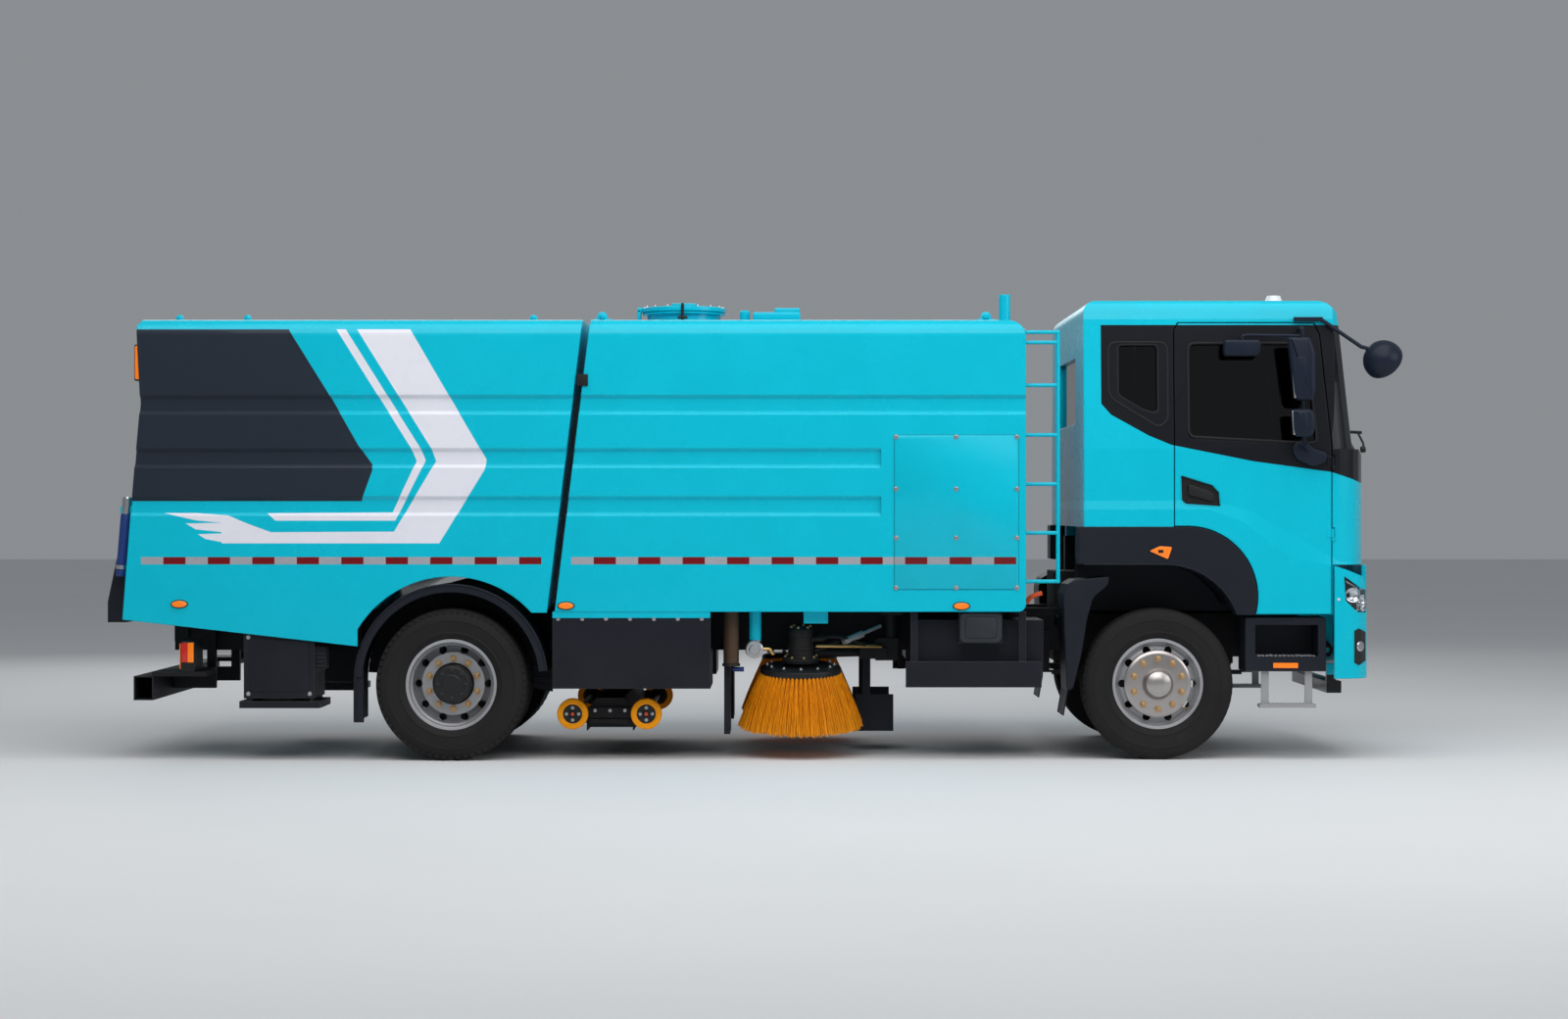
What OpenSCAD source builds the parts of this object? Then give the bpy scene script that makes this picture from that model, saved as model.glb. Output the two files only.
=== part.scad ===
// Street sweeper truck, two axles, washing and sweeping body.
// X runs forward, Y to the left, Z up; the wheels stand on Z = 0.

/* [Overall] */
// Distance between the front and the rear axle.
wheelbase = 4700; // [4400:50:5700]
// Width over the two tanks.
body_w = 2500; // [2440:10:2600]
// Width over the cab sides.
cab_w = 2400; // [2360:10:2480]
// Height of the tank roofs above the ground.
tank_top = 2930; // [2600:5:3300]
// Height of the cab roof above the ground.
cab_top = 3065; // [2980:5:3500]
// Length of the body behind the rear axle.
rear_over = 2174; // [2000:10:2600]

/* [Wheels] */
// Outside diameter of the tyres.
tyre_d = 1010; // [900:5:1030]
// Width of one tyre.
tyre_w = 275; // [230:5:290]
// Diameter of the rims at the bead.
rim_d = 572; // [490:1:600]
// Distance between the two front wheel centres.
front_track = 2000; // [1960:5:2060]
// Distance between the outer rear wheel centres.
rear_track = 2190; // [2150:5:2210]
// Distance between the two wheels of a twin pair.
twin_gap = 312; // [295:1:330]
// Diameter of the wheel nut circle.
nut_circle = 335; // [300:5:350]

/* [Cab] */
// Thickness of the cab walls and of the doors.
cab_wall = 60; // [40:2:80]
// Thickness of the window glass.
glass_t = 6; // [4:1:10]
// Running gap around the doors.
door_gap = 7; // [6:1:12]
// Length of each door along the truck.
door_len = 1052; // [950:1:1080]
// Diameter of the steering wheel.
wheel_rim_d = 450; // [380:10:500]

/* [Tanks] */
// Thickness of the tank walls.
tank_wall = 14; // [8:1:20]
// Depth of the grooves pressed into the tank sides.
groove_d = 20; // [10:1:30]
// Radius of the long roof edges.
roof_r = 110; // [60:5:180]
// Gap of the seam between the tanks.
seam_gap = 52; // [30:1:80]
// Diameter of the manhole in the tank roof.
manhole_d = 500; // [400:10:600]

/* [Sweeping gear] */
// Diameter of the side brush at its tips.
brush_d = 784; // [640:2:940]
// Height of the bristles.
brush_h = 390; // [300:5:440]
// Diameter of the brush plate.
plate_d = 548; // [450:2:660]
// Diameter of the nozzle wheels.
roller_d = 208; // [150:2:230]
// Width of the suction nozzle.
nozzle_w = 1900; // [1500:10:2000]

/* [Hidden] */
$fn = 48;
eps = 0.3;
clear = 8;
ax_z = tyre_d / 2;
hw = body_w / 2;
ch = cab_w / 2;
xr = -wheelbase;
front_reach = 1616;
rear_reach = wheelbase + rear_over + 132;
fx = (rear_reach - front_reach) / 2;
rail_y = 430;
rail_bot = 700;
rail_top = 950;
rail_t = 10;
rail_flange = 80;
web_in = rail_y - rail_t - eps;
tank_bot = 990;
skirt_low = 761;
skirt_rear = 938;
arch_r = 718;
arch_rear = xr - 617;
seam_bot_x = xr + 663;
seam_top_x = xr + 897;
seam_slope = (seam_top_x - seam_bot_x) / 1928;
wt_front = -889;
flat_x = wt_front - 961;
rear_x = xr - rear_over;
tip_x = xr - 1930;
tip_z = 960;
floor_z = 1020;
kingpin_y = 860;
tip_beam = ax_z - 60;
door_front = 1149;
door_rear = door_front - door_len;
door_bot = 967;
cab_rear = -500;
cab_low = 1551;
cab_nose = 1425;
floor_up = cab_low + 70;
floor_down = 1361;
belt_z = 2070;
nose_bot = 1301;
tilt_x = 1250;
tilt_z = 700;
ws_lean = 6.3;
hinge_x = door_front + 3;
hinge_y = ch + 2;
hinge_zs = [1480, 1960];
brush_x = xr + 2321;
brush_y = 858;
brush_lo = 152;
brush_lean = 6;
swing_x = brush_x + 620;
nozzle_x = xr + 1040;
guide_y = 320;
seat_y = 480;
ladder_x = -668;
ladder_y = 1150;
plate_z = 590;
step_rear = 576;
fend_r = 641;
fend_z = 532;
hatch_x = xr + 1504;
vent_x = -1006;
vent_y = -900;
drain_y = 300;
lid_hinge = manhole_d / 2 + 62;
gate_x = rear_x + 190;
gate_hx = rear_x + 62;
gate_hz = tank_top - 60;
swing_y = 640;
lift_x = swing_x - 70;
lift_z = 690;
roll_z = 299;
roll_fx = xr + 1286;
roll_rx = xr + 793;
box_rear = xr + 674;
box_front = xr + 1720;
g1 = tank_top - 631;
g2 = tank_top - 985;
g3 = tank_top - 1303;
gh = 128;
top_r = 95;

// Extrudes an outline drawn in X and Z from y0 to y1.
module along_y(y0, y1) {
  translate([0, y1, 0]) rotate([90, 0, 0]) linear_extrude(y1 - y0) children();
}

// Extrudes an outline drawn in Y and Z from x0 to x1.
module along_x(x0, x1) {
  translate([x0, 0, 0]) rotate([90, 0, 90]) linear_extrude(x1 - x0) children();
}

// A box given by its two corners.
module box(a, b) {
  translate(a) cube(b - a);
}

// The same piece on both sides.
module both() {
  children();
  mirror([0, 1, 0]) children();
}

// A round bar between two points of one XZ plane, or any two points.
module bar(a, b, d) {
  v = b - a;
  len = norm(v);
  translate(a) rotate([0, acos(v[2] / len), atan2(v[1], v[0])]) cylinder(d = d, h = len);
}

module disc_y(d, y0, y1) {
  translate([0, y1, 0]) rotate([90, 0, 0]) cylinder(d = d, h = y1 - y0);
}

function arc(c, r, a0, a1, n) =
  [for (i = [0:n]) [c[0] + r * cos(a0 + (a1 - a0) * i / n), c[1] + r * sin(a0 + (a1 - a0) * i / n)]];

function flip(p) = [for (i = [len(p) - 1:-1:0]) [-p[i][0], p[i][1]]];

// ---- Chassis ----

module rail() {
  difference() {
    box([xr - 1990, -rail_y, rail_bot], [1050, -rail_y + rail_flange, rail_top]);
    box([xr - 2000, -rail_y + rail_t, rail_bot + rail_t], [1060, -rail_y + rail_flange + 5,
      rail_top - rail_t]);
  }
}

module chassis_frame() {
  color("#1d1f24") translate([fx, 0, 0]) {
    both() rail();
    both() box([tip_x, -rail_y + 10, rail_top - 1], [-600, -rail_y + 70, tank_bot]);
    both() difference() {
      union() {
        along_y(-rail_y - 14, -rail_y) polygon([[860, rail_bot + 10], [tilt_x - 20, tilt_z - 45],
          [tilt_x + 20, tilt_z - 45],
          [tilt_x + 45, tilt_z], [tilt_x + 20, tilt_z + 45], [1040, rail_top - 20], [860, rail_top - 20]]);
        translate([tilt_x, 0, tilt_z]) disc_y(76, -rail_y - 14, -rail_y + 26);
      }
      translate([tilt_x, 0, tilt_z]) disc_y(36, -rail_y - 20, -rail_y + 40);
    }
    both() difference() {
      union() {
        box([tip_x - 40, -rail_y - 34, rail_top - 160], [tip_x + 40, -rail_y, tip_z]);
        translate([tip_x, 0, tip_z]) disc_y(80, -rail_y - 34, -rail_y);
      }
      translate([tip_x, 0, tip_z]) disc_y(50, -rail_y - 40, -rail_y + 5);
    }
  }
}

// Cross members, cab posts and the carriers of the nozzle and the side brushes.
module frame_bars() {
  color("#1d1f24") translate([fx, 0, 0]) {
    for (x = [xr - 1960, xr - 1000, xr + 560, xr + 1500, xr + 2600, -900, 700, 960])
      box([x - 35, -web_in, rail_bot + 60], [x + 35, web_in, rail_top - 40]);
    both() box([-480, -rail_y - 60, rail_top + eps], [-380, -rail_y + 60, 1480]);
    both() difference() {
      union() {
        box([swing_x - 70, -swing_y - 60, rail_top + eps], [swing_x + 70, -rail_y + 10 - eps, tank_bot]);
        translate([swing_x, -swing_y, 800]) cylinder(d = 96, h = tank_bot - 30 - 800);
      }
      translate([swing_x, -swing_y, 790]) cylinder(d = 46, h = tank_bot - 45 - 790);
    }
    both() difference() {
      box([nozzle_x - 50, -web_in, rail_bot + rail_t + eps],
        [nozzle_x + 50, -guide_y + 60, rail_bot + 60]);
      translate([nozzle_x, -guide_y, rail_bot - 10]) cylinder(d = 42, h = 90);
    }
  }
}

module suction_pipe() {
  color("#1d1f24") translate([fx, 0, 0]) {
    difference() {
      union() {
        translate([nozzle_x, 0, 640]) cylinder(d = 290, h = tank_bot - 640);
        box([nozzle_x - 45, -web_in, 860], [nozzle_x + 45, web_in, 900]);
      }
      both() translate([nozzle_x, -guide_y, 850]) cylinder(d = 58, h = 60);
      translate([nozzle_x, 0, 630]) cylinder(d = 270, h = 400);
    }
  }
}

module front_axle() {
  color("#17181c") translate([fx, 0, 0]) {
    difference() {
      union() {
        box([-50, -kingpin_y + 60, tip_beam - 60], [50, kingpin_y - 60, tip_beam + 50]);
        both() translate([0, -kingpin_y, tip_beam - 70]) cylinder(d = 110, h = 190);
        both() box([-50, -kingpin_y, tip_beam - 60], [50, -kingpin_y + 80, tip_beam + 50]);
      }
      both() translate([0, -kingpin_y, tip_beam - 80]) cylinder(d = 44, h = 220);
    }
  }
}

module rear_axle() {
  color("#17181c") translate([fx, 0, 0]) {
    translate([xr, 0, ax_z]) {
      disc_y(150, -rear_track / 2 + twin_gap + 200, rear_track / 2 - twin_gap - 200);
      disc_y(92, -rear_track / 2 - 60, rear_track / 2 + 60);
      disc_y(360, -110, 110);
      translate([0, 0, 0]) rotate([0, 90, 0]) cylinder(d = 150, h = 330);
    }
  }
}

module spring_pack(x, y, z, half, n) {
  for (i = [0:n - 1])
    box([x - half + i * 70, y - 38, z - 14 * (i + 1)], [x + half - i * 70, y + 38, z - 14 * i]);
}

// The engine and its gearbox as one plain block, hung between the rails.
module drive_unit() {
  color("#2c2e33") translate([fx, 0, 0]) {
    box([-620, -250, 620], [460, 250, 1240]);
    for (x = [-480, 320]) box([x - 40, -rail_y + rail_t + eps, 760], [x + 40, rail_y - rail_t - eps, 800]);
  }
}

module leaf_springs() {
  color("#202228") translate([fx, 0, 0]) both() {
    spring_pack(0, -rail_y - 50, tip_beam + 50 + 14 * 5, 720, 5);
    box([-60, -rail_y - 95, tip_beam + 50 + 70], [60, -rail_y - 5, tip_beam + 145]);
    for (s = [-1, 1])
      box([s * 700 - 30, -rail_y - 95, tip_beam + 120], [s * 700 + 30, -rail_y - eps, rail_top - 120]);
    spring_pack(xr, -rail_y - 50, ax_z + 75 + 14 * 7, 740, 7);
    box([xr - 70, -rail_y - 95, ax_z + 75 + 98], [xr + 70, -rail_y - 5, ax_z + 200]);
    for (s = [-1, 1])
      box([xr + s * 720 - 30, -rail_y - 95, ax_z + 173], [xr + s * 720 + 30, -rail_y - eps, rail_top - 60]);
  }
}

module knuckle() {
  translate([0, -kingpin_y, 0]) {
    translate([0, 0, tip_beam - 112]) cylinder(d = 44 - 2 * eps, h = 274);
    for (z = [tip_beam - 112, tip_beam + 122])
      translate([0, 0, z]) cylinder(d = 100, h = 40);
    difference() {
      box([-55, -90, tip_beam - 112], [55, 0, tip_beam + 162]);
      translate([0, 0, tip_beam - 80]) cylinder(d = 122, h = 210);
      box([-60, -58, tip_beam - 71], [60, 10, tip_beam + 121]);
    }
  }
  translate([0, 0, ax_z]) {
    disc_y(330, -kingpin_y - 96, -kingpin_y - 62);
    disc_y(70, -front_track / 2 - 120, -kingpin_y - 90);
  }
  box([-300, -kingpin_y + 12, tip_beam - 112], [-30, -kingpin_y + 42, tip_beam - 82]);
  translate([-290, -kingpin_y + 27, tip_beam - 160]) cylinder(d = 40, h = 60);
}

module knuckle_right() {
  color("#2a2c31") translate([fx, 0, 0]) knuckle();
}

module knuckle_left() {
  color("#2a2c31") translate([fx, 0, 0]) mirror([0, 1, 0]) knuckle();
}

// ---- Wheels ----

module tyre(y) {
  r = tyre_d / 2;
  b = rim_d / 2;
  w = tyre_w / 2;
  translate([0, y, ax_z]) rotate([90, 0, 0]) rotate_extrude($fn = 96)
    polygon([[b + eps, -w + 29 + eps], [b + 17, -w + 28 + eps], [b + 24, -w + 14], [b + 70, -w],
      [r - 78, -w], [r - 26, -w + 12], [r - 4, -w + 34],
      [r, -w + 70], [r, w - 70], [r - 4, w - 34], [r - 26, w - 12], [r - 78, w], [b + 70, w],
      [b + 24, w - 14], [b + 17, w - 28 - eps], [b + eps, w - 29 - eps]]);
}

// A disc wheel; its outer side faces -Y and its nut face lies at depth d.
module rim(y, d) {
  b = rim_d / 2;
  w = tyre_w / 2;
  s = nut_circle / 2;
  translate([0, y, ax_z]) rotate([90, 0, 0]) difference() {
    union() {
      rotate_extrude($fn = 72)
        polygon([[b + 16, w - 27], [b + 16, w - 20], [b - 4, w - 24], [b - 12, w - 44], [b - 26,
          w - 60], [b - 26, -w + 60],
          [b - 4, -w + 24], [b + 16, -w + 20], [b + 16, -w + 27], [b, -w + 29], [b, -w + 45],
          [b - 16, -w + 66], [b - 16, w - 66], [b, w - 45], [b, w - 29]]);
      rotate_extrude($fn = 72)
        polygon([[81, d - 16], [s + 38, d - 16], [s + 62, d - 40], [b - 20, d - 60], [b - 20, d - 44],
          [s + 66, d - 24], [s + 42, d], [81, d]]);
    }
    for (i = [0:9]) rotate(i * 36) translate([s + 66, 0, d - 90]) cylinder(d = 52, h = 100, $fn = 24);
  }
}

module nuts(y, d, cap_d, cap_h) {
  s = nut_circle / 2;
  translate([0, y, ax_z]) rotate([90, 0, 0]) {
    for (i = [0:9]) rotate(i * 36 + 18) translate([s, 0, d]) cylinder(d = 36, h = 26, $fn = 6);
    difference() {
      translate([0, 0, d - 40]) cylinder(d = 160, h = 40);
      translate([0, 0, d - 45]) cylinder(d = 72, h = 24);
    }
    translate([0, 0, d]) cylinder(d1 = cap_d, d2 = cap_d - 24, h = cap_h);
  }
}

module front_tyre_right() {
  color("#1c1a1d") translate([fx, 0, 0]) tyre(-front_track / 2);
}

module front_tyre_left() {
  color("#1c1a1d") translate([fx, 0, 0]) mirror([0, 1, 0]) tyre(-front_track / 2);
}

module front_rim() {
  difference() {
    union() {
      rim(-front_track / 2, 108);
      nuts(-front_track / 2, 108, 170, 60);
    }
    translate([0, 0, ax_z]) disc_y(70 + 2 * eps, -front_track / 2 - 121, -kingpin_y);
  }
}

module front_rim_right() {
  color("#b9b5b6") translate([fx, 0, 0]) front_rim();
}

module front_rim_left() {
  color("#b9b5b6") translate([fx, 0, 0]) mirror([0, 1, 0]) front_rim();
}

module rear_tyres() {
  tyre(-rear_track / 2);
  tyre(-rear_track / 2 + twin_gap);
}

module rear_rims() {
  difference() {
    union() {
      rim(-rear_track / 2, -20);
      mirror([0, 1, 0]) rim(rear_track / 2 - twin_gap, -20);
      nuts(-rear_track / 2, -20, 250, 110);
      translate([0, 0, ax_z]) disc_y(160, -rear_track / 2 + 19, -rear_track / 2 + 240);
      translate([0, 0, ax_z]) disc_y(300, -rear_track / 2 + 36, -rear_track / 2 + twin_gap - 36);
    }
    translate([0, 0, ax_z]) disc_y(92 + 2 * eps, -rear_track / 2 - 60 - eps, 0);
  }
}

module rear_tyres_right() {
  color("#1c1a1d") translate([fx + xr, 0, 0]) rear_tyres();
}

module rear_tyres_left() {
  color("#1c1a1d") translate([fx + xr, 0, 0]) mirror([0, 1, 0]) rear_tyres();
}

module rear_rims_right() {
  color("#c6c4c8") translate([fx + xr, 0, 0]) rear_rims();
}

module rear_rims_left() {
  color("#c6c4c8") translate([fx + xr, 0, 0]) mirror([0, 1, 0]) rear_rims();
}

// ---- Cab ----

// Side outline of the cab, drawn t inside its skin.
function cab_side(t) = concat(
  [[cab_rear + t, cab_low + t], [cab_rear + t, cab_top - top_r]],
  arc([cab_rear + top_r, cab_top - top_r], top_r - t, 180, 90, 8),
  [[1080, cab_top - t], [1130 - t * 0.4, cab_top - 20 - t], [1195 - t, cab_top - 80 - t * 0.8]],
  [[1210 - t, cab_top - 150], [1300 - t, belt_z + 46 + t], [1388 - t, belt_z - 30], [1412 - t,
    belt_z - 60 - t]],
  [[cab_nose - t, cab_low + 170], [cab_nose - t, nose_bot + t], [door_front + 5 - t, nose_bot + t]]);

// The wheel arch at the foot of the cab, r bigger than its edge.
module arch_2d(grow) {
  translate([188, 1090]) circle(r = 463 + grow, $fn = 96);
  polygon([[cab_rear - 50, 800], [188, 800], [188, cab_low + 2 + grow], [cab_rear - 50,
    cab_low + 2 + grow]]);
}

// Full side outline with the door feet.
module cab_side_2d(t) {
  difference() {
    union() {
      polygon([for (p = cab_side(t)) p]);
      polygon([[cab_rear + t, cab_low + t], [door_front + 5 - t, cab_low + t], [door_front + 5 - t,
        door_bot - 20 + t],
        [400, door_bot - 20 + t], [cab_rear + t, cab_low - 100]]);
    }
    arch_2d(t);
    box2(-800, 0, 1600, door_bot + t);
  }
}

module box2(x0, z0, x1, z1) {
  translate([x0, z0]) square([x1 - x0, z1 - z0]);
}

// Cross section of the cab: upright up to the belt, leaning in above it.
module cab_cross_2d(t) {
  w = ch - t;
  polygon(concat(
    [[-w, 700], [w, 700], [w, belt_z], [w - 62, cab_top - 130]],
    arc([w - 62 - top_r, cab_top - t - top_r + 10], top_r - 10, 8, 90, 6),
    flip(arc([w - 62 - top_r, cab_top - t - top_r + 10], top_r - 10, 8, 90, 6)),
    [[-w + 62, cab_top - 130], [-w, belt_z]]));
}

// Plan of the cab: a bowed front with round corners.
module cab_plan_2d(t, nose) {
  w = ch - t;
  n = nose - t;
  polygon(concat(
    [[cab_rear - 200, -w], [n - 290, -w]],
    arc([n - 290, -w + 225], 225, -90, -48, 6),
    [[n - 92, -w + 130], [n - 46, -w + 270], [n - 10, -w + 560], [n, 0]],
    [[n - 10, w - 560], [n - 46, w - 270], [n - 92, w - 130]],
    arc([n - 290, w - 225], 225, 48, 90, 6),
    [[cab_rear - 200, w]]));
}

// Solid cab form, t inside the outer skin.
module cab_form(t) {
  intersection() {
    along_y(-ch - 5, ch + 5) cab_side_2d(t);
    along_x(cab_rear - 10, 1700) cab_cross_2d(t);
    union() {
      translate([0, 0, 700]) linear_extrude(belt_z - 700 + 0.01) cab_plan_2d(t, cab_nose + 12);
      translate([1340, 0, belt_z]) rotate([0, -ws_lean, 0]) translate([-1340, 0, -200])
        linear_extrude(1500) cab_plan_2d(t, cab_nose - 30);
    }
  }
}

// Outline of one door in side view, g smaller all round.
module door_2d(g) {
  difference() {
    intersection() {
      cab_side_2d(0);
      polygon([[door_rear + g, 900], [door_front - g, 900], [door_front - g, belt_z + 20],
        [door_front - g - 72, 2830],
        [door_front - g - 110, cab_top - 150 - g], [door_rear + 30 + g, cab_top - 150 - g],
          [door_rear + g, 2860]]);
    }
    arch_2d(g);
    box2(-800, 0, 1600, door_bot + g);
  }
}

// Door window outline, g smaller all round.
module door_window_2d(g) {
  offset(r = 40 - g, $fn = 24) offset(delta = -40)
    polygon([[door_rear + 92, 2142], [door_front - 94, 2096], [door_front - 160, 2778],
      [door_rear + 92, 2778]]);
}

module quarter_2d(g) {
  offset(r = 30 - g, $fn = 24) offset(delta = -30)
    polygon([[-268, 2762], [-10, 2762], [-10, 2310], [-100, 2330], [-268, 2430]]);
}

// The windscreen outline in Y and Z, g smaller all round.
module screen_2d(g) {
  offset(r = 60 - g, $fn = 24) offset(delta = -60)
    polygon([[-ch + 96, belt_z + 70], [ch - 96, belt_z + 70], [ch - 150, cab_top - 170], [-ch + 150,
      cab_top - 170]]);
}

module screen_zone(g) {
  intersection() {
    along_x(900, 1700) screen_2d(g);
    along_y(-ch, ch) polygon([[door_front + 30 + g, belt_z - 100], [1700, belt_z - 100], [1700,
      cab_top], [door_front - 40 + g, cab_top]]);
  }
}

module cab_shell() {
  color("#00bfd8") translate([fx, 0, 0]) {
    difference() {
      cab_form(0);
      difference() {
        cab_form(cab_wall);
        box([cab_rear, -ch, 1250], [600, ch, floor_up]);
      }
      both() along_y(-ch - 10, -ch + cab_wall + clear) door_2d(0);
      both() intersection() {
        along_y(-ch - 10, -ch + 190) door_2d(0);
        box([0, -ch - 20, belt_z - 60], [1300, 0, cab_top]);
      }
      both() along_y(-ch - 10, -ch + 190) quarter_2d(0);
      screen_zone(0);
      both() for (z = hinge_zs) translate([hinge_x, -hinge_y, z]) cylinder(d = 28, h = 68);
      box([500, -ch + 200, 900], [door_front + 4.9, ch - 200, floor_down - 40]);
      box([cab_rear - 20, -600, 2250], [cab_rear + cab_wall + 20, 600, 2700]);
    }
    box([600, -ch + 200, floor_down - 40], [door_front, ch - 200, floor_down]);
    both() difference() {
      union() {
        along_y(-rail_y + 34, -rail_y + 48) polygon([[tilt_x - 60, nose_bot + 1], [tilt_x - 42,
          tilt_z], [tilt_x, tilt_z - 42],
          [tilt_x + 42, tilt_z], [tilt_x + 60, nose_bot + 1]]);
        translate([tilt_x, 0, tilt_z]) disc_y(36 - 2 * eps, -rail_y - 14, -rail_y + 48);
      }
      translate([tilt_x, 0, tilt_z]) disc_y(18, -rail_y - 20, -rail_y + 60);
    }
    both() box([-470, -rail_y - 50, 1480 + eps], [-390, -rail_y + 50, cab_low + 10]);
    both() for (z = hinge_zs) {
      translate([hinge_x, -hinge_y, z - 24]) cylinder(d = 18, h = 24);
      translate([hinge_x, -hinge_y, z - 24]) cylinder(d = 9, h = 80);
      box([hinge_x, -hinge_y, z - 24], [hinge_x + 20, -hinge_y + 20, z]);
    }
  }
}

module door() {
  difference() {
    intersection() {
      cab_form(0);
      along_y(-ch - 5, -ch + 190) door_2d(door_gap);
    }
    cab_form(cab_wall);
    box([0, -ch + cab_wall, 900], [1300, 0, belt_z - 60]);
    along_y(-ch - 10, -ch + 190) door_window_2d(0);
    along_y(-ch - 10, -ch + 22) polygon([[145, 1893], [350, 1830], [395, 1782], [404, 1690], [175,
      1706], [150, 1730]]);
  }
  along_y(-ch + 8, -ch + 22.2) polygon([[200, 1815], [340, 1775], [352, 1757], [352, 1742], [200, 1782]]);
  door_hinges();
}

module door_hinges() {
  for (z = hinge_zs) difference() {
    union() {
      translate([hinge_x, -hinge_y, z + eps]) cylinder(d = 18, h = 60);
      box([hinge_x - 40, -ch - 2, z + eps], [hinge_x - 3, -ch + 4, z + 60]);
    }
    translate([hinge_x, -hinge_y, z - 5]) cylinder(d = 9 + 2 * eps, h = 80);
  }
}

module door_right() {
  color("#00bfd8") translate([fx, 0, 0]) door();
}

module door_left() {
  color("#00bfd8") translate([fx, 0, 0]) mirror([0, 1, 0]) door();
}

module windshield() {
  color("#15191e") translate([fx, 0, 0]) intersection() {
    difference() {
      cab_form(eps);
      cab_form(eps + glass_t);
    }
    screen_zone(eps);
  }
}

module door_glass() {
  intersection() {
    difference() {
      cab_form(cab_wall / 2 - glass_t / 2);
      cab_form(cab_wall / 2 + glass_t / 2);
    }
    along_y(-ch - 10, -ch + 190) door_window_2d(eps);
  }
}

module door_glass_right() {
  color("#15191e") translate([fx, 0, 0]) door_glass();
}

module door_glass_left() {
  color("#15191e") translate([fx, 0, 0]) mirror([0, 1, 0]) door_glass();
}

module cab_side_glass() {
  color("#15191e") translate([fx, 0, 0]) {
    both() intersection() {
      difference() {
        cab_form(cab_wall / 2 - glass_t / 2);
        cab_form(cab_wall / 2 + glass_t / 2);
      }
      along_y(-ch - 10, -ch + 190) quarter_2d(eps);
    }
    box([cab_rear + 27, -600 + eps, 2250 + eps], [cab_rear + 33, 600 - eps, 2700 - eps]);
  }
}

module seat() {
  box([60, -240, floor_up + eps], [500, 240, floor_up + 90]);
  box([20, -250, floor_up + 90], [560, 250, floor_up + 210]);
  along_y(-240, 240) polygon([[20, floor_up + 180], [120, floor_up + 210], [20, floor_up + 860], [-60,
    floor_up + 850],
    [-70, floor_up + 800]]);
  along_y(-140, 140) polygon([[-30, floor_up + 840], [10, floor_up + 840], [0, floor_up + 1060], [-70,
    floor_up + 1050]]);
}

module seats() {
  color("#33343a") translate([fx, 0, 0]) both() translate([0, -seat_y, 0]) seat();
}

module dashboard() {
  color("#26272c") translate([fx, 0, 0]) {
    along_y(-ch + 210, ch - 210) polygon([[1278, floor_down + 200], [1278, belt_z - 60],
      [1230, belt_z - 20], [1090, belt_z - 10], [980, belt_z - 80], [960, belt_z - 220], [1110,
        belt_z - 330],
      [1180, floor_down + 200]]);
    box([1180, -120, floor_down + eps], [1278, 120, floor_down + 202]);
    bar([1040, seat_y, belt_z - 140], [900, seat_y, belt_z + 18], 60);
  }
}

module steering_wheel() {
  color("#1c1c20") translate([fx, 0, 0]) translate([900, seat_y, belt_z + 18]) rotate([0, -41.5,
    0]) translate([0, 0, eps]) {
    cylinder(d = 70, h = 30);
    translate([0, 0, 40]) rotate_extrude($fn = 64) translate([wheel_rim_d / 2 - 16, 0]) circle(r = 16,
      $fn = 20);
    for (a = [0, 120, 240]) rotate([0, 0, a]) box([20, -18, 12], [wheel_rim_d / 2 - 12, 18, 42]);
  }
}

// Black arch trims, seated against the foot of the cab.
module cab_trims() {
  color("#23252f") translate([fx, 0, 0]) both() {
    along_y(-ch, -ch + 230) difference() {
      intersection() {
        difference() {
          arch_2d(-eps);
          translate([38, 792]) circle(r = 513, $fn = 96);
          box2(-800, 0, 40, 1305);
        }
        box2(cab_rear - 34, door_bot, 700, 2000);
      }
      box2(-900, 0, 30, 1300);
    }
  }
}

module bumper_plan(t) {
  w = ch + 12 - t;
  n = cab_nose + 30 - t;
  polygon(concat([[1100, -w], [n - 250, -w]], arc([n - 250, -w + 210], 210, -90, -50, 6),
    [[n - 62, -w + 122], [n - 22, -w + 300], [n, -w + 700], [n, w - 700], [n - 22, w - 300], [n - 62,
      w - 122]],
    arc([n - 250, w - 210], 210, 50, 90, 6), [[1100, w]]));
}

module bumper_side() {
  polygon([[door_front + 12, 545], [door_front + 12, nose_bot - 6], [1250, nose_bot - 36], [1370,
    nose_bot - 82],
    [1435, nose_bot - 330], [1470, nose_bot - 400], [1470, 640], [1440, 545]]);
}

module front_bumper() {
  color("#00bfd8") translate([fx, 0, 0]) {
    difference() {
      intersection() {
        union() {
          along_y(-ch - 12, ch + 12) bumper_side();
          box([1300, -ch + 320, 560], [1500, ch - 320, nose_bot - 6]);
        }
        translate([0, 0, 400]) linear_extrude(1000) difference() {
          bumper_plan(0);
          bumper_plan(30);
        }
      }
      both() along_y(-ch - 20, -ch + 260) lamp_2d(0);
    }
    both() box([1280, -340, nose_bot - 330], [cab_nose + 10, -300, nose_bot - 290]);
    both() box([1280, -340, nose_bot - 300], [1330, -300, nose_bot - eps]);
    box([1200, -700, 420], [1300, 700, 500]);
    both() box([1200, -700, 430], [1260, -660, 620]);
    both() box([1200, -700, 580], [cab_nose + 10, -660, 620]);
  }
}

module lamp_2d(g) {
  polygon([[1225 + g, 1225 - 3 * g], [1350, 1140 - 2 * g], [1520, 1110 - 2 * g], [1520, 975 + g],
    [1320, 985 + g],
    [1236 + g, 1060]]);
}

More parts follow.
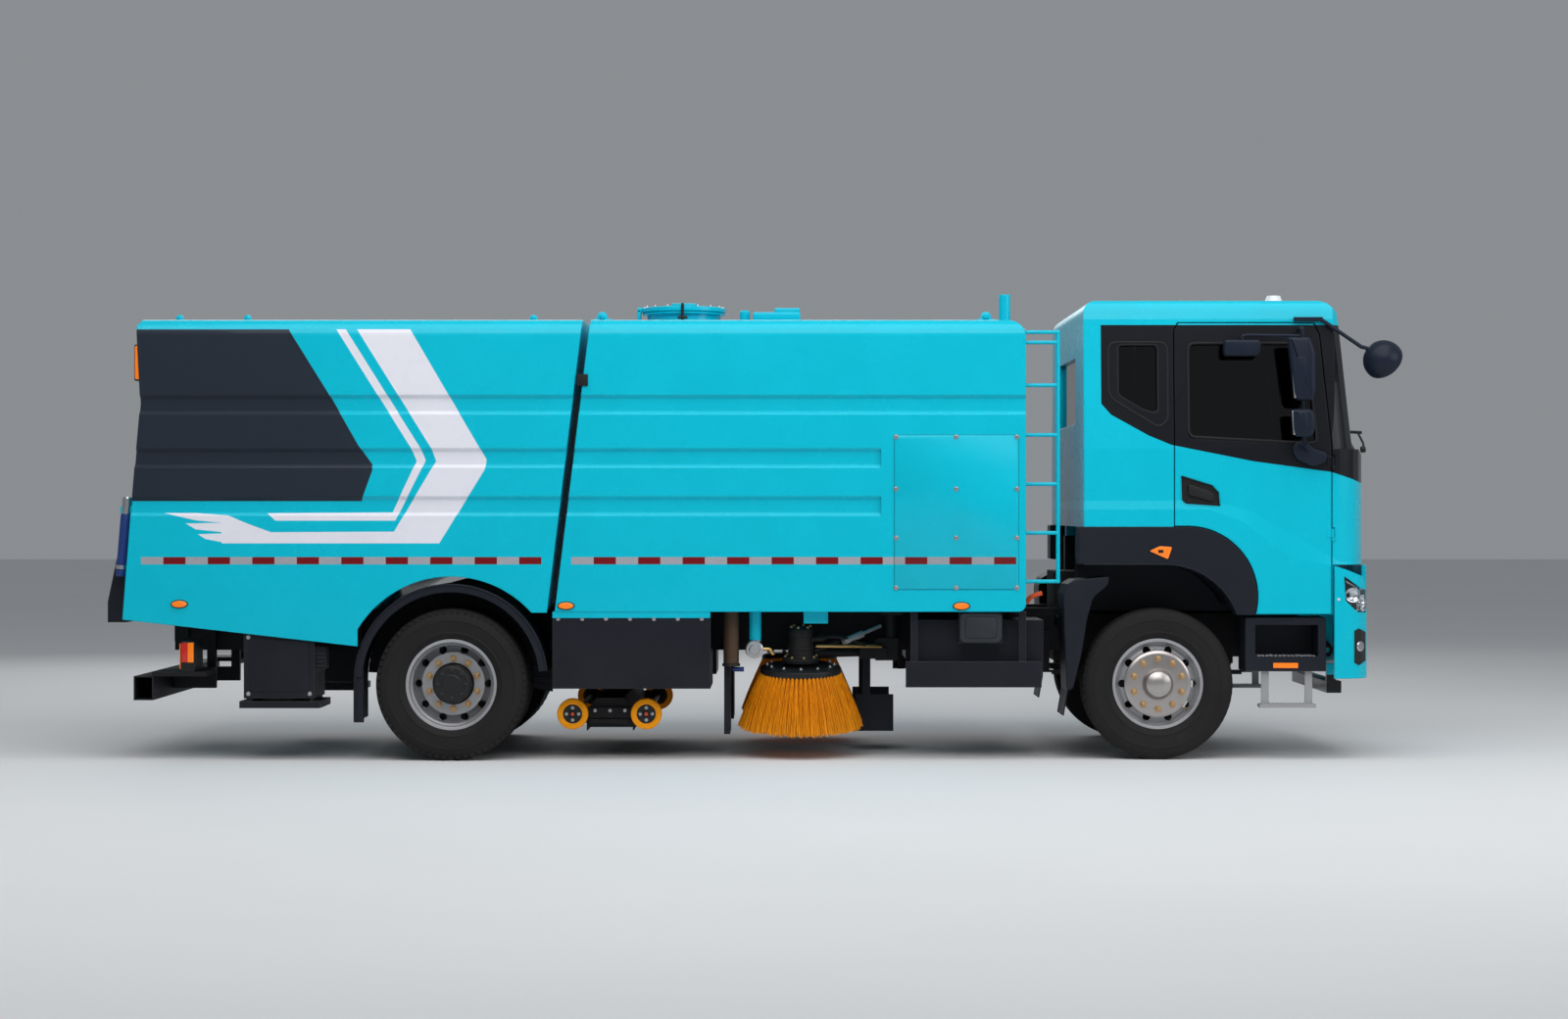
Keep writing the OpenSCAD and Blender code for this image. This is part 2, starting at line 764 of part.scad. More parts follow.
module headlamps() {
  color("#dfe3ea") translate([fx, 0, 0]) both() intersection() {
    translate([0, 0, 400]) linear_extrude(1000) difference() {
      bumper_plan(2);
      bumper_plan(28);
    }
    along_y(-ch - 20, -ch + 260 - eps) lamp_2d(eps);
  }
}

module boarding_steps() {
  color("#23252f") translate([fx, 0, 0]) both() {
    difference() {
      box([step_rear, -ch + 30, 591], [1112, -860, 948]);
      box([step_rear + 66, -ch, 690], [1060, -900, 900]);
    }
    for (x = [step_rear + 110, step_rear + 400]) box([x, -ch + 60, 372], [x + 50, -ch + 72, 591.5]);
    box([step_rear + 95, -ch + 30, 350], [step_rear + 470, -ch + 130, 372.5]);
    box([step_rear + 300, -861, rail_bot + 20], [step_rear + 380, -rail_y - 14 - eps, rail_bot + 100]);
  }
}

// How far the cab side leans in at height z.
function side_in(z) = z < belt_z ? 0 : 62 * (z - belt_z) / (cab_top - 130 - belt_z);

module mirror_set() {
  translate([0, -ch + 12, 0]) {
    box([870, -60, 1950], [1106, -12 - eps, 2090]);
    box([912, -192, 2060], [948, -50, 2121]);
    box([918, -192, 2120], [942, -168, 2872]);
    box([912, -192, 2850], [948, -12 - eps + side_in(2850), 2876]);
  }
  translate([905, -ch - 200, 0]) {
    along_z_round(2382, 2804, 190, 80, 30);
    along_z_round(2145, 2330, 180, 80, 26);
  }
  box([530, -ch - 182, 2798], [930, -ch - 160, 2820]);
  translate([540, -ch - 170, 0]) along_z_round(2700, 2800, 240, 70, 24);
}

// An upright housing with round corners in plan.
module along_z_round(z0, z1, lx, ly, r) {
  translate([0, 0, z0]) linear_extrude(z1 - z0) offset(r = r, $fn = 32) square([lx - 2 * r,
    ly - 2 * r], center = true);
}

module mirrors_right() {
  color("#2b3140") translate([fx, 0, 0]) mirror_set();
}

module mirrors_left() {
  color("#2b3140") translate([fx, 0, 0]) mirror([0, 1, 0]) mirror_set();
}

module front_mirror() {
  color("#2b3140") translate([fx, 0, 0]) {
    box([900, -ch + 30, cab_top - 145], [1090, -ch + side_in(cab_top - 145) - eps, cab_top - 117]);
    bar([1080, -ch + 44, cab_top - 131], [1340, -ch - 20, 2745], 26);
    bar([1336, -ch - 18, 2748], [1440, -ch - 30, 2720], 26);
    translate([front_reach - 134, -ch - 30, 2657]) difference() {
      sphere(r = 134);
      rotate([40, -50, 0]) translate([-200, -200, -400]) cube([400, 400, 390]);
    }
  }
}

module roof_beacon() {
  color("#e8e8ec") translate([fx, 0, 0]) {
    for (s = [-1, 1]) translate([840, s * 700, cab_top]) {
      translate([0, 0, eps]) cylinder(d = 140, h = 18);
      translate([0, 0, 18]) cylinder(d1 = 120, d2 = 90, h = 38);
    }
  }
}

// ---- Bodies ----

module ring_2d(r0, r1, a0, a1) {
  polygon(concat(arc([0, 0], r1, a0, a1, 40), arc([0, 0], r0, a1, a0, 40)));
}

module mudguards() {
  color("#23252f") translate([fx, 0, 0]) both() {
    translate([xr, 0, 0]) {
      along_y(-hw + 10, -hw + 640) translate([0, fend_z]) {
        ring_2d(fend_r - 8, fend_r, 6, 180);
        polygon([[-fend_r, 0.1], [-fend_r + 8, 0.1], [-fend_r + 8, -276], [-fend_r, -276]]);
      }
      along_y(-hw + 10, -hw + 20) translate([0, fend_z]) ring_2d(fend_r - 54, fend_r - 4, 6, 178);
      along_y(-hw + 20, -hw + 60) translate([0, fend_z]) polygon([[-fend_r + 4, 100], [-fend_r + 60,
        80], [-fend_r + 60, -276], [-fend_r + 4, -276]]);
      box([-fend_r + 5, -hw + 636, 700], [-fend_r + 45, -rail_y - eps, 760]);
      box([fend_r - 60, -hw + 638, 700], [fend_r - 20, -rail_y - eps, 760]);
      box([fend_r - 42, -hw + 600, 600], [fend_r - 4, -hw + 645, 770]);
    }
    along_y(-ch + 20, -760) polygon([[-331, 1221], [-560, 1200], [-612, 1170], [-636, 1110], [-612,
      461], [-640, 298],
      [-632, 298], [-604, 461], [-628, 1108], [-606, 1164], [-558, 1192], [-331, 1213]]);
    box([-628, -790, 880], [-570, -rail_y - eps, 940]);
    box([brush_x + 378, -rail_y - 22, 143], [brush_x + 640, -rail_y - 10, 396]);
    box([brush_x + 424, -rail_y - 22, 383], [brush_x + 482, -rail_y - eps, 760]);
    box([box_front + 86, -980, 160], [box_front + 126, -500, 645]);
    box([box_front + 86, -980, 640], [box_front + 126, -rail_y - eps, 740]);
  }
}

// Cross section of the tanks, t inside the skin.
function grooved(w, t) = concat(
  [for (z = [g3, g2, g1]) each [[w, z + t * 0.4], [w - groove_d, z + 22 + t * 0.4], [w - groove_d,
    z + gh - 22 - t * 0.4], [w, z + gh - t * 0.4]]],
  arc([w - roof_r + t, tank_top - roof_r], roof_r - t, 0, 90, 10));

module tank_cross_2d(t, z0) {
  p = grooved(hw - t, t);
  polygon(concat([[-hw + t, z0], [hw - t, z0]], p, flip(p)));
}

module water_side_2d(t) {
  polygon(concat(
    [[seam_x(tank_bot) + seam_gap / 2 + t, tank_bot + t]],
    arc([wt_front - 50, tank_bot + 50], 50 - t, 270, 360, 6),
    arc([wt_front - 120, tank_top - 120], 120 - t, 0, 90, 8),
    [[seam_x(tank_top) + seam_gap / 2 + t, tank_top - t]]));
}

function seam_x(z) = seam_bot_x + (z - 986) * seam_slope;

module water_tank() {
  color("#00bcd6") translate([fx, 0, 0]) {
    difference() {
      intersection() {
        along_y(-hw - 1, hw + 1) water_side_2d(0);
        along_x(seam_bot_x - 100, wt_front + 10) tank_cross_2d(0, tank_bot - 10);
      }
      intersection() {
        along_y(-hw - 1, hw + 1) water_side_2d(tank_wall);
        along_x(seam_bot_x - 100, wt_front + 10) tank_cross_2d(tank_wall, tank_bot - 10);
      }
      translate([hatch_x, 0, tank_top - 200]) cylinder(d = manhole_d, h = 300);
      translate([vent_x, vent_y, tank_top - 100]) cylinder(d = 50, h = 300);
      translate([wt_front - 100, drain_y, tank_bot - 20]) cylinder(d = 60, h = 100);
    }
    translate([hatch_x, 0, tank_top - tank_wall]) difference() {
      cylinder(d = manhole_d + 40, h = tank_wall + 42);
      translate([0, 0, -10]) cylinder(d = manhole_d, h = 100);
    }
    for (s = [-1, 1]) box([hatch_x - lid_hinge - 16, s * 70 - 12, tank_top - 2],
      [hatch_x - lid_hinge + 16, s * 70 + 12, tank_top + 30]);
    for (s = [-1, 1]) translate([hatch_x - lid_hinge, 0, tank_top + 40]) difference() {
      union() {
        disc_y(36, s * 70 - 12, s * 70 + 12);
        box([-16, s * 70 - 12, -20], [16, s * 70 + 12, 0]);
      }
      disc_y(16, s * 70 - 20, s * 70 + 20);
    }
    translate([vent_x, vent_y, tank_top - 2]) difference() {
      cylinder(d = 78, h = 187);
      translate([0, 0, -10]) cylinder(d = 50, h = 220);
    }
    translate([wt_front - 100, drain_y, tank_bot - 60]) difference() {
      cylinder(d = 88, h = 62);
      translate([0, 0, -10]) cylinder(d = 60, h = 90);
    }
    both() box([box_rear, -hw + 4, 948 + eps], [box_front, -hw + 60, tank_bot + 1]);
    both() box([brush_x + 18, -1150, 909], [brush_x + 180, -1090, tank_bot + 1]);
    both() box([flat_x, -hw, g3 - 1], [wt_front, -hw + groove_d + 2, g2 + gh + 1]);
    box([hatch_x + 486, -300, tank_top - 1], [hatch_x + 820, 100, tank_top + 52]);
    translate([hatch_x + 430, -120, tank_top - 1]) cylinder(d = 66, h = 32);
  }
}

module hatch_lid() {
  color("#00bcd6") translate([fx, 0, 0]) {
    translate([hatch_x, 0, tank_top + 42 + eps]) {
      cylinder(d = manhole_d + 76, h = 22);
      translate([0, 0, 21]) cylinder(d1 = manhole_d + 30, d2 = manhole_d - 60, h = 12);
      for (s = [-1, 1]) box([-14, s * 70 - 10, 30], [14, s * 70 + 10, 70]);
      box([-14, -88, 60], [14, 88, 80]);
    }
    difference() {
      union() {
        translate([hatch_x - lid_hinge, 0, tank_top + 40]) disc_y(34, -50, 50);
        box([hatch_x - lid_hinge - 6, -50, tank_top + 46], [hatch_x - manhole_d / 2 - 10, 50,
          tank_top + 57]);
      }
      translate([hatch_x - lid_hinge, 0, tank_top + 40]) disc_y(16, -60, 60);
    }
    translate([hatch_x - lid_hinge, 0, tank_top + 40]) disc_y(16 - 2 * eps, -84, 84);
  }
}

// Side outline of the debris tank, t inside the skin.
module debris_side_2d(t) {
  polygon([[rear_x + t, skirt_rear], [rear_x + 59 + t, 1700], [rear_x + 79 + t, 1934],
    [rear_x + 118 + t, 2369],
    [rear_x + 92 + t, tank_top - 48], [rear_x + 120 + t, tank_top - t],
      [seam_x(tank_top) - seam_gap / 2 - t, tank_top - t],
    [seam_x(984) - seam_gap / 2 - t, 984], [xr + 300, 984], [xr, 700], [arch_rear + 40, skirt_low - 4],
      [arch_rear, skirt_low]]);
}

module debris_arch(grow) {
  intersection() {
    translate([xr, ax_z]) circle(r = arch_r + grow, $fn = 120);
    box2(arch_rear - grow, 0, 0, 3000);
  }
}

module debris_tank() {
  color("#00bcd6") translate([fx, 0, 0]) {
    difference() {
      intersection() {
        along_y(-hw - 1, hw + 1) difference() {
          debris_side_2d(0);
          debris_arch(0);
        }
        along_x(rear_x - 10, seam_top_x + 100) tank_cross_2d(0, 600);
      }
      intersection() {
        along_y(-hw - 1, hw + 1) difference() {
          debris_side_2d(tank_wall);
          debris_arch(tank_wall);
          box2(-9000, 0, 0, floor_z);
        }
        along_x(rear_x - 10, seam_top_x + 100) tank_cross_2d(tank_wall, 600);
      }
      box([rear_x - 10, -hw + tank_wall, 500], [0, hw - tank_wall, floor_z - tank_wall]);
      box([rear_x - 10, -hw + 40, floor_z], [gate_x, hw - 40, tank_top - 50]);
    }
    both() {
      box([tip_x - 40, -rail_y - 76, tip_z], [tip_x + 40, -rail_y - 42, floor_z - tank_wall + 1]);
      translate([tip_x, 0, tip_z]) disc_y(80, -rail_y - 76, -rail_y - 42);
      translate([tip_x, 0, tip_z]) disc_y(50 - 2 * eps, -rail_y - 60, -rail_y - eps);
      difference() {
        box([rear_x + 44, 688, tank_top - 80], [rear_x + 104, 712, tank_top - 40]);
        translate([gate_hx, 0, gate_hz]) disc_y(18, 680, 720);
      }
    }
  }
}

module gate_2d(t0, t1) {
  polygon([[rear_x + t0 + 7, floor_z + clear], [rear_x + 59 + t0, 1700], [rear_x + 79 + t0, 1934],
    [rear_x + 118 + t0, 2369],
    [rear_x + 94 + t0, tank_top - 88], [rear_x + 94 + t1, tank_top - 88], [rear_x + 118 + t1, 2369],
    [rear_x + 79 + t1, 1934], [rear_x + 59 + t1, 1700], [rear_x + t1 + 7, floor_z + clear]]);
}

module tailgate() {
  color("#00bcd6") translate([fx, 0, 0]) {
    along_y(-hw + 40 + clear, hw - 40 - clear) gate_2d(0, 30);
    both() for (y = [-hw + 40 + clear, -420]) along_y(y, y + 60) gate_2d(29, 62);
    both() {
      difference() {
        union() {
          translate([gate_hx, 0, gate_hz]) disc_y(34, 640, 682);
          box([rear_x + 54, 640, tank_top - 150], [rear_x + 70, 682, gate_hz]);
          box([rear_x + 54, 640, tank_top - 170], [rear_x + 100, 682, tank_top - 120]);
        }
      }
      translate([gate_hx, 0, gate_hz]) disc_y(18 - 2 * eps, 641, 712);
      bar([rear_x - 26, -1150, 1250], [rear_x + 14, -1150, 1730], 50);
      box([rear_x - 30, -1170, 1640], [rear_x + 70, -1130, 1690]);
      box([rear_x - 40, -1170, 1270], [rear_x + 40, -1130, 1310]);
    }
  }
}

module spout_2d(t) {
  polygon([[rear_x + 46 - eps - t, 1560], [rear_x - 31 + t, 1538 - t], [rear_x - 132 + t, 1051],
    [rear_x - 132 + t, 915 - 2 * t],
    [rear_x - 5 - t, 915 - 2 * t], [rear_x - eps - t, 945], [rear_x + 46 - eps - t, 1535 - t]]);
}

module tailgate_spout() {
  color("#1b1c20") translate([fx, 0, 0]) {
    difference() {
      along_y(-1090, 1090) spout_2d(0);
      along_y(-1080, 1080) spout_2d(10);
    }
  }
}

module access_ladder() {
  color("#00bcd6") translate([fx, -ladder_y, 0]) {
    translate([ladder_x, 0, 1189]) cylinder(d = 28, h = tank_top - 82 - 1189);
    for (z = [1189, tank_top - 82]) translate([ladder_x, 0, z]) sphere(d = 31);
    for (z = [1189, 1512, 1837, 2164, 2495, 2780, tank_top - 82])
      translate([wt_front + eps, 0, z]) rotate([0, 90, 0]) {
        cylinder(d = 26, h = ladder_x - wt_front - eps);
        cylinder(d = 50, h = 6);
      }
  }
}

module hollow_box(a, b, t) {
  difference() {
    box(a, b);
    box(a + [t, t, t], b - [t, t, t]);
  }
}

module skirt_boxes() {
  color("#23252f") translate([fx, 0, 0]) both() {
    hollow_box([box_rear, -hw + 8, 480], [box_front, -rail_y - 110, 948], 16);
    box([box_rear + 200, -rail_y - 111, 720], [box_front - 200, -rail_y - eps, 780]);
    hollow_box([xr - 1375, -hw + 30, 415], [xr - 907, -760, 850], 12);
    box([xr - 1404, -hw + 24, 350], [xr - 868, -760, 396]);
    box([xr - 1360, -hw + 40, 395], [xr - 1320, -770, 416]);
    box([xr - 940, -hw + 40, 395], [xr - 920, -770, 416]);
    box([xr - 1250, -761, 740], [xr - 1050, -rail_y - eps, 800]);
    box([xr - 910, -hw + 60, 610], [xr - 836, -hw + 200, 759]);
    hollow_box([-1620, -1080, 600], [-760, -rail_y - eps, 930], 14);
    hollow_box([-1330, -hw + 40, 779], [-1042, -1081, tank_bot - eps], 8);
  }
}

module side_guards() {
  color("#24262f") translate([fx, 0, 0]) both() {
    difference() {
      box([-1684, -hw + 40, 487], [-782, -hw + 70, 659]);
      box([-1700, -hw + 50, 500], [-700, -hw + 80, 646]);
    }
    for (x = [-1651, -931]) box([x, -hw + 70, 487], [x + 48, -hw + 110, tank_bot - eps]);
    box([-1660, -hw + 60, 640], [-800, -hw + 70.2, 659]);
  }
}

module suction_nozzle() {
  color("#1d1f24") translate([fx, 0, 0]) {
    difference() {
      along_y(-nozzle_w / 2, nozzle_w / 2) polygon([[nozzle_x - 150, 205], [nozzle_x - 150, 330],
        [nozzle_x - 90, 402], [nozzle_x + 90, 402], [nozzle_x + 150, 330], [nozzle_x + 150, 205]]);
      along_y(-nozzle_w / 2 + 12, nozzle_w / 2 - 12) polygon([[nozzle_x - 138, 200], [nozzle_x - 138, 326],
        [nozzle_x - 84, 390], [nozzle_x + 84, 390], [nozzle_x + 138, 326], [nozzle_x + 138, 200]]);
      translate([nozzle_x, 0, 380]) cylinder(d = 150, h = 60);
    }
    both() difference() {
      box([roll_rx - 40, -nozzle_w / 2 - 24, roll_z - 30], [roll_fx + 40, -nozzle_w / 2 + 1, roll_z + 40]);
      for (x = [roll_rx, roll_fx])
        translate([x, 0, roll_z]) disc_y(30, -nozzle_w / 2 - 40, -nozzle_w / 2 + 20);
    }
  }
}

// The neck that slides in the suction pipe, and the two guide rods of the nozzle.
module nozzle_neck() {
  color("#1d1f24") translate([fx, 0, 0]) {
    translate([nozzle_x, 0, 402 + eps]) difference() {
      cylinder(d = 240, h = 448);
      translate([0, 0, -10]) cylinder(d = 224, h = 500);
    }
    both() translate([nozzle_x, -guide_y, 402 + eps]) cylinder(d = 42 - 2 * eps, h = 578);
  }
}

module rollers(x) {
  translate([x, 0, roll_z]) {
    both() {
      disc_y(roller_d, -nozzle_w / 2 - 90, -nozzle_w / 2 - 32);
      disc_y(60, -nozzle_w / 2 - 32, -nozzle_w / 2 - 24 - eps);
    }
    disc_y(30 - 2 * eps, -nozzle_w / 2 - 40, -nozzle_w / 2 + 40);
    disc_y(30 - 2 * eps, nozzle_w / 2 - 40, nozzle_w / 2 + 40);
    if (abs(x - nozzle_x) > 170) disc_y(28, -nozzle_w / 2 + 30, nozzle_w / 2 - 30);
  }
}

module nozzle_rollers_front() {
  color("#f08c00") translate([fx, 0, 0]) rollers(roll_fx);
}

module nozzle_rollers_rear() {
  color("#f08c00") translate([fx, 0, 0]) rollers(roll_rx);
}

module brush_arm() {
  translate([swing_x, -swing_y, 640]) cylinder(d = 46 - 2 * eps, h = tank_bot - 50 - 640);
  difference() {
    box([lift_x - 40, -swing_y - 45, 640], [swing_x + 45, -swing_y + 45, 792]);
    translate([lift_x, 0, lift_z]) disc_y(36, -swing_y - 60, -swing_y + 60);
  }
}

module brush_head() {
  translate([lift_x, 0, lift_z]) disc_y(36 - 2 * eps, -swing_y - 70, -swing_y + 70);
  for (s = [-1, 1]) difference() {
    box([lift_x - 150, -swing_y + s * 61 - 8, lift_z - 38], [lift_x + 38, -swing_y + s * 61 + 8,
      lift_z + 38]);
  }
  box([lift_x - 150, -swing_y - 69, lift_z - 38], [lift_x - 100, -swing_y + 69, lift_z + 38]);
  bar([lift_x - 125, -swing_y - 10, lift_z + 4], [brush_x + 40, -brush_y + 20, lift_z + 4], 56);
  translate([brush_x, -brush_y, plate_z]) rotate([brush_lean, 0, 0]) {
    translate([0, 0, 52]) cylinder(d = 150, h = 230);
    translate([0, 0, 52]) cylinder(d = 250, h = 22);
  }
  bar([brush_x + 250, -brush_y + 70, lift_z + 85], [brush_x + 90, -brush_y + 20, lift_z + 20], 46);
}

module brush_arm_right() {
  color("#17181c") translate([fx, 0, 0]) brush_arm();
}

module brush_arm_left() {
  color("#17181c") translate([fx, 0, 0]) mirror([0, 1, 0]) brush_arm();
}

module brush_head_right() {
  color("#26272c") translate([fx, 0, 0]) brush_head();
}

module brush_head_left() {
  color("#26272c") translate([fx, 0, 0]) mirror([0, 1, 0]) brush_head();
}

module side_brush() {
  translate([brush_x, -brush_y, plate_z]) rotate([brush_lean, 0, 0]) rotate_extrude($fn = 96)
    polygon([[60, -20], [plate_d / 2 - 30, -34], [plate_d / 2 - 60, -80], [brush_d / 2 - 130,
      -brush_h], [brush_d / 2, -brush_h],
      [plate_d / 2 + 12, -4], [plate_d / 2, 26], [60, 44], [60, 52 - eps], [0, 52 - eps], [0, -20]]);
}

module side_brush_right() {
  color("#f08c00") translate([fx, 0, 0]) side_brush();
}

module side_brush_left() {
  color("#f08c00") translate([fx, 0, 0]) mirror([0, 1, 0]) side_brush();
}

module rear_bumper() {
  color("#1d1f24") translate([fx, 0, 0]) {
    difference() {
      box([xr - 2114, -1180, 400], [xr - 1984, 1180, 560]);
      box([xr - 2106, -1190, 408], [xr - 1992, 1190, 552]);
    }
    both() {
      box([xr - 1985, -rail_y - 50, 440], [xr - 1700, -rail_y - eps, 540]);
      box([xr - 1760, -rail_y - 50, 440], [xr - 1700, -rail_y - eps, 900]);
      box([xr - 1997, -1170, 553 + 7 - 1], [xr - 1640, -820, 588]);
      box([xr - 1760, -821, 560], [xr - 1700, -rail_y - 49, 588]);
    }
  }
}

module tail_lamps() {
  color("#c9301c") translate([fx, 0, 0]) both() box([xr - 1806, -1160, 588 + eps], [xr - 1715, -860, 790]);
}

module pipes() {
  color("#4a4038") translate([fx, 0, 0]) both() {
    translate([box_front + 135, -1060, 642]) cylinder(d = 104, h = tank_bot - eps - 642);
    translate([box_front + 296, -1040, 730]) cylinder(d = 70, h = tank_bot - eps - 730);
    translate([box_front + 290, 0, 733]) disc_y(116, -1110, -1000);
  }
}

chassis_frame();
frame_bars();
suction_pipe();
front_axle();
rear_axle();
drive_unit();
leaf_springs();
knuckle_right();
knuckle_left();
front_tyre_right();
front_rim_right();
front_tyre_left();
front_rim_left();
rear_tyres_right();
rear_rims_right();
rear_tyres_left();
rear_rims_left();
cab_shell();
door_right();
door_left();
windshield();
door_glass_right();
door_glass_left();
cab_side_glass();
seats();
dashboard();
steering_wheel();
cab_trims();
front_bumper();
headlamps();
boarding_steps();
mirrors_right();
mirrors_left();
front_mirror();
roof_beacon();
mudguards();
water_tank();
hatch_lid();
debris_tank();
tailgate();
tailgate_spout();
access_ladder();
skirt_boxes();
side_guards();
suction_nozzle();
nozzle_neck();
nozzle_rollers_front();
nozzle_rollers_rear();
brush_arm_right();
brush_arm_left();
brush_head_right();
brush_head_left();
side_brush_right();
side_brush_left();
rear_bumper();
tail_lamps();
pipes();
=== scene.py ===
import math

import bmesh
import bpy
from mathutils import Matrix, Vector


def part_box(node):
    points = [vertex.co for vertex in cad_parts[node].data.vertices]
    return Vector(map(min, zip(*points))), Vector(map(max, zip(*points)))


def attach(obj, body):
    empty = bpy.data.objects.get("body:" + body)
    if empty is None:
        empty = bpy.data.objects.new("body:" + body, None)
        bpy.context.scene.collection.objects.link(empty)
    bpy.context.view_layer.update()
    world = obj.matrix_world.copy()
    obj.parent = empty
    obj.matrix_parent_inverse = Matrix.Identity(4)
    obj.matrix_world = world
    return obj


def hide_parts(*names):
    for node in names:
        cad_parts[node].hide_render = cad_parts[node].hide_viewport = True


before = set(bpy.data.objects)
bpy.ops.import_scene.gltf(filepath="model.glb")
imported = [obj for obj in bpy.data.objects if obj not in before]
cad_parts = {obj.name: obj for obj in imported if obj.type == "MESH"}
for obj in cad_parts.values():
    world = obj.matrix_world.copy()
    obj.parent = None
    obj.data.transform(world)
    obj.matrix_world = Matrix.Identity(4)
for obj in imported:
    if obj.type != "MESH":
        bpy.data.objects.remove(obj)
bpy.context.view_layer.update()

bl_info = {
    "name": "Street sweeper finish",
    "version": (1, 0, 0),
    "blender": (4, 5, 0),
    "location": "3D View > Sidebar > Sweeper",
    "description": "Paint, livery, tyres, brushes, lamps and fittings for a tank-bodied street sweeper",
    "category": "Add Mesh",
}

# ---- Driving dimensions, in metres, read from the frame ----


def span(node):
    """Lowest corner, highest corner and middle of a frame node."""
    low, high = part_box(node)
    return low, high, (low + high) / 2


FRONT_AXLE = span("front_tyre_right")[2]
REAR_AXLE = span("rear_tyres_right")[2]
TYRE_R = FRONT_AXLE.z
TYRE_W = span("front_tyre_right")[1].y - span("front_tyre_right")[0].y
HALF_W = span("water_tank")[1].y
CAB_HALF = span("cab_trims")[1].y
TANK_TOP = span("debris_tank")[1].z
CAB_TOP = span("cab_shell")[1].z
AX = FRONT_AXLE.x
RX = REAR_AXLE.x
SIDES = {"right": -1, "left": 1}


def along(x):
    """Frame X of a point x metres ahead of the front axle."""
    return AX + x

# ---- Settings a user may change ----


def colour_prop(name, text, value):
    return bpy.props.FloatVectorProperty(name=name, description=text, default=value, size=3, min=0.0,
                                         max=1.0,
                                         subtype="COLOR")


def length_prop(name, text, value, low=0.0, high=5.0):
    return bpy.props.FloatProperty(name=name, description=text, default=value, min=low, max=high,
                                   unit="LENGTH", subtype="DISTANCE")


def count_prop(name, text, value, low=1, high=20000):
    return bpy.props.IntProperty(name=name, description=text, default=value, min=low, max=high)


class SweeperColours(bpy.types.PropertyGroup):
    body: colour_prop("Body", "Main enamel of cab and tanks", (0.0, 0.505, 0.66))
    slate: colour_prop("Slate", "Dark block at the tail of the debris tank", (0.016, 0.024, 0.038))
    stripe: colour_prop("Stripe", "Chevron stripes", (0.79, 0.79, 0.86))
    tape_red: colour_prop("Tape red", "Dark squares of the reflective tape", (0.20, 0.004, 0.008))
    tape_silver: colour_prop("Tape silver", "Pale squares of the reflective tape", (0.40, 0.40, 0.44))
    trim: colour_prop("Trim", "Moulded arch and step plastic", (0.0125, 0.0145, 0.022))
    pillar: colour_prop("Pillar", "Gloss band round the cab windows", (0.0075, 0.0085, 0.012))
    bristle: colour_prop("Bristle", "Brush bristles and nozzle wheels", (1.0, 0.36, 0.0))
    nut: colour_prop("Nut", "Plated wheel nuts", (0.62, 0.40, 0.20))


class SweeperSizes(bpy.types.PropertyGroup):
    tread_depth: length_prop("Tread depth", "Depth of the tyre grooves", 0.013, 0.002, 0.03)
    tread_lugs: count_prop("Tread lugs", "Lugs round one tyre", 64, 12, 120)
    nut_circle: length_prop("Nut circle", "Radius of the circle of wheel nuts", 0.1675, 0.1, 0.25)
    nut_count: count_prop("Wheel nuts", "Nuts on one wheel", 10, 5, 12)
    nut_size: length_prop("Nut size", "Width of a wheel nut across its flats", 0.034, 0.02, 0.05)
    bristle_count: count_prop("Bristles", "Bristle strands on one brush", 2600, 100, 6000)
    bristle_width: length_prop("Bristle width", "Width of one bristle strand", 0.0055, 0.001, 0.02)
    bolt_size: length_prop("Bolt size", "Width of a panel bolt head", 0.017, 0.005, 0.04)
    tape_pitch: length_prop("Tape pitch", "Length of one square of reflective tape", 0.1473, 0.05, 0.4)
    camera_gap: length_prop("Camera distance", "From the camera to the near side of the body", 20.0, 5.0,
                            60.0)
    camera_height: length_prop("Camera height", "Height of the camera above the road", 1.668, 0.2, 5.0)
    floor_size: length_prop("Floor", "Edge of the studio floor", 160.0, 10.0, 400.0)

# ---- Shader helpers ----


def put(tree, kind, inputs=None, **settings):
    """Adds a node, sets its properties, and links or fills its inputs."""
    node = tree.nodes.new(kind)
    for key, value in settings.items():
        setattr(node, key, value)
    for key, value in (inputs or {}).items():
        target = node.inputs[key]
        if isinstance(value, bpy.types.NodeSocket):
            tree.links.new(value, target)
        else:
            target.default_value = value
    return node


def calc(tree, operation, a, b=0.0, c=None, clamp=False):
    inputs = {0: a, 1: b}
    if c is not None:
        inputs[2] = c
    return put(tree, "ShaderNodeMath", inputs, operation=operation, use_clamp=clamp).outputs[0]


def blend_colour(tree, factor, a, b, mode="MIX"):
    """Mix of two colours; constants get a full alpha."""
    full = [v if isinstance(v, bpy.types.NodeSocket) else (*v[:3], 1.0) for v in (a, b)]
    node = put(tree, "ShaderNodeMix", {"Factor": factor, 6: full[0], 7: full[1]}, data_type="RGBA",
               blend_type=mode)
    return node.outputs[2]


def axes(tree):
    """Object coordinates as a vector and as three numbers."""
    vector = put(tree, "ShaderNodeTexCoord").outputs["Object"]
    split = put(tree, "ShaderNodeSeparateXYZ", {0: vector})
    return vector, split.outputs[0], split.outputs[1], split.outputs[2]


def noise(tree, vector, scale, detail=4.0, rough=0.55, stretch=None):
    if stretch:
        vector = put(tree, "ShaderNodeMapping", {"Vector": vector, "Scale": stretch}).outputs[0]
    return put(tree, "ShaderNodeTexNoise", {"Vector": vector, "Scale": scale, "Detail": detail,
                                            "Roughness": rough}).outputs[0]


def ramp(tree, value, low, high, out_low=0.0, out_high=1.0):
    node = put(tree, "ShaderNodeMapRange", {0: value, 1: low, 2: high, 3: out_low, 4: out_high})
    node.clamp = True
    return node.outputs[0]


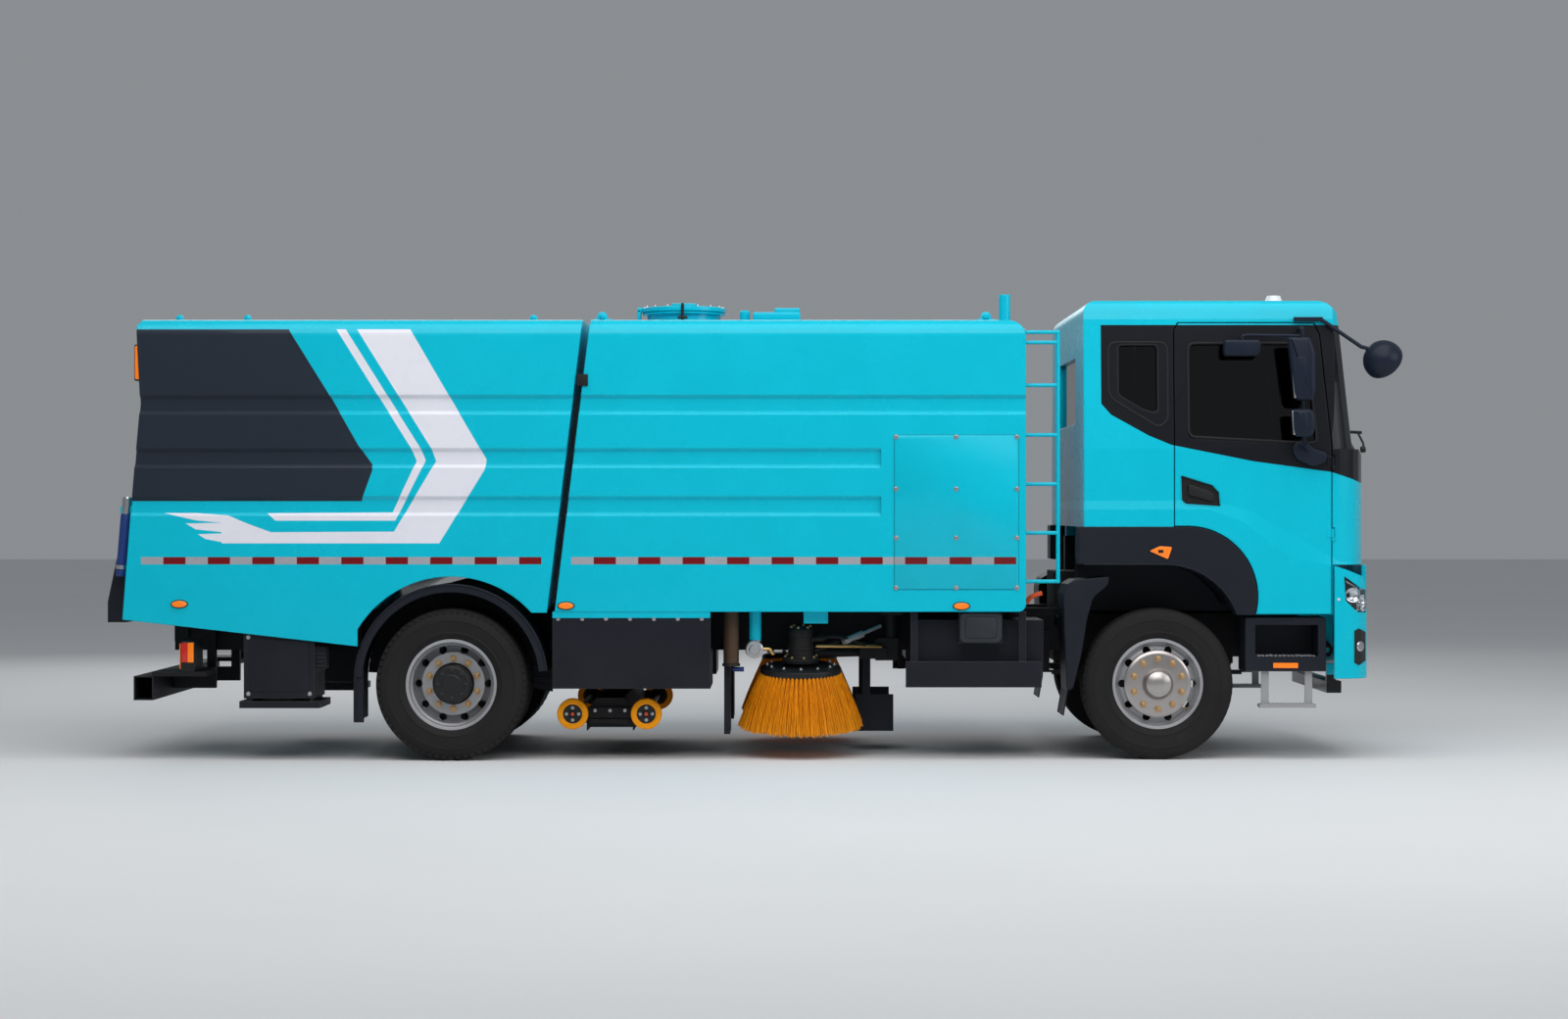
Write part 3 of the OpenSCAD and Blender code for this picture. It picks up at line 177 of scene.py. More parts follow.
def edge_line(tree, value, points):
    """A polyline given as (place, height) pairs, read at value."""
    places = [p[0] for p in points]
    heights = [p[1] for p in points]
    low, high = min(places), max(places)
    bottom, top = min(heights), max(heights)
    part = put(tree, "ShaderNodeMapRange", {0: value, 1: low, 2: high, 3: 0.0, 4: 1.0}).outputs[0]
    node = put(tree, "ShaderNodeFloatCurve", {"Factor": 1.0, "Value": part})
    curve = node.mapping.curves[0]
    while len(curve.points) < len(points):
        curve.points.new(0.5, 0.5)
    for point, (place, height) in zip(curve.points, sorted(points)):
        point.location = ((place - low) / (high - low), (height - bottom) / (top - bottom))
        point.handle_type = "VECTOR"
    node.mapping.update()
    return put(tree, "ShaderNodeMapRange", {0: node.outputs[0], 1: 0.0, 2: 1.0, 3: bottom,
                                            4: top}).outputs[0]


def over(tree, a, b, soft=0.003):
    """1 where a is over b, with a soft step."""
    return calc(tree, "MULTIPLY_ADD", calc(tree, "SUBTRACT", a, b), 1.0 / soft, 0.5, clamp=True)


def both_true(tree, *masks):
    result = masks[0]
    for mask in masks[1:]:
        result = calc(tree, "MULTIPLY", result, mask)
    return result


def any_true(tree, *masks):
    result = masks[0]
    for mask in masks[1:]:
        result = calc(tree, "MAXIMUM", result, mask)
    return result


def within(tree, value, low, high, soft=0.003):
    return both_true(tree, over(tree, value, low, soft), over(tree, high, value, soft))


def new_group(name, inputs, outputs):
    """An empty shader group with named float or colour sockets."""
    group = bpy.data.node_groups.new(name, "ShaderNodeTree")
    kinds = {"f": "NodeSocketFloat", "c": "NodeSocketColor", "v": "NodeSocketVector"}
    for label, kind, value in inputs:
        made = group.interface.new_socket(label, in_out="INPUT", socket_type=kinds[kind])
        if value is not None:
            made.default_value = value
    for label, kind in outputs:
        group.interface.new_socket(label, in_out="OUTPUT", socket_type=kinds[kind])
    return group, group.nodes.new("NodeGroupInput"), group.nodes.new("NodeGroupOutput")


def use_group(tree, group, **inputs):
    node = tree.nodes.new("ShaderNodeGroup")
    node.node_tree = group
    for key, value in inputs.items():
        target = node.inputs[key]
        if isinstance(value, bpy.types.NodeSocket):
            tree.links.new(value, target)
        else:
            target.default_value = value
    return node


def road_film_group():
    """Dust that thickens towards the road, with faint blotches and a fine grain for bumps."""
    group, source, sink = new_group(
        "Road film",
        [("Scale", "f", 3.0), ("Reach", "f", 1.1), ("Amount", "f", 0.4), ("Grain", "f", 260.0)],
        [("Film", "f"), ("Blotch", "f"), ("Grain", "f")])
    vector, _, _, z = axes(group)
    cloud = noise(group, vector, source.outputs["Scale"], 6.0, 0.62)
    spots = noise(group, vector, calc(group, "MULTIPLY", source.outputs["Scale"], 9.0), 3.0, 0.5)
    height = calc(group, "DIVIDE", z, source.outputs["Reach"])
    low = calc(group, "SUBTRACT", 1.0, height, clamp=True)
    low = calc(group, "POWER", low, 1.6)
    mottled = calc(group, "MULTIPLY", ramp(group, cloud, 0.34, 0.72),
                   ramp(group, spots, 0.25, 0.7, 0.45, 1.0))
    film = calc(group, "MULTIPLY", calc(group, "MULTIPLY", low, mottled), source.outputs["Amount"],
                clamp=True)
    fine = noise(group, vector, source.outputs["Grain"], 2.0, 0.5)
    for value, label in ((film, "Film"), (ramp(group, cloud, 0.25, 0.75), "Blotch"), (fine, "Grain")):
        group.links.new(value, sink.inputs[label])
    return group


def soft_edge_group():
    """Rounds the shading of corners and marks them for wear."""
    group, source, sink = new_group("Soft edge", [("Radius", "f", 0.004)], [("Normal", "v"), ("Edge", "f")])
    bevel = put(group, "ShaderNodeBevel", {"Radius": source.outputs["Radius"]}, samples=4)
    flat = put(group, "ShaderNodeNewGeometry").outputs["True Normal"]
    dot = put(group, "ShaderNodeVectorMath", {0: bevel.outputs[0], 1: flat},
              operation="DOT_PRODUCT").outputs["Value"]
    turned = calc(group, "SUBTRACT", 1.0, dot, clamp=True)
    group.links.new(bevel.outputs[0], sink.inputs["Normal"])
    group.links.new(ramp(group, turned, 0.02, 0.22), sink.inputs["Edge"])
    return group


GROUPS = {}


def group_named(name, maker):
    if name not in GROUPS:
        GROUPS[name] = maker()
    return GROUPS[name]


def coated(name, base, rough, metal=0.0, coat=0.0, coat_rough=0.08, film=0.35, film_reach=1.1,
           film_tint=(0.13, 0.115, 0.10),
           edge=0.004, edge_tint=None, edge_wear=0.25, grain=260.0, bump=0.05, mottle=0.08, ior=1.5,
           marks=None,
           glow=None, gloss=0.28):
    """A full surface finish: colour with mottling, road film, edge wear, grain and rounded shading."""
    material = bpy.data.materials.new(name)
    material.use_nodes = True
    tree = material.node_tree
    shader = tree.nodes["Principled BSDF"]
    shader.inputs["Metallic"].default_value = metal
    shader.inputs["Coat Weight"].default_value = coat
    shader.inputs["Coat Roughness"].default_value = coat_rough
    shader.inputs["IOR"].default_value = ior
    shader.inputs["Specular IOR Level"].default_value = gloss
    surface = use_group(tree, group_named("film", road_film_group), Amount=film, Reach=film_reach,
                        Grain=grain)
    corner = use_group(tree, group_named("edge", soft_edge_group), Radius=edge)
    height = surface.outputs["Grain"]
    colour = (*base, 1.0)
    roughness = rough
    turned = corner.outputs["Normal"]
    if marks:
        colour, roughness, extra, *relief = marks(tree, colour, rough)
        if extra is not None:
            height = calc(tree, "ADD", calc(tree, "MULTIPLY", height, 0.25), extra)
        if relief:
            turned = put(tree, "ShaderNodeBump", {"Strength": 1.0, "Distance": 1.0, "Height": relief[0],
                                                  "Normal": turned}).outputs[0]
    dark = blend_colour(tree, 1.0, colour, [1.0 - mottle * 2.2] * 3, "MULTIPLY")
    colour = blend_colour(tree, surface.outputs["Blotch"], dark, colour)
    if edge_tint:
        worn = calc(tree, "MULTIPLY", corner.outputs["Edge"], edge_wear, clamp=True)
        colour = blend_colour(tree, worn, colour, edge_tint)
    colour = blend_colour(tree, surface.outputs["Film"], colour, film_tint)
    tree.links.new(colour, shader.inputs["Base Color"])
    uneven = calc(tree, "MULTIPLY_ADD", surface.outputs["Blotch"], rough * 0.22,
                  calc(tree, "SUBTRACT", roughness, rough * 0.11))
    dusty = calc(tree, "MULTIPLY_ADD", surface.outputs["Film"], 0.45, uneven, clamp=True)
    tree.links.new(dusty, shader.inputs["Roughness"])
    if bump:
        turned = put(tree, "ShaderNodeBump", {"Strength": bump, "Distance": 0.0015, "Height": height,
                                              "Normal": turned}).outputs[0]
    tree.links.new(turned, shader.inputs["Normal"])
    # Emission: lamp light on the lens finishes, and a painted glow (painted light) on the bristle and orange
    # polyurethane finishes, which are no lamps.
    if glow:
        shader.inputs["Emission Color"].default_value = (*glow[0], 1.0)
        shader.inputs["Emission Strength"].default_value = glow[1]
    return material


def clear(name, tint, rough=0.02, ior=1.46, film=0.15):
    """Tinted glass or lens with a trace of dust in its roughness."""
    material = bpy.data.materials.new(name)
    material.use_nodes = True
    tree = material.node_tree
    shader = tree.nodes["Principled BSDF"]
    shader.inputs["Transmission Weight"].default_value = 1.0
    shader.inputs["IOR"].default_value = ior
    shader.inputs["Specular IOR Level"].default_value = 0.04
    surface = use_group(tree, group_named("film", road_film_group), Amount=film, Reach=3.4, Scale=5.0)
    colour = blend_colour(tree, surface.outputs["Film"], (*tint, 1.0),
                          [min(1.0, t * 1.5 + 0.03) for t in tint])
    tree.links.new(colour, shader.inputs["Base Color"])
    tree.links.new(calc(tree, "MULTIPLY_ADD", surface.outputs["Film"], 0.12, rough),
                   shader.inputs["Roughness"])
    return material

# ---- Livery: places are metres ahead of the front axle, heights are metres above the road ----

STRIPE_TOP = 2.862
SLATE_FOOT = 1.723
SLATE_EDGE = [(1.723, -5.292), (1.928, -5.218), (1.967, -5.220), (2.096, -5.313), (2.398, -5.485),
              (2.862, -5.773)]
THIN_BACK = [(1.594, -5.86), (1.6439, -5.915), (1.6443, -5.088), (1.989, -4.926), (2.075, -4.962),
             (2.862, -5.457)]
THIN_FRONT = [(1.594, -5.066), (1.992, -4.866), (2.077, -4.902), (2.862, -5.395)]
WIDE_BACK = [(1.444, -6.150), (1.5188, -6.150), (1.5192, -5.076), (1.988, -4.797), (2.075, -4.829),
             (2.862, -5.320)]
WIDE_FRONT = [(1.444, -4.775), (1.935, -4.473), (1.999, -4.463), (2.107, -4.527), (2.862, -4.968)]
TAIL_TOP = [(-6.598, 1.6446), (-6.389, 1.6446), (-6.174, 1.629), (-6.036, 1.5706), (-5.894, 1.519)]
TAIL_TIPS = [
    (TAIL_TOP, [(-6.598, 1.6446), (-6.389, 1.5965), (-6.217, 1.5797), (-6.2165, 1.444), (-5.894, 1.444)],
     -6.598),
    ([(-6.454, 1.5757), (-6.140, 1.5810)], [(-6.454, 1.5757), (-6.389, 1.5368), (-6.149, 1.511),
                                            (-6.140, 1.444)], -6.454),
    ([(-6.373, 1.504), (-6.140, 1.512)], [(-6.373, 1.504), (-6.324, 1.473), (-6.174, 1.444),
                                          (-6.140, 1.444)], -6.373),
]
TAPE_FOOT, TAPE_HEAD = 1.3045, 1.353
DEBRIS_TAPE = (-6.750, -4.098)
WATER_TAPE = (-3.900, -0.954)
BAND_HEAD = 2.897
BAND_BACK = -0.384
BAND_FOOT = [(-0.384, 2.371), (-0.318, 2.297), (-0.0675, 2.158), (0.084, 2.096), (0.620, 1.989),
             (1.142, 1.917),
             (1.355, 1.850), (1.50, 1.840)]


def ahead_of_axle(tree):
    vector, x, y, z = axes(tree)
    return vector, calc(tree, "SUBTRACT", x, AX), y, z


def between_edges(tree, value, across, back, front):
    """Inside two edge lines, and inside the stretch that they cover."""
    low = max(min(p[0] for p in back), min(p[0] for p in front))
    high = min(max(p[0] for p in back), max(p[0] for p in front))
    return both_true(tree, over(tree, across, edge_line(tree, value, back)),
                     over(tree, edge_line(tree, value, front), across), within(tree, value, low, high))


def livery_group():
    """Masks of the slate block and of the white stripes."""
    group, _, sink = new_group("Livery", [], [("Slate", "f"), ("Stripe", "f")])
    _, x, y, z = ahead_of_axle(group)
    flank = over(group, calc(group, "ABSOLUTE", y), HALF_W - 0.075, 0.01)
    slate = both_true(group, over(group, edge_line(group, z, SLATE_EDGE), x),
                      within(group, z, SLATE_FOOT, STRIPE_TOP), flank)
    bands = [between_edges(group, z, x, THIN_BACK, THIN_FRONT),
             between_edges(group, z, x, WIDE_BACK, WIDE_FRONT)]
    for top, foot, tip in TAIL_TIPS:
        end = max(p[0] for p in top)
        bands.append(both_true(group, over(group, edge_line(group, x, top), z),
                               over(group, z, edge_line(group, x, foot)),
                               within(group, x, tip, end)))
    stripe = both_true(group, any_true(group, *bands), flank)
    group.links.new(slate, sink.inputs["Slate"])
    group.links.new(stripe, sink.inputs["Stripe"])
    return group


def tape_group():
    """Reflective tape along the flanks: where it is, and which squares are the dark ones."""
    group, source, sink = new_group("Reflective tape", [("Back", "f", 0.0), ("Front", "f", 1.0),
                                                        ("Pitch", "f", 0.15)],
                                    [("Tape", "f"), ("Dark", "f"), ("Cells", "f")])
    vector, x, y, z = ahead_of_axle(group)
    flank = over(group, calc(group, "ABSOLUTE", y), HALF_W - 0.03, 0.01)
    tape = both_true(group, within(group, z, TAPE_FOOT, TAPE_HEAD, 0.002),
                     over(group, x, source.outputs["Back"], 0.002),
                     over(group, source.outputs["Front"], x, 0.002), flank)
    step = calc(group, "DIVIDE", calc(group, "SUBTRACT", x, source.outputs["Back"]), source.outputs["Pitch"])
    dark = calc(group, "GREATER_THAN", calc(group, "MODULO", step, 2.0), 1.0)
    cells = put(group, "ShaderNodeTexVoronoi", {"Vector": vector, "Scale": 160.0},
                feature="DISTANCE_TO_EDGE").outputs[0]
    for value, label in ((tape, "Tape"), (dark, "Dark"), (ramp(group, cells, 0.0, 0.12), "Cells")):
        group.links.new(value, sink.inputs[label])
    return group


def add_tape(tree, colour, roughness, stretch, looks, sizes):
    tape = use_group(tree, group_named("tape", tape_group), Back=stretch[0], Front=stretch[1],
                     Pitch=sizes.tape_pitch)
    squares = blend_colour(tree, tape.outputs["Dark"], looks.tape_silver, looks.tape_red)
    squares = blend_colour(tree, tape.outputs["Cells"], blend_colour(tree, 1.0, squares, [0.72] * 3,
                                                                     "MULTIPLY"), squares)
    colour = blend_colour(tree, tape.outputs["Tape"], colour, squares)
    roughness = calc(tree, "MULTIPLY_ADD", tape.outputs["Tape"], 0.12, roughness)
    return colour, roughness, tape.outputs["Tape"]


def debris_marks(looks, sizes):
    def marks(tree, colour, rough):
        livery = use_group(tree, group_named("livery", livery_group))
        colour = blend_colour(tree, livery.outputs["Slate"], colour, looks.slate)
        colour = blend_colour(tree, livery.outputs["Stripe"], colour, looks.stripe)
        rough = calc(tree, "MULTIPLY_ADD", livery.outputs["Slate"], 0.16, rough)
        colour, rough, tape = add_tape(tree, colour, rough, DEBRIS_TAPE, looks, sizes)
        film = calc(tree, "MAXIMUM", livery.outputs["Slate"], livery.outputs["Stripe"])
        return colour, rough, calc(tree, "ADD", calc(tree, "MULTIPLY", film, 0.25), tape)
    return marks


def water_marks(looks, sizes):
    def marks(tree, colour, rough):
        return add_tape(tree, colour, rough, WATER_TAPE, looks, sizes)
    return marks


LEDGE_TOP = [(-0.55, 1.728), (0.36, 1.728), (0.62, 1.655), (0.90, 1.495), (1.20, 1.320)]
LEDGE_FOOT = [(-0.55, 1.668), (0.32, 1.668), (0.55, 1.590), (0.75, 1.440), (0.90, 1.335), (1.20, 1.290)]


def cab_marks(looks):
    def marks(tree, colour, rough):
        _, x, _, z = ahead_of_axle(tree)
        band = both_true(tree, over(tree, z, edge_line(tree, x, BAND_FOOT)), over(tree, BAND_HEAD, z),
                         over(tree, x, BAND_BACK))
        colour = blend_colour(tree, band, colour, looks.pillar)
        top = edge_line(tree, x, LEDGE_TOP)
        drop = calc(tree, "DIVIDE", calc(tree, "SUBTRACT", top, z),
                    calc(tree, "SUBTRACT", top, edge_line(tree, x, LEDGE_FOOT)), clamp=True)
        ledge = calc(tree, "MULTIPLY", calc(tree, "SMOOTH_MAX", drop, 0.0, 0.12), 0.013)
        return colour, calc(tree, "MULTIPLY_ADD", band, 0.02, rough), band, ledge
    return marks


def bristle_marks():
    """Fine streaks along the strands, with paler tips."""
    def marks(tree, colour, rough):
        vector, _, _, z = axes(tree)
        streak = ramp(tree, noise(tree, vector, 120.0, 2.0, 0.6, (1.0, 1.0, 0.06)), 0.32, 0.66)
        colour = blend_colour(tree, streak, blend_colour(tree, 1.0, colour, (0.68, 0.54, 0.4), "MULTIPLY"),
                              colour)
        pale = calc(tree, "MULTIPLY", ramp(tree, z, 0.36, 0.18), 0.35)
        return blend_colour(tree, pale, colour, (1.0, 0.48, 0.02)), rough, None
    return marks


def foot_marks(level, tint):
    """Another colour below a level."""
    def marks(tree, colour, rough):
        _, _, _, z = axes(tree)
        return blend_colour(tree, over(tree, level, z), colour, tint), rough, None
    return marks

# ---- Finishes ----

STEEL = (0.56, 0.56, 0.58)
CHASSIS = (0.014, 0.014, 0.017)
DUST = (0.085, 0.078, 0.068)
BARE = (0.24, 0.23, 0.22)
FINISHES = {}


def enamel(name, looks, marks=None, rough=0.27, **more):
    return coated(name, looks.body, rough, coat=0.16, coat_rough=0.05, film=0.16, film_reach=1.35,
                  film_tint=DUST,
                  gloss=0.16, edge=0.012, bump=0.035, mottle=0.03, grain=34.0, marks=marks, **more)


def make_finishes(looks, sizes):
    """Builds every finish once and keeps it by name."""
    made = {
        "cab_enamel": enamel("Cab enamel", looks, cab_marks(looks)),
        "debris_enamel": enamel("Debris tank enamel", looks, debris_marks(looks, sizes)),
        "water_enamel": enamel("Water tank enamel", looks, water_marks(looks, sizes)),
        "plain_enamel": enamel("Plain enamel", looks),
        "bumper_enamel": enamel("Bumper enamel", looks, foot_marks(0.544, (0.010, 0.011, 0.013))),
        "step_trim": coated("Step moulding", looks.trim, 0.44, film=0.2, film_reach=1.3,
                            film_tint=(0.06, 0.057, 0.054), gloss=0.16,
                            edge=0.008, grain=500.0, bump=0.2, mottle=0.05,
                            marks=foot_marks(0.592, (0.34, 0.34, 0.35))),
        "tyre": coated("Tyre rubber", (0.0155, 0.0145, 0.0150), 0.66, film=0.5, film_reach=1.1,
                       film_tint=(0.036, 0.033, 0.030), gloss=0.18,
                       edge=0.003, grain=520.0, bump=0.25, mottle=0.16),
        "rubber": coated("Black rubber", (0.011, 0.011, 0.012), 0.7, film=0.45, film_tint=DUST, grain=420.0,
                         bump=0.2),
        "chassis": coated("Chassis paint", CHASSIS, 0.5, film=0.4, film_reach=1.2,
                          film_tint=(0.05, 0.045, 0.04), gloss=0.14, edge=0.003,
                          edge_tint=BARE, edge_wear=0.25, grain=190.0, bump=0.18, mottle=0.14),
        "skirt": coated("Skirt paint", (0.0155, 0.0165, 0.023), 0.40, film=0.3, film_reach=1.0,
                        film_tint=(0.05, 0.047, 0.043), gloss=0.13,
                        edge=0.006, edge_tint=BARE, edge_wear=0.3, grain=90.0, bump=0.08),
        "trim": coated("Moulded trim", looks.trim, 0.46, film=0.2, film_reach=1.3,
                       film_tint=(0.06, 0.057, 0.054), gloss=0.16, edge=0.012,
                       grain=620.0, bump=0.22, mottle=0.05),
        "pillar": coated("Gloss black", looks.pillar, 0.24, coat=0.05, gloss=0.08, film=0.03, film_reach=3.0,
                         edge=0.006, bump=0.02),
        "wheel_paint": coated("Wheel paint", (0.46, 0.46, 0.48), 0.36, metal=0.65, film=0.45, film_reach=1.3,
                              film_tint=(0.12, 0.105, 0.09), edge=0.004, edge_tint=(0.62, 0.62, 0.63),
                              edge_wear=0.4,
                              grain=240.0, bump=0.07, mottle=0.1),
        "stainless": coated("Stainless trim", (0.50, 0.465, 0.45), 0.30, metal=1.0, film=0.3, film_reach=1.3,
                            edge=0.004,
                            edge_tint=(0.85, 0.83, 0.81), edge_wear=0.5, grain=300.0, bump=0.05,
                            mottle=0.08),
        "bright": coated("Plated steel", STEEL, 0.28, metal=1.0, film=0.25, edge=0.002, grain=280.0,
                         bump=0.06),
        "nut": coated("Plated nut", looks.nut, 0.34, metal=0.9, film=0.35, film_tint=(0.10, 0.07, 0.045),
                      edge=0.002,
                      edge_tint=(0.85, 0.66, 0.42), edge_wear=0.6, grain=400.0, bump=0.08),
        "glass": clear("Tinted glass", (0.03, 0.028, 0.028)),
        "lens_clear": clear("Lamp lens", (0.92, 0.94, 0.96), 0.03),
        "lens_amber": coated("Amber lens", (0.93, 0.20, 0.005), 0.16, coat=0.6, film=0.15, edge=0.002,
                             grain=900.0, bump=0.25,
                             glow=((1.0, 0.22, 0.0), 0.25)),
        "lens_red": coated("Red lens", (0.56, 0.012, 0.008), 0.16, coat=0.6, film=0.2, edge=0.002,
                           grain=900.0, bump=0.25,
                           glow=((0.8, 0.02, 0.01), 0.12)),
        "beacon": coated("Pale lens", (0.80, 0.82, 0.84), 0.18, coat=0.5, film=0.1, film_reach=4.0,
                         edge=0.004, bump=0.03),
        "reflector": coated("Lamp reflector", (0.82, 0.84, 0.88), 0.12, metal=1.0, film=0.0, edge=0.002,
                            bump=0.02),
        "mirror_shell": coated("Mirror shell", (0.011, 0.017, 0.032), 0.40, coat=0.04, gloss=0.14, film=0.12,
                               film_reach=3.6, edge=0.01,
                               grain=700.0, bump=0.1),
        "mirror_glass": coated("Mirror glass", (0.86, 0.88, 0.9), 0.03, metal=1.0, film=0.05, film_reach=3.6,
                               bump=0.0),
        "seat": coated("Seat cloth", (0.030, 0.030, 0.034), 0.9, film=0.0, edge=0.02, grain=900.0, bump=0.6,
                       mottle=0.2),
        "cabin": coated("Cabin plastic", (0.022, 0.022, 0.025), 0.55, film=0.0, edge=0.008, grain=700.0,
                        bump=0.25),
        # Bristle: the glow is painted light, a faint orange emission that brightens the strands in place of
        # light falling on them.
        "bristle": coated("Bristle", looks.bristle, 0.55, film=0.12, film_reach=0.6,
                          film_tint=(0.30, 0.10, 0.01), edge=0.001,
                          gloss=0.2, grain=300.0, bump=0.05, mottle=0.10, marks=bristle_marks(),
                          glow=((1.0, 0.34, 0.0), 0.025)),
        # Orange polyurethane: the glow is painted light, a faint orange emission that brightens the nozzle
        # wheels in place of light falling on them.
        "orange": coated("Orange polyurethane", looks.bristle, 0.42, glow=((1.0, 0.28, 0.0), 0.04),
                         film=0.15, film_reach=0.7, film_tint=(0.20, 0.09, 0.02),
                         gloss=0.2,
                         edge=0.004, grain=300.0, bump=0.08, mottle=0.1),
        "plate": coated("Black powder coat", (0.012, 0.0125, 0.014), 0.42, film=0.3, film_reach=1.2,
                        film_tint=(0.05, 0.045, 0.038),
                        gloss=0.3, edge=0.004, edge_tint=BARE, edge_wear=0.2, grain=420.0, bump=0.12),
        "cast": coated("Cast iron", (0.030, 0.028, 0.028), 0.58, metal=0.4, film=0.55,
                       film_tint=(0.10, 0.08, 0.06), edge=0.003,
                       edge_tint=BARE, edge_wear=0.4, grain=320.0, bump=0.35, mottle=0.2),
        "rust_pipe": coated("Brown pipe", (0.105, 0.060, 0.035), 0.55, metal=0.3, film=0.4, edge=0.002,
                            grain=340.0, bump=0.25,
                            mottle=0.25),
        "hose_blue": coated("Blue hose", (0.015, 0.050, 0.22), 0.45, film=0.3, film_reach=2.0, edge=0.002,
                            grain=500.0, bump=0.15),
        "grey_cover": coated("Grey cover", (0.026, 0.030, 0.036), 0.5, film=0.25, film_reach=1.3,
                             film_tint=(0.05, 0.047, 0.043), edge=0.006,
                             grain=500.0, bump=0.15),
        "lever": coated("Lever grip", (0.72, 0.085, 0.02), 0.4, film=0.25, film_reach=1.6, edge=0.003,
                        grain=300.0, bump=0.1),
        "brass": coated("Brass fitting", (0.56, 0.36, 0.13), 0.3, metal=1.0, film=0.3, edge=0.002,
                        grain=360.0, bump=0.1),
    }
    FINISHES.update(made)


NODE_FINISH = {
    "chassis_frame": "chassis", "frame_bars": "chassis", "suction_pipe": "chassis", "nozzle_neck": "chassis",
    "front_axle": "chassis", "rear_axle": "chassis", "leaf_springs": "chassis",
    "drive_unit": "cast", "knuckle_right": "cast", "knuckle_left": "cast",
    "front_rim_right": "wheel_paint", "front_rim_left": "wheel_paint",
    "rear_rims_right": "wheel_paint", "rear_rims_left": "wheel_paint",
    "front_tyre_right": "tyre", "front_tyre_left": "tyre", "rear_tyres_right": "tyre",
    "rear_tyres_left": "tyre",
    "cab_shell": "cab_enamel", "door_right": "cab_enamel", "door_left": "cab_enamel",
    "front_bumper": "bumper_enamel",
    "windshield": "glass", "door_glass_right": "glass", "door_glass_left": "glass",
    "cab_side_glass": "glass",
    "seats": "seat", "dashboard": "cabin", "steering_wheel": "cabin", "cab_trims": "trim",
    "boarding_steps": "step_trim",
    "mudguards": "trim", "headlamps": "lens_clear", "tail_lamps": "plate", "roof_beacon": "beacon",
    "mirrors_right": "mirror_shell", "mirrors_left": "mirror_shell", "front_mirror": "mirror_shell",
    "water_tank": "water_enamel", "hatch_lid": "plain_enamel", "access_ladder": "plain_enamel",
    "debris_tank": "debris_enamel", "tailgate": "plain_enamel", "tailgate_spout": "trim",
    "skirt_boxes": "skirt", "side_guards": "skirt", "suction_nozzle": "chassis",
    "nozzle_rollers_front": "orange", "nozzle_rollers_rear": "orange",
    "brush_arm_right": "chassis", "brush_arm_left": "chassis", "brush_head_right": "chassis",
    "brush_head_left": "chassis",
    "side_brush_right": "bristle", "side_brush_left": "bristle", "rear_bumper": "chassis",
    "pipes": "rust_pipe",
}


def finish_node(node, finish):
    """Gives a frame node one of the finishes, in its own material slots."""
    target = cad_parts[node]
    if not target.data.materials:
        target.data.materials.append(FINISHES[finish])
    for slot in target.material_slots:
        slot.material = FINISHES[finish]

# ---- Form helpers: every piece is built in frame coordinates ----


def finish_mesh(bm, name, finish, body, smooth=35.0, recalc=True):
    """Turns a bmesh into a finished piece that rides on a body."""
    if recalc:
        bmesh.ops.recalc_face_normals(bm, faces=bm.faces)
    mesh = bpy.data.meshes.new(name)
    bm.to_mesh(mesh)
    bm.free()
    return place_mesh(mesh, name, finish, body, smooth)


def place_mesh(mesh, name, finish, body, smooth=35.0):
    if len(mesh.materials):
        mesh.materials.clear()
    names = finish if isinstance(finish, (list, tuple)) else [finish]
    for each in names:
        mesh.materials.append(FINISHES[each])
    if smooth:
        mesh.shade_smooth()
        mesh.set_sharp_from_angle(angle=math.radians(smooth))
    piece = bpy.data.objects.new(name, mesh)
    bpy.context.scene.collection.objects.link(piece)
    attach(piece, body)
    return piece


def side_matrix(side):
    """Turns a shape drawn for the right side (-Y) to the other side when needed."""
    return Matrix.Diagonal((1.0, -side, 1.0, 1.0))


def to_side(bm, side):
    """Mirrors to the left side; the right side is how shapes are drawn."""
    if side > 0:
        bmesh.ops.transform(bm, matrix=Matrix.Diagonal((1.0, -1.0, 1.0, 1.0)), verts=bm.verts)
        bmesh.ops.reverse_faces(bm, faces=bm.faces)


def add_block(bm, low, high, round_by=0.0, steps=2, material=0):
    """A box between two corners with rounded edges."""
    low, high = Vector(low), Vector(high)
    made = bmesh.ops.create_cube(bm, size=1.0)["verts"]
    size = high - low
    bmesh.ops.transform(bm, matrix=Matrix.Translation((low + high) / 2) @ Matrix.Diagonal((*size, 1.0)),
                        verts=made)
    faces = {f for v in made for f in v.link_faces}
    for face in faces:
        face.material_index = material
    if round_by:
        edges = list({e for v in made for e in v.link_edges})
        result = bmesh.ops.bevel(bm, geom=edges, offset=min(round_by, min(size) * 0.45), segments=steps,
                                 profile=0.5,
                                 affect="EDGES")
        for face in result["faces"]:
            face.material_index = material
    return made


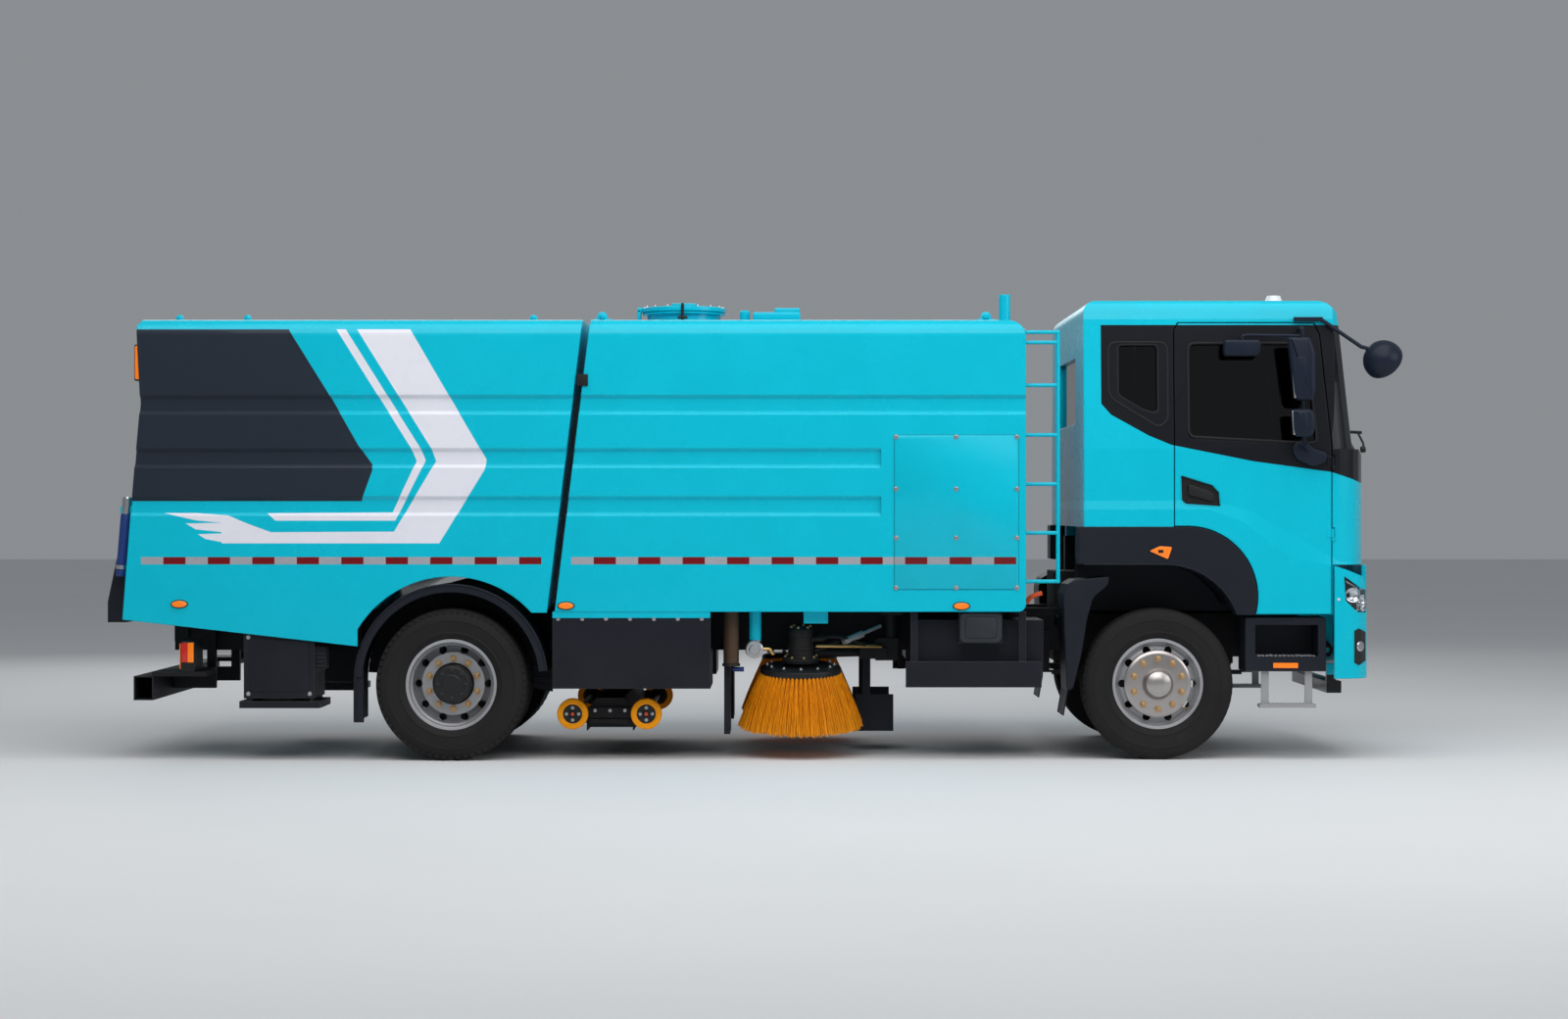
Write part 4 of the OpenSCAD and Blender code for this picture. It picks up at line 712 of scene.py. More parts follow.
def add_prism(bm, outline, axis, start, end, round_by=0.0, steps=2, material=0):
    """An outline drawn in the two other axes, pushed along one axis and rounded at its rims."""
    order = {"x": lambda u, v, w: (w, u, v),
             "y": lambda u, v, w: (u, w, v),
             "z": lambda u, v, w: (u, v, w)}[axis]
    ring_a = [bm.verts.new(order(u, v, start)) for u, v in outline]
    ring_b = [bm.verts.new(order(u, v, end)) for u, v in outline]
    count = len(outline)
    caps = [bm.faces.new(ring_a), bm.faces.new(list(reversed(ring_b)))]
    walls = [bm.faces.new((ring_a[i], ring_b[i], ring_b[(i + 1) % count],
                           ring_a[(i + 1) % count])) for i in range(count)]
    for face in caps + walls:
        face.material_index = material
    bmesh.ops.recalc_face_normals(bm, faces=caps + walls)
    if round_by:
        edges = list({e for cap in caps for e in cap.edges})
        result = bmesh.ops.bevel(bm, geom=edges, offset=round_by, segments=steps, profile=0.5,
                                 affect="EDGES")
        for face in result["faces"]:
            face.material_index = material
    return caps


def frame_of(direction):
    """A turn that takes +Z to a direction."""
    return Vector(direction).to_track_quat("Z", "Y").to_matrix().to_4x4()


def add_lathe(bm, profile, place, direction, steps=48, material=0, closed=False):
    """Turns (radius, height) points about a line through place; ends on the line are closed."""
    turn = Matrix.Translation(place) @ frame_of(direction)
    rings = []
    for radius, height in profile:
        if radius < 1e-6:
            rings.append([bm.verts.new(turn @ Vector((0, 0, height)))])
        else:
            rings.append([bm.verts.new(turn @ Vector((radius * math.cos(a), radius * math.sin(a), height)))
                          for a in (2 * math.pi * i / steps for i in range(steps))])
    pairs = list(zip(rings, rings[1:]))
    if closed:
        pairs.append((rings[-1], rings[0]))
    for lower, upper in pairs:
        for i in range(steps):
            j = (i + 1) % steps
            if len(lower) == 1 and len(upper) == 1:
                continue
            if len(lower) == 1:
                corners = (lower[0], upper[j], upper[i])
            elif len(upper) == 1:
                corners = (lower[i], lower[j], upper[0])
            else:
                corners = (lower[i], lower[j], upper[j], upper[i])
            bm.faces.new(corners).material_index = material
    return rings


def add_disc(bm, radius, start, end, place, direction, round_by=0.002, steps=32, material=0):
    """A closed round bar with softened rims, from start to end along a direction."""
    profile = [(0, start), (radius - round_by, start), (radius, start + round_by), (radius, end - round_by),
               (radius - round_by, end), (0, end)]
    add_lathe(bm, profile, place, direction, steps, material)


def smooth_path(points, steps=6):
    """Catmull-Rom points through a list."""
    points = [Vector(p) for p in points]
    if len(points) < 3:
        return points
    padded = [points[0] * 2 - points[1], *points, points[-1] * 2 - points[-2]]
    path = []
    for a, b, c, d in zip(padded, padded[1:], padded[2:], padded[3:]):
        for i in range(steps):
            t = i / steps
            bend, twist = 2 * a - 5 * b + 4 * c - d, 3 * b - a - 3 * c + d
            path.append(0.5 * ((2 * b) + (c - a) * t + bend * t ** 2 + twist * t ** 3))
    path.append(points[-1])
    return path


def add_tube(bm, points, radius, steps=12, material=0, flat=1.0):
    """A round or flattened bar swept along points, closed at both ends."""
    points = [Vector(p) for p in points]
    rings = []
    up = Vector((0, 0, 1))
    for i, point in enumerate(points):
        ahead = (points[min(i + 1, len(points) - 1)] - points[max(i - 1, 0)]).normalized()
        guide = up if abs(ahead.dot(up)) < 0.95 else Vector((0, 1, 0))
        side = ahead.cross(guide).normalized()
        lift = side.cross(ahead).normalized()
        rings.append([bm.verts.new(point + side * radius * math.cos(a) + lift * radius * flat * math.sin(a))
                      for a in (2 * math.pi * k / steps for k in range(steps))])
    for lower, upper in zip(rings, rings[1:]):
        for k in range(steps):
            m = (k + 1) % steps
            bm.faces.new((lower[k], lower[m], upper[m], upper[k])).material_index = material
    for ring in (list(reversed(rings[0])), rings[-1]):
        bm.faces.new(ring).material_index = material


def arc_points(middle, radius, start, end, steps):
    """Points of an arc in a plane, angles in degrees."""
    return [(middle[0] + radius * math.cos(math.radians(start + (end - start) * i / steps)),
             middle[1] + radius * math.sin(math.radians(start + (end - start) * i / steps)))
            for i in range(steps + 1)]


# ---- Geometry Nodes helpers ----


def new_field(name, inputs):
    """A geometry tree with named inputs; returns the tree, its input node and its output node."""
    tree = bpy.data.node_groups.new(name, "GeometryNodeTree")
    kinds = {"f": "NodeSocketFloat", "i": "NodeSocketInt", "m": "NodeSocketMaterial",
             "v": "NodeSocketVector"}
    tree.interface.new_socket("Geometry", in_out="INPUT", socket_type="NodeSocketGeometry")
    for label, kind in inputs:
        tree.interface.new_socket(label, in_out="INPUT", socket_type=kinds[kind])
    tree.interface.new_socket("Geometry", in_out="OUTPUT", socket_type="NodeSocketGeometry")
    return tree, tree.nodes.new("NodeGroupInput"), tree.nodes.new("NodeGroupOutput")


def close_field(tree, source, sink, geometry):
    """Every tree ends in Realize Instances and Set Material."""
    solid = put(tree, "GeometryNodeRealizeInstances", {0: geometry}).outputs[0]
    dressed = put(tree, "GeometryNodeSetMaterial", {0: solid,
                                                    "Material": source.outputs["Material"]}).outputs[0]
    tree.links.new(dressed, sink.inputs[0])
    return tree


def grow(tree, base_mesh, name, finish, body, values, smooth=35.0):
    """Runs a geometry tree on a base mesh and keeps the result as a plain piece."""
    holder = bpy.data.objects.new(name + "_seed", base_mesh)
    bpy.context.scene.collection.objects.link(holder)
    modifier = holder.modifiers.new("Grow", "NODES")
    modifier.node_group = tree
    sockets = {item.name: item.identifier for item in tree.interface.items_tree if item.in_out == "INPUT"}
    for label, value in {**values, "Material": FINISHES[finish]}.items():
        modifier[sockets[label]] = value
    bpy.context.view_layer.update()
    graph = bpy.context.evaluated_depsgraph_get()
    mesh = bpy.data.meshes.new_from_object(holder.evaluated_get(graph), depsgraph=graph)
    bpy.data.objects.remove(holder)
    if not mesh.polygons:
        raise RuntimeError(f"{name} came out empty")
    mesh.name = name
    return place_mesh(mesh, name, finish, body, smooth)


def seed_points(places, normals):
    """Loose points that carry the direction in which each copy stands."""
    mesh = bpy.data.meshes.new("seed_points")
    mesh.from_pydata([tuple(p) for p in places], [], [])
    facing = mesh.attributes.new("facing", "FLOAT_VECTOR", "POINT")
    facing.data.foreach_set("vector", [value for n in normals for value in n])
    return mesh


def bolt_field():
    """Bolt heads, with a washer under each, standing on points."""
    tree, source, sink = new_field("Bolt heads", [("Width", "f"), ("Height", "f"), ("Sides", "i"),
                                                  ("Material", "m")])
    half = calc(tree, "MULTIPLY", source.outputs["Width"], 0.5774)
    head = put(tree, "GeometryNodeMeshCone", {"Vertices": source.outputs["Sides"],
                                              "Radius Top": calc(tree, "MULTIPLY", half, 0.86),
                                              "Radius Bottom": half, "Depth": source.outputs["Height"]},
               fill_type="NGON").outputs[0]
    seat = put(tree, "GeometryNodeMeshCylinder", {"Vertices": 16,
                                                  "Radius": calc(tree, "MULTIPLY", half, 1.32),
                                                  "Depth": calc(tree, "MULTIPLY", source.outputs["Height"],
                                                                0.3)}).outputs[0]
    joined = tree.nodes.new("GeometryNodeJoinGeometry")
    tree.links.new(head, joined.inputs[0])
    tree.links.new(seat, joined.inputs[0])
    facing = put(tree, "GeometryNodeInputNamedAttribute", {"Name": "facing"},
                 data_type="FLOAT_VECTOR").outputs[0]
    turn = put(tree, "FunctionNodeAlignRotationToVector", {"Vector": facing}, axis="Z").outputs[0]
    spread = put(tree, "GeometryNodeInstanceOnPoints", {"Points": source.outputs[0],
                                                        "Instance": joined.outputs[0],
                                                        "Rotation": turn}).outputs[0]
    return close_field(tree, source, sink, spread)


def bolts(name, places, normals, body, width, height, finish="bright", sides=6):
    """A set of bolt heads as one piece."""
    tree = group_named("bolts", bolt_field)
    values = {"Width": width, "Height": height, "Sides": sides}
    return grow(tree, seed_points(places, normals), name, finish, body, values, smooth=30.0)

# ---- Wheels ----

NUT_DEPTH_FRONT = 0.108
NUT_DEPTH_REAR = -0.020
TWIN_GAP = 0.312


def tyre_profile(depth, grooves):
    """Half-open section of a tyre as (radius, height across), from bead to bead over the tread."""
    r, w = TYRE_R, TYRE_W / 2
    bead = 0.2863
    side = [(bead, w - 0.030), (bead + 0.012, w - 0.0285), (bead + 0.018, w - 0.021),
            (bead + 0.030, w - 0.012),
            (bead + 0.050, w - 0.0042), (bead + 0.056, w - 0.0010), (bead + 0.062, w - 0.0010),
            (bead + 0.066, w - 0.0030),
            (r - 0.125, w - 0.0006), (r - 0.085, w - 0.0010), (r - 0.082, w + 0.0012),
            (r - 0.076, w + 0.0012),
            (r - 0.073, w - 0.0012), (r - 0.050, w - 0.0055), (r - 0.030, w - 0.0130),
            (r - 0.012, w - 0.0235),
            (r - 0.004, w - 0.0350)]
    tread = []
    crown = w - 0.0350
    for middle, half in grooves:
        for offset, sink in ((half, 0.0), (half * 0.55, depth), (-half * 0.55, depth), (-half, 0.0)):
            across = middle + offset
            top = r - 0.0045 * (abs(across) / crown) ** 2
            tread.append((top - sink, across))
    return side + tread + [(radius, -across) for radius, across in reversed(side)]


def lug_field():
    """Lugs standing round the shoulder of a tyre; the seed points carry the outward direction."""
    tree, source, sink = new_field("Shoulder lugs", [("Length", "f"), ("Width", "f"), ("Height", "f"),
                                                     ("Material", "m")])
    size = put(tree, "ShaderNodeCombineXYZ", {0: source.outputs["Width"], 1: source.outputs["Length"],
                                              2: source.outputs["Height"]}).outputs[0]
    lug = put(tree, "GeometryNodeMeshCube", {"Size": size}).outputs[0]
    facing = put(tree, "GeometryNodeInputNamedAttribute", {"Name": "facing"},
                 data_type="FLOAT_VECTOR").outputs[0]
    turn = put(tree, "FunctionNodeAlignRotationToVector", {"Vector": facing}, axis="Z").outputs[0]
    upright = put(tree, "FunctionNodeAlignRotationToVector", {"Rotation": turn, "Vector": (0.0, 1.0, 0.0)},
                  axis="Y",
                  pivot_axis="Z").outputs[0]
    spread = put(tree, "GeometryNodeInstanceOnPoints", {"Points": source.outputs[0], "Instance": lug,
                                                        "Rotation": upright}).outputs[0]
    return close_field(tree, source, sink, spread)


def make_tyre(bm, middle, side, grooves, depth):
    profile = tyre_profile(depth, grooves)
    add_lathe(bm, profile, middle, (0, side, 0), 96, closed=True)


def rib_grooves(count, reach, half):
    """Grooves spread evenly over the tread, as (place across, half width) from one shoulder to the other."""
    return [(reach - 2 * reach * i / (count - 1), half) for i in range(count)]


def tread_seeds(middle, count, rows):
    """Places and directions of lugs: rows are (place across, radius, shift of a share of one step)."""
    places, facings = [], []
    for across, radius, shift in rows:
        for i in range(count):
            angle = 2 * math.pi * (i + shift) / count
            out = Vector((math.cos(angle), 0, math.sin(angle)))
            places.append(Vector(middle) + out * radius + Vector((0, across, 0)))
            facings.append(out)
    return places, facings


class SWEEPER_OT_tyres(bpy.types.Operator):
    """Front tyres with ribs and rear twin tyres with lugs"""
    bl_idname = "sweeper.tyres"
    bl_label = "Tyres"

    def execute(self, context):
        sizes = context.scene.sweeper_sizes
        depth, lugs = sizes.tread_depth, sizes.tread_lugs
        lug_tree = group_named("lugs", lug_field)
        shoulder = TYRE_W / 2 - 0.047
        for label, side in SIDES.items():
            middle = Vector((AX, side * span("front_tyre_left")[2].y, TYRE_R))
            bm = bmesh.new()
            make_tyre(bm, middle, side, rib_grooves(5, 0.078, 0.0065), depth)
            piece = finish_mesh(bm, f"ribbed_tyre_{label}", "tyre", f"front_wheel_{label}",
                                28.0)
            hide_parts(f"front_tyre_{label}")
            places, facings = tread_seeds(middle, lugs, [(s * (shoulder + 0.012), TYRE_R - 0.0165,
                                                          0.25 * s) for s in (-1, 1)])
            grow(lug_tree, seed_points(places, facings), f"shoulder_sipes_{label}", "tyre",
                 f"front_wheel_{label}",
                 {"Length": 0.024, "Width": 0.019, "Height": 0.022}, 20.0)
            outer = span(f"rear_tyres_{label}")
            edge = outer[0].y if side < 0 else outer[1].y
            bm = bmesh.new()
            places, facings = [], []
            for k in range(2):
                centre = Vector((RX, edge - side * (TYRE_W / 2 + k * TWIN_GAP), TYRE_R))
                make_tyre(bm, centre, side, rib_grooves(4, 0.072, 0.0075), depth)
                rows = [(a, TYRE_R - depth / 2 - 0.0035, s) for a,
                        s in ((-0.112, 0.0), (-0.048, 0.5), (0.048, 0.0), (0.112, 0.5))]
                rows = [(across, radius - (0.011 if abs(across) > 0.1 else 0.0), shift) for across, radius,
                        shift in rows]
                made = tread_seeds(centre, lugs, rows)
                places += made[0]
                facings += made[1]
            piece = finish_mesh(bm, f"twin_tyres_{label}", "tyre", f"rear_wheel_{label}",
                                28.0)
            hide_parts(f"rear_tyres_{label}")
            grow(lug_tree, seed_points(places, facings), f"drive_lugs_{label}", "tyre",
                 f"rear_wheel_{label}",
                 {"Length": 0.034, "Width": 0.027, "Height": 0.021}, 20.0)
        return {"FINISHED"}


def wheel_ring(middle, radius, across, count, turn=0.0):
    return [Vector((middle.x + radius * math.cos(turn + 2 * math.pi * i / count), middle.y + across,
                    middle.z + radius * math.sin(turn + 2 * math.pi * i / count))) for i in range(count)]


class SWEEPER_OT_wheel_fittings(bpy.types.Operator):
    """Wheel nuts, trim discs, hub caps and valves"""
    bl_idname = "sweeper.wheel_fittings"
    bl_label = "Wheel fittings"

    def execute(self, context):
        sizes = context.scene.sweeper_sizes
        half_turn = math.pi / sizes.nut_count
        for label, side in SIDES.items():
            front = Vector((AX, side * span("front_tyre_left")[2].y, TYRE_R))
            edge = span(f"rear_tyres_{label}")[0 if side < 0 else 1].y
            rear = Vector((RX, edge - side * TYRE_W / 2, TYRE_R))
            for name, middle, depth in (("front", front, NUT_DEPTH_FRONT), ("rear", rear, NUT_DEPTH_REAR)):
                body = f"{name}_wheel_{label}"
                out = (0, side, 0)
                face = middle + Vector((0, side * (depth + 0.0005), 0))
                bm = bmesh.new()
                if name == "front":
                    add_lathe(bm, [(0.205, -0.004), (0.2215, -0.012), (0.2235, -0.007), (0.2215, 0.002),
                                   (0.208, 0.0095),
                                   (0.196, 0.0115), (0.140, 0.0115), (0.128, 0.0135), (0.104, 0.0135),
                                   (0.098, 0.010),
                                   (0.086, 0.006), (0.086, -0.004)], face, out, 96, closed=True)
                    finish_mesh(bm, f"trim_disc_{label}", "stainless", body, 30.0)
                    bm = bmesh.new()
                    add_lathe(bm, [(0.086, 0.001), (0.086, 0.050), (0.083, 0.060), (0.075, 0.066),
                                   (0.052, 0.070),
                                   (0.046, 0.0735), (0.0, 0.0745)], face, out, 64)
                    add_lathe(bm, [(0.0, 0.001), (0.086, 0.001)], face, out, 64)
                    bmesh.ops.remove_doubles(bm, verts=bm.verts, dist=1e-5)
                    finish_mesh(bm, f"hub_cap_front_{label}", "stainless", body, 30.0)
                else:
                    add_lathe(bm, [(0.0, 0.116), (0.060, 0.116), (0.066, 0.1125), (0.112, 0.1125),
                                   (0.1195, 0.107), (0.1235, 0.096),
                                   (0.1275, 0.060), (0.1275, 0.014), (0.132, 0.006), (0.140, 0.001),
                                   (0.140, -0.003), (0.0, -0.003)],
                              face, out, 72)
                    finish_mesh(bm, f"hub_cap_rear_{label}", "plate", body, 30.0)
                    count = 8
                    places = wheel_ring(face, 0.092, side * 0.1135, count)
                    bolts(f"hub_bolts_rear_{label}", places, [out] * count, body, 0.018, 0.010, "plate")
                lift = 0.0115 if name == "front" else 0.0
                nut_tree = group_named("nuts", nut_field)
                ring = wheel_ring(face, sizes.nut_circle, side * lift, sizes.nut_count, half_turn)
                grow(nut_tree, seed_points(ring, [out] * len(ring)), f"wheel_nuts_{name}_{label}", "nut",
                     body,
                     {"Width": sizes.nut_size, "Height": 0.031}, 30.0)
                bm = bmesh.new()
                stem = face + Vector((0.19, 0, -0.165))
                add_tube(bm, smooth_path([stem + Vector((0.03, -side * 0.045, -0.03)),
                                          stem + Vector((0.0, -side * 0.005, 0.0)),
                                          stem + Vector((-0.016, side * 0.030, 0.012))]), 0.0045, 10)
                finish_mesh(bm, f"valve_{name}_{label}", "brass", body)
        return {"FINISHED"}


def nut_field():
    """Domed wheel nuts with a flanged washer and a stud end."""
    tree, source, sink = new_field("Wheel nuts", [("Width", "f"), ("Height", "f"), ("Material", "m")])
    width, height = source.outputs["Width"], source.outputs["Height"]
    shapes = tree.nodes.new("GeometryNodeJoinGeometry")
    for sides, share, tall, lift, top in ((24, 0.70, 0.16, 0.0, 1.0), (6, 0.5774, 0.72, 0.12, 0.92),
                                          (20, 0.36, 0.30, 0.80, 0.8)):
        foot = calc(tree, "MULTIPLY", width, share)
        part = put(tree, "GeometryNodeMeshCone", {"Vertices": sides, "Radius Bottom": foot,
                                                  "Radius Top": calc(tree, "MULTIPLY", foot, top),
                                                  "Depth": calc(tree, "MULTIPLY", height, tall)},
                   fill_type="NGON").outputs[0]
        raised = put(tree, "ShaderNodeCombineXYZ", {2: calc(tree, "MULTIPLY", height, lift)}).outputs[0]
        moved = put(tree, "GeometryNodeTransform", {0: part, "Translation": raised}).outputs[0]
        tree.links.new(moved, shapes.inputs[0])
    facing = put(tree, "GeometryNodeInputNamedAttribute", {"Name": "facing"},
                 data_type="FLOAT_VECTOR").outputs[0]
    turn = put(tree, "FunctionNodeAlignRotationToVector", {"Vector": facing}, axis="Z").outputs[0]
    spread = put(tree, "GeometryNodeInstanceOnPoints", {"Points": source.outputs[0],
                                                        "Instance": shapes.outputs[0],
                                                        "Rotation": turn}).outputs[0]
    return close_field(tree, source, sink, spread)

# ---- Side brushes, nozzle and its wheels ----

BRUSH_X, BRUSH_Y, PLATE_Z = RX + 2.321, 0.858, 0.590
BRUSH_LEAN = math.radians(6.0)
NOZZLE_X = RX + 1.040


def bristle_field():
    """Sweeps thin strands along loose edges and scatters their feet."""
    tree, source, sink = new_field("Bristles", [("Width", "f"), ("Scatter", "f"), ("Seed", "i"),
                                                ("Material", "m")])
    share = put(tree, "GeometryNodeInputNamedAttribute", {"Name": "share"}, data_type="FLOAT").outputs[0]
    strand = put(tree, "GeometryNodeInputNamedAttribute", {"Name": "strand"}, data_type="INT").outputs[0]
    wander = put(tree, "FunctionNodeRandomValue", {"Min": (-1.0, -1.0, -1.0), "Max": (1.0, 1.0, 1.0),
                                                   "ID": strand,
                                                   "Seed": source.outputs["Seed"]},
                 data_type="FLOAT_VECTOR").outputs[0]
    reach = calc(tree, "MULTIPLY", calc(tree, "POWER", share, 1.5), source.outputs["Scatter"])
    offset = put(tree, "ShaderNodeVectorMath", {0: wander, "Scale": reach}, operation="SCALE").outputs[0]
    moved = put(tree, "GeometryNodeSetPosition", {0: source.outputs[0], "Offset": offset}).outputs[0]
    lines = put(tree, "GeometryNodeMeshToCurve", {0: moved}).outputs[0]
    half = calc(tree, "MULTIPLY", source.outputs["Width"], 0.5)
    ring = put(tree, "GeometryNodeCurvePrimitiveCircle", {"Resolution": 4, "Radius": half}).outputs[0]
    swept = put(tree, "GeometryNodeCurveToMesh", {"Curve": lines, "Profile Curve": ring,
                                                  "Fill Caps": True}).outputs[0]
    return close_field(tree, source, sink, swept)


def bristle_seeds(count, turn):
    """Strands in tufts on three rings of the brush plate, as polylines from root to foot."""
    places, edges, shares, strands = [], [], [], []
    rings = [(0.262, 0.392, 60), (0.236, 0.358, 54), (0.208, 0.316, 48)]
    per_tuft = max(1, count // sum(ring[2] for ring in rings))
    stops = (0.0, 0.3, 0.65, 1.0)
    number = 0
    for row, (root, foot, tufts) in enumerate(rings):
        for tuft in range(tufts):
            for k in range(per_tuft):
                spin = 2 * math.pi * k * 0.381966
                spread = math.sqrt((k + 0.5) / per_tuft)
                angle = 2 * math.pi * (tuft + 0.33 * row) / tufts
                out = spread * math.cos(spin)
                across = spread * math.sin(spin)
                for stop in stops:
                    sweep = stop + 0.07 * math.sin(math.pi * stop)
                    radius = root + (foot - root) * sweep + out * (0.008 + 0.017 * stop)
                    around = angle + across * (0.008 / root + (2.55 / tufts) * stop)
                    depth = -0.012 - 0.378 * stop * (1.0 - 0.025 * abs(out))
                    places.append(turn @ Vector((radius * math.cos(around), radius * math.sin(around),
                                                 depth)))
                    shares.append(stop)
                    strands.append(number)
                first = len(places) - len(stops)
                edges += [(first + i, first + i + 1) for i in range(len(stops) - 1)]
                number += 1
    mesh = bpy.data.meshes.new("bristle_seeds")
    mesh.from_pydata([tuple(p) for p in places], edges, [])
    mesh.attributes.new("share", "FLOAT", "POINT").data.foreach_set("value", shares)
    mesh.attributes.new("strand", "INT", "POINT").data.foreach_set("value", strands)
    return mesh


class SWEEPER_OT_side_brushes(bpy.types.Operator):
    """Bristle rings, brush plates and their motors"""
    bl_idname = "sweeper.side_brushes"
    bl_label = "Side brushes"

    def execute(self, context):
        sizes = context.scene.sweeper_sizes
        tree = group_named("bristles", bristle_field)
        for label, side in SIDES.items():
            turn = side_matrix(side) @ Matrix.Translation((BRUSH_X, -BRUSH_Y,
                                                           PLATE_Z)) @ Matrix.Rotation(BRUSH_LEAN, 4, "X")
            place = turn @ Vector((0, 0, 0))
            up = (turn @ Vector((0, 0, 1))) - place
            body, head = f"brush_{label}", f"head_{label}"
            strands = grow(tree, bristle_seeds(sizes.bristle_count, turn), f"bristles_{label}", "bristle",
                           body,
                           {"Width": sizes.bristle_width, "Scatter": 0.014, "Seed": 11},
                           0.0)
            bm = bmesh.new()
            add_lathe(bm, [(0.0, 0.044), (0.066, 0.044), (0.072, 0.040), (0.094, 0.026), (0.190, 0.022),
                           (0.205, 0.030),
                           (0.226, 0.030), (0.240, 0.022), (0.262, 0.019), (0.271, 0.013), (0.2745, 0.004),
                           (0.2745, -0.020),
                           (0.268, -0.030), (0.250, -0.034), (0.060, -0.034), (0.0, -0.034)], place, up, 96)
            plate = finish_mesh(bm, f"brush_plate_{label}", "plate", body, 30.0)
            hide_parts(f"side_brush_{label}")
            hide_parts(f"side_brush_{label}")
            ring = [turn @ Vector((0.226 * math.cos(a), 0.226 * math.sin(a), 0.032)) for a in
                    (2 * math.pi * i / 12 for i in range(12))]
            ring += [turn @ Vector((0.048 * math.cos(a), 0.048 * math.sin(a), 0.044)) for a in
                     (2 * math.pi * (i + 0.5) / 6 for i in range(6))]
            bolts(f"plate_bolts_{label}", ring, [up] * len(ring), body, 0.019, 0.012, "bright")
            # motor dressing on the head
            bm = bmesh.new()
            base = turn @ Vector((0, 0, 0.074))
            add_lathe(bm, [(0.122, 0.0), (0.122, 0.010), (0.112, 0.014), (0.090, 0.014), (0.084, 0.024),
                           (0.084, 0.060),
                           (0.090, 0.068), (0.090, 0.082), (0.084, 0.090), (0.080, 0.150), (0.086, 0.158),
                           (0.086, 0.186),
                           (0.078, 0.205), (0.060, 0.214), (0.0, 0.214)], base, up, 40)
            for dy in (-0.02, 0.034):
                start = turn @ Vector((0.075, dy, 0.205))
                end = turn @ Vector((0.135, dy, 0.212))
                add_tube(bm, [start, end], 0.017, 12)
                add_tube(bm, [turn @ Vector((0.128, dy, 0.211)), turn @ Vector((0.158, dy, 0.214))], 0.022,
                         6)
            finish_mesh(bm, f"brush_motor_{label}", "cast", head, 30.0)
            ring = [turn @ Vector((0.106 * math.cos(a), 0.106 * math.sin(a), 0.088)) for a in
                    (2 * math.pi * (i + 0.25) / 8 for i in range(8))]
            ring += [turn @ Vector((0.066 * math.cos(a), 0.066 * math.sin(a), 0.288)) for a in
                     (2 * math.pi * (i + 0.25) / 6 for i in range(6))]
            bolts(f"motor_bolts_{label}", ring, [up] * len(ring), head, 0.016, 0.010, "nut")
            bm = bmesh.new()
            for dy in (-0.02, 0.034):
                path = [turn @ Vector((0.150, dy, 0.213)), turn @ Vector((0.20, dy, 0.225)),
                        turn @ Vector((0.27, dy + 0.02, 0.215)),
                        turn @ Vector((0.36, dy + 0.07, 0.185)), turn @ Vector((0.44, dy + 0.13, 0.150))]
                add_tube(bm, smooth_path(path, 6), 0.0105, 12)
            finish_mesh(bm, f"motor_hoses_{label}", "rubber", head, 40.0)
        return {"FINISHED"}


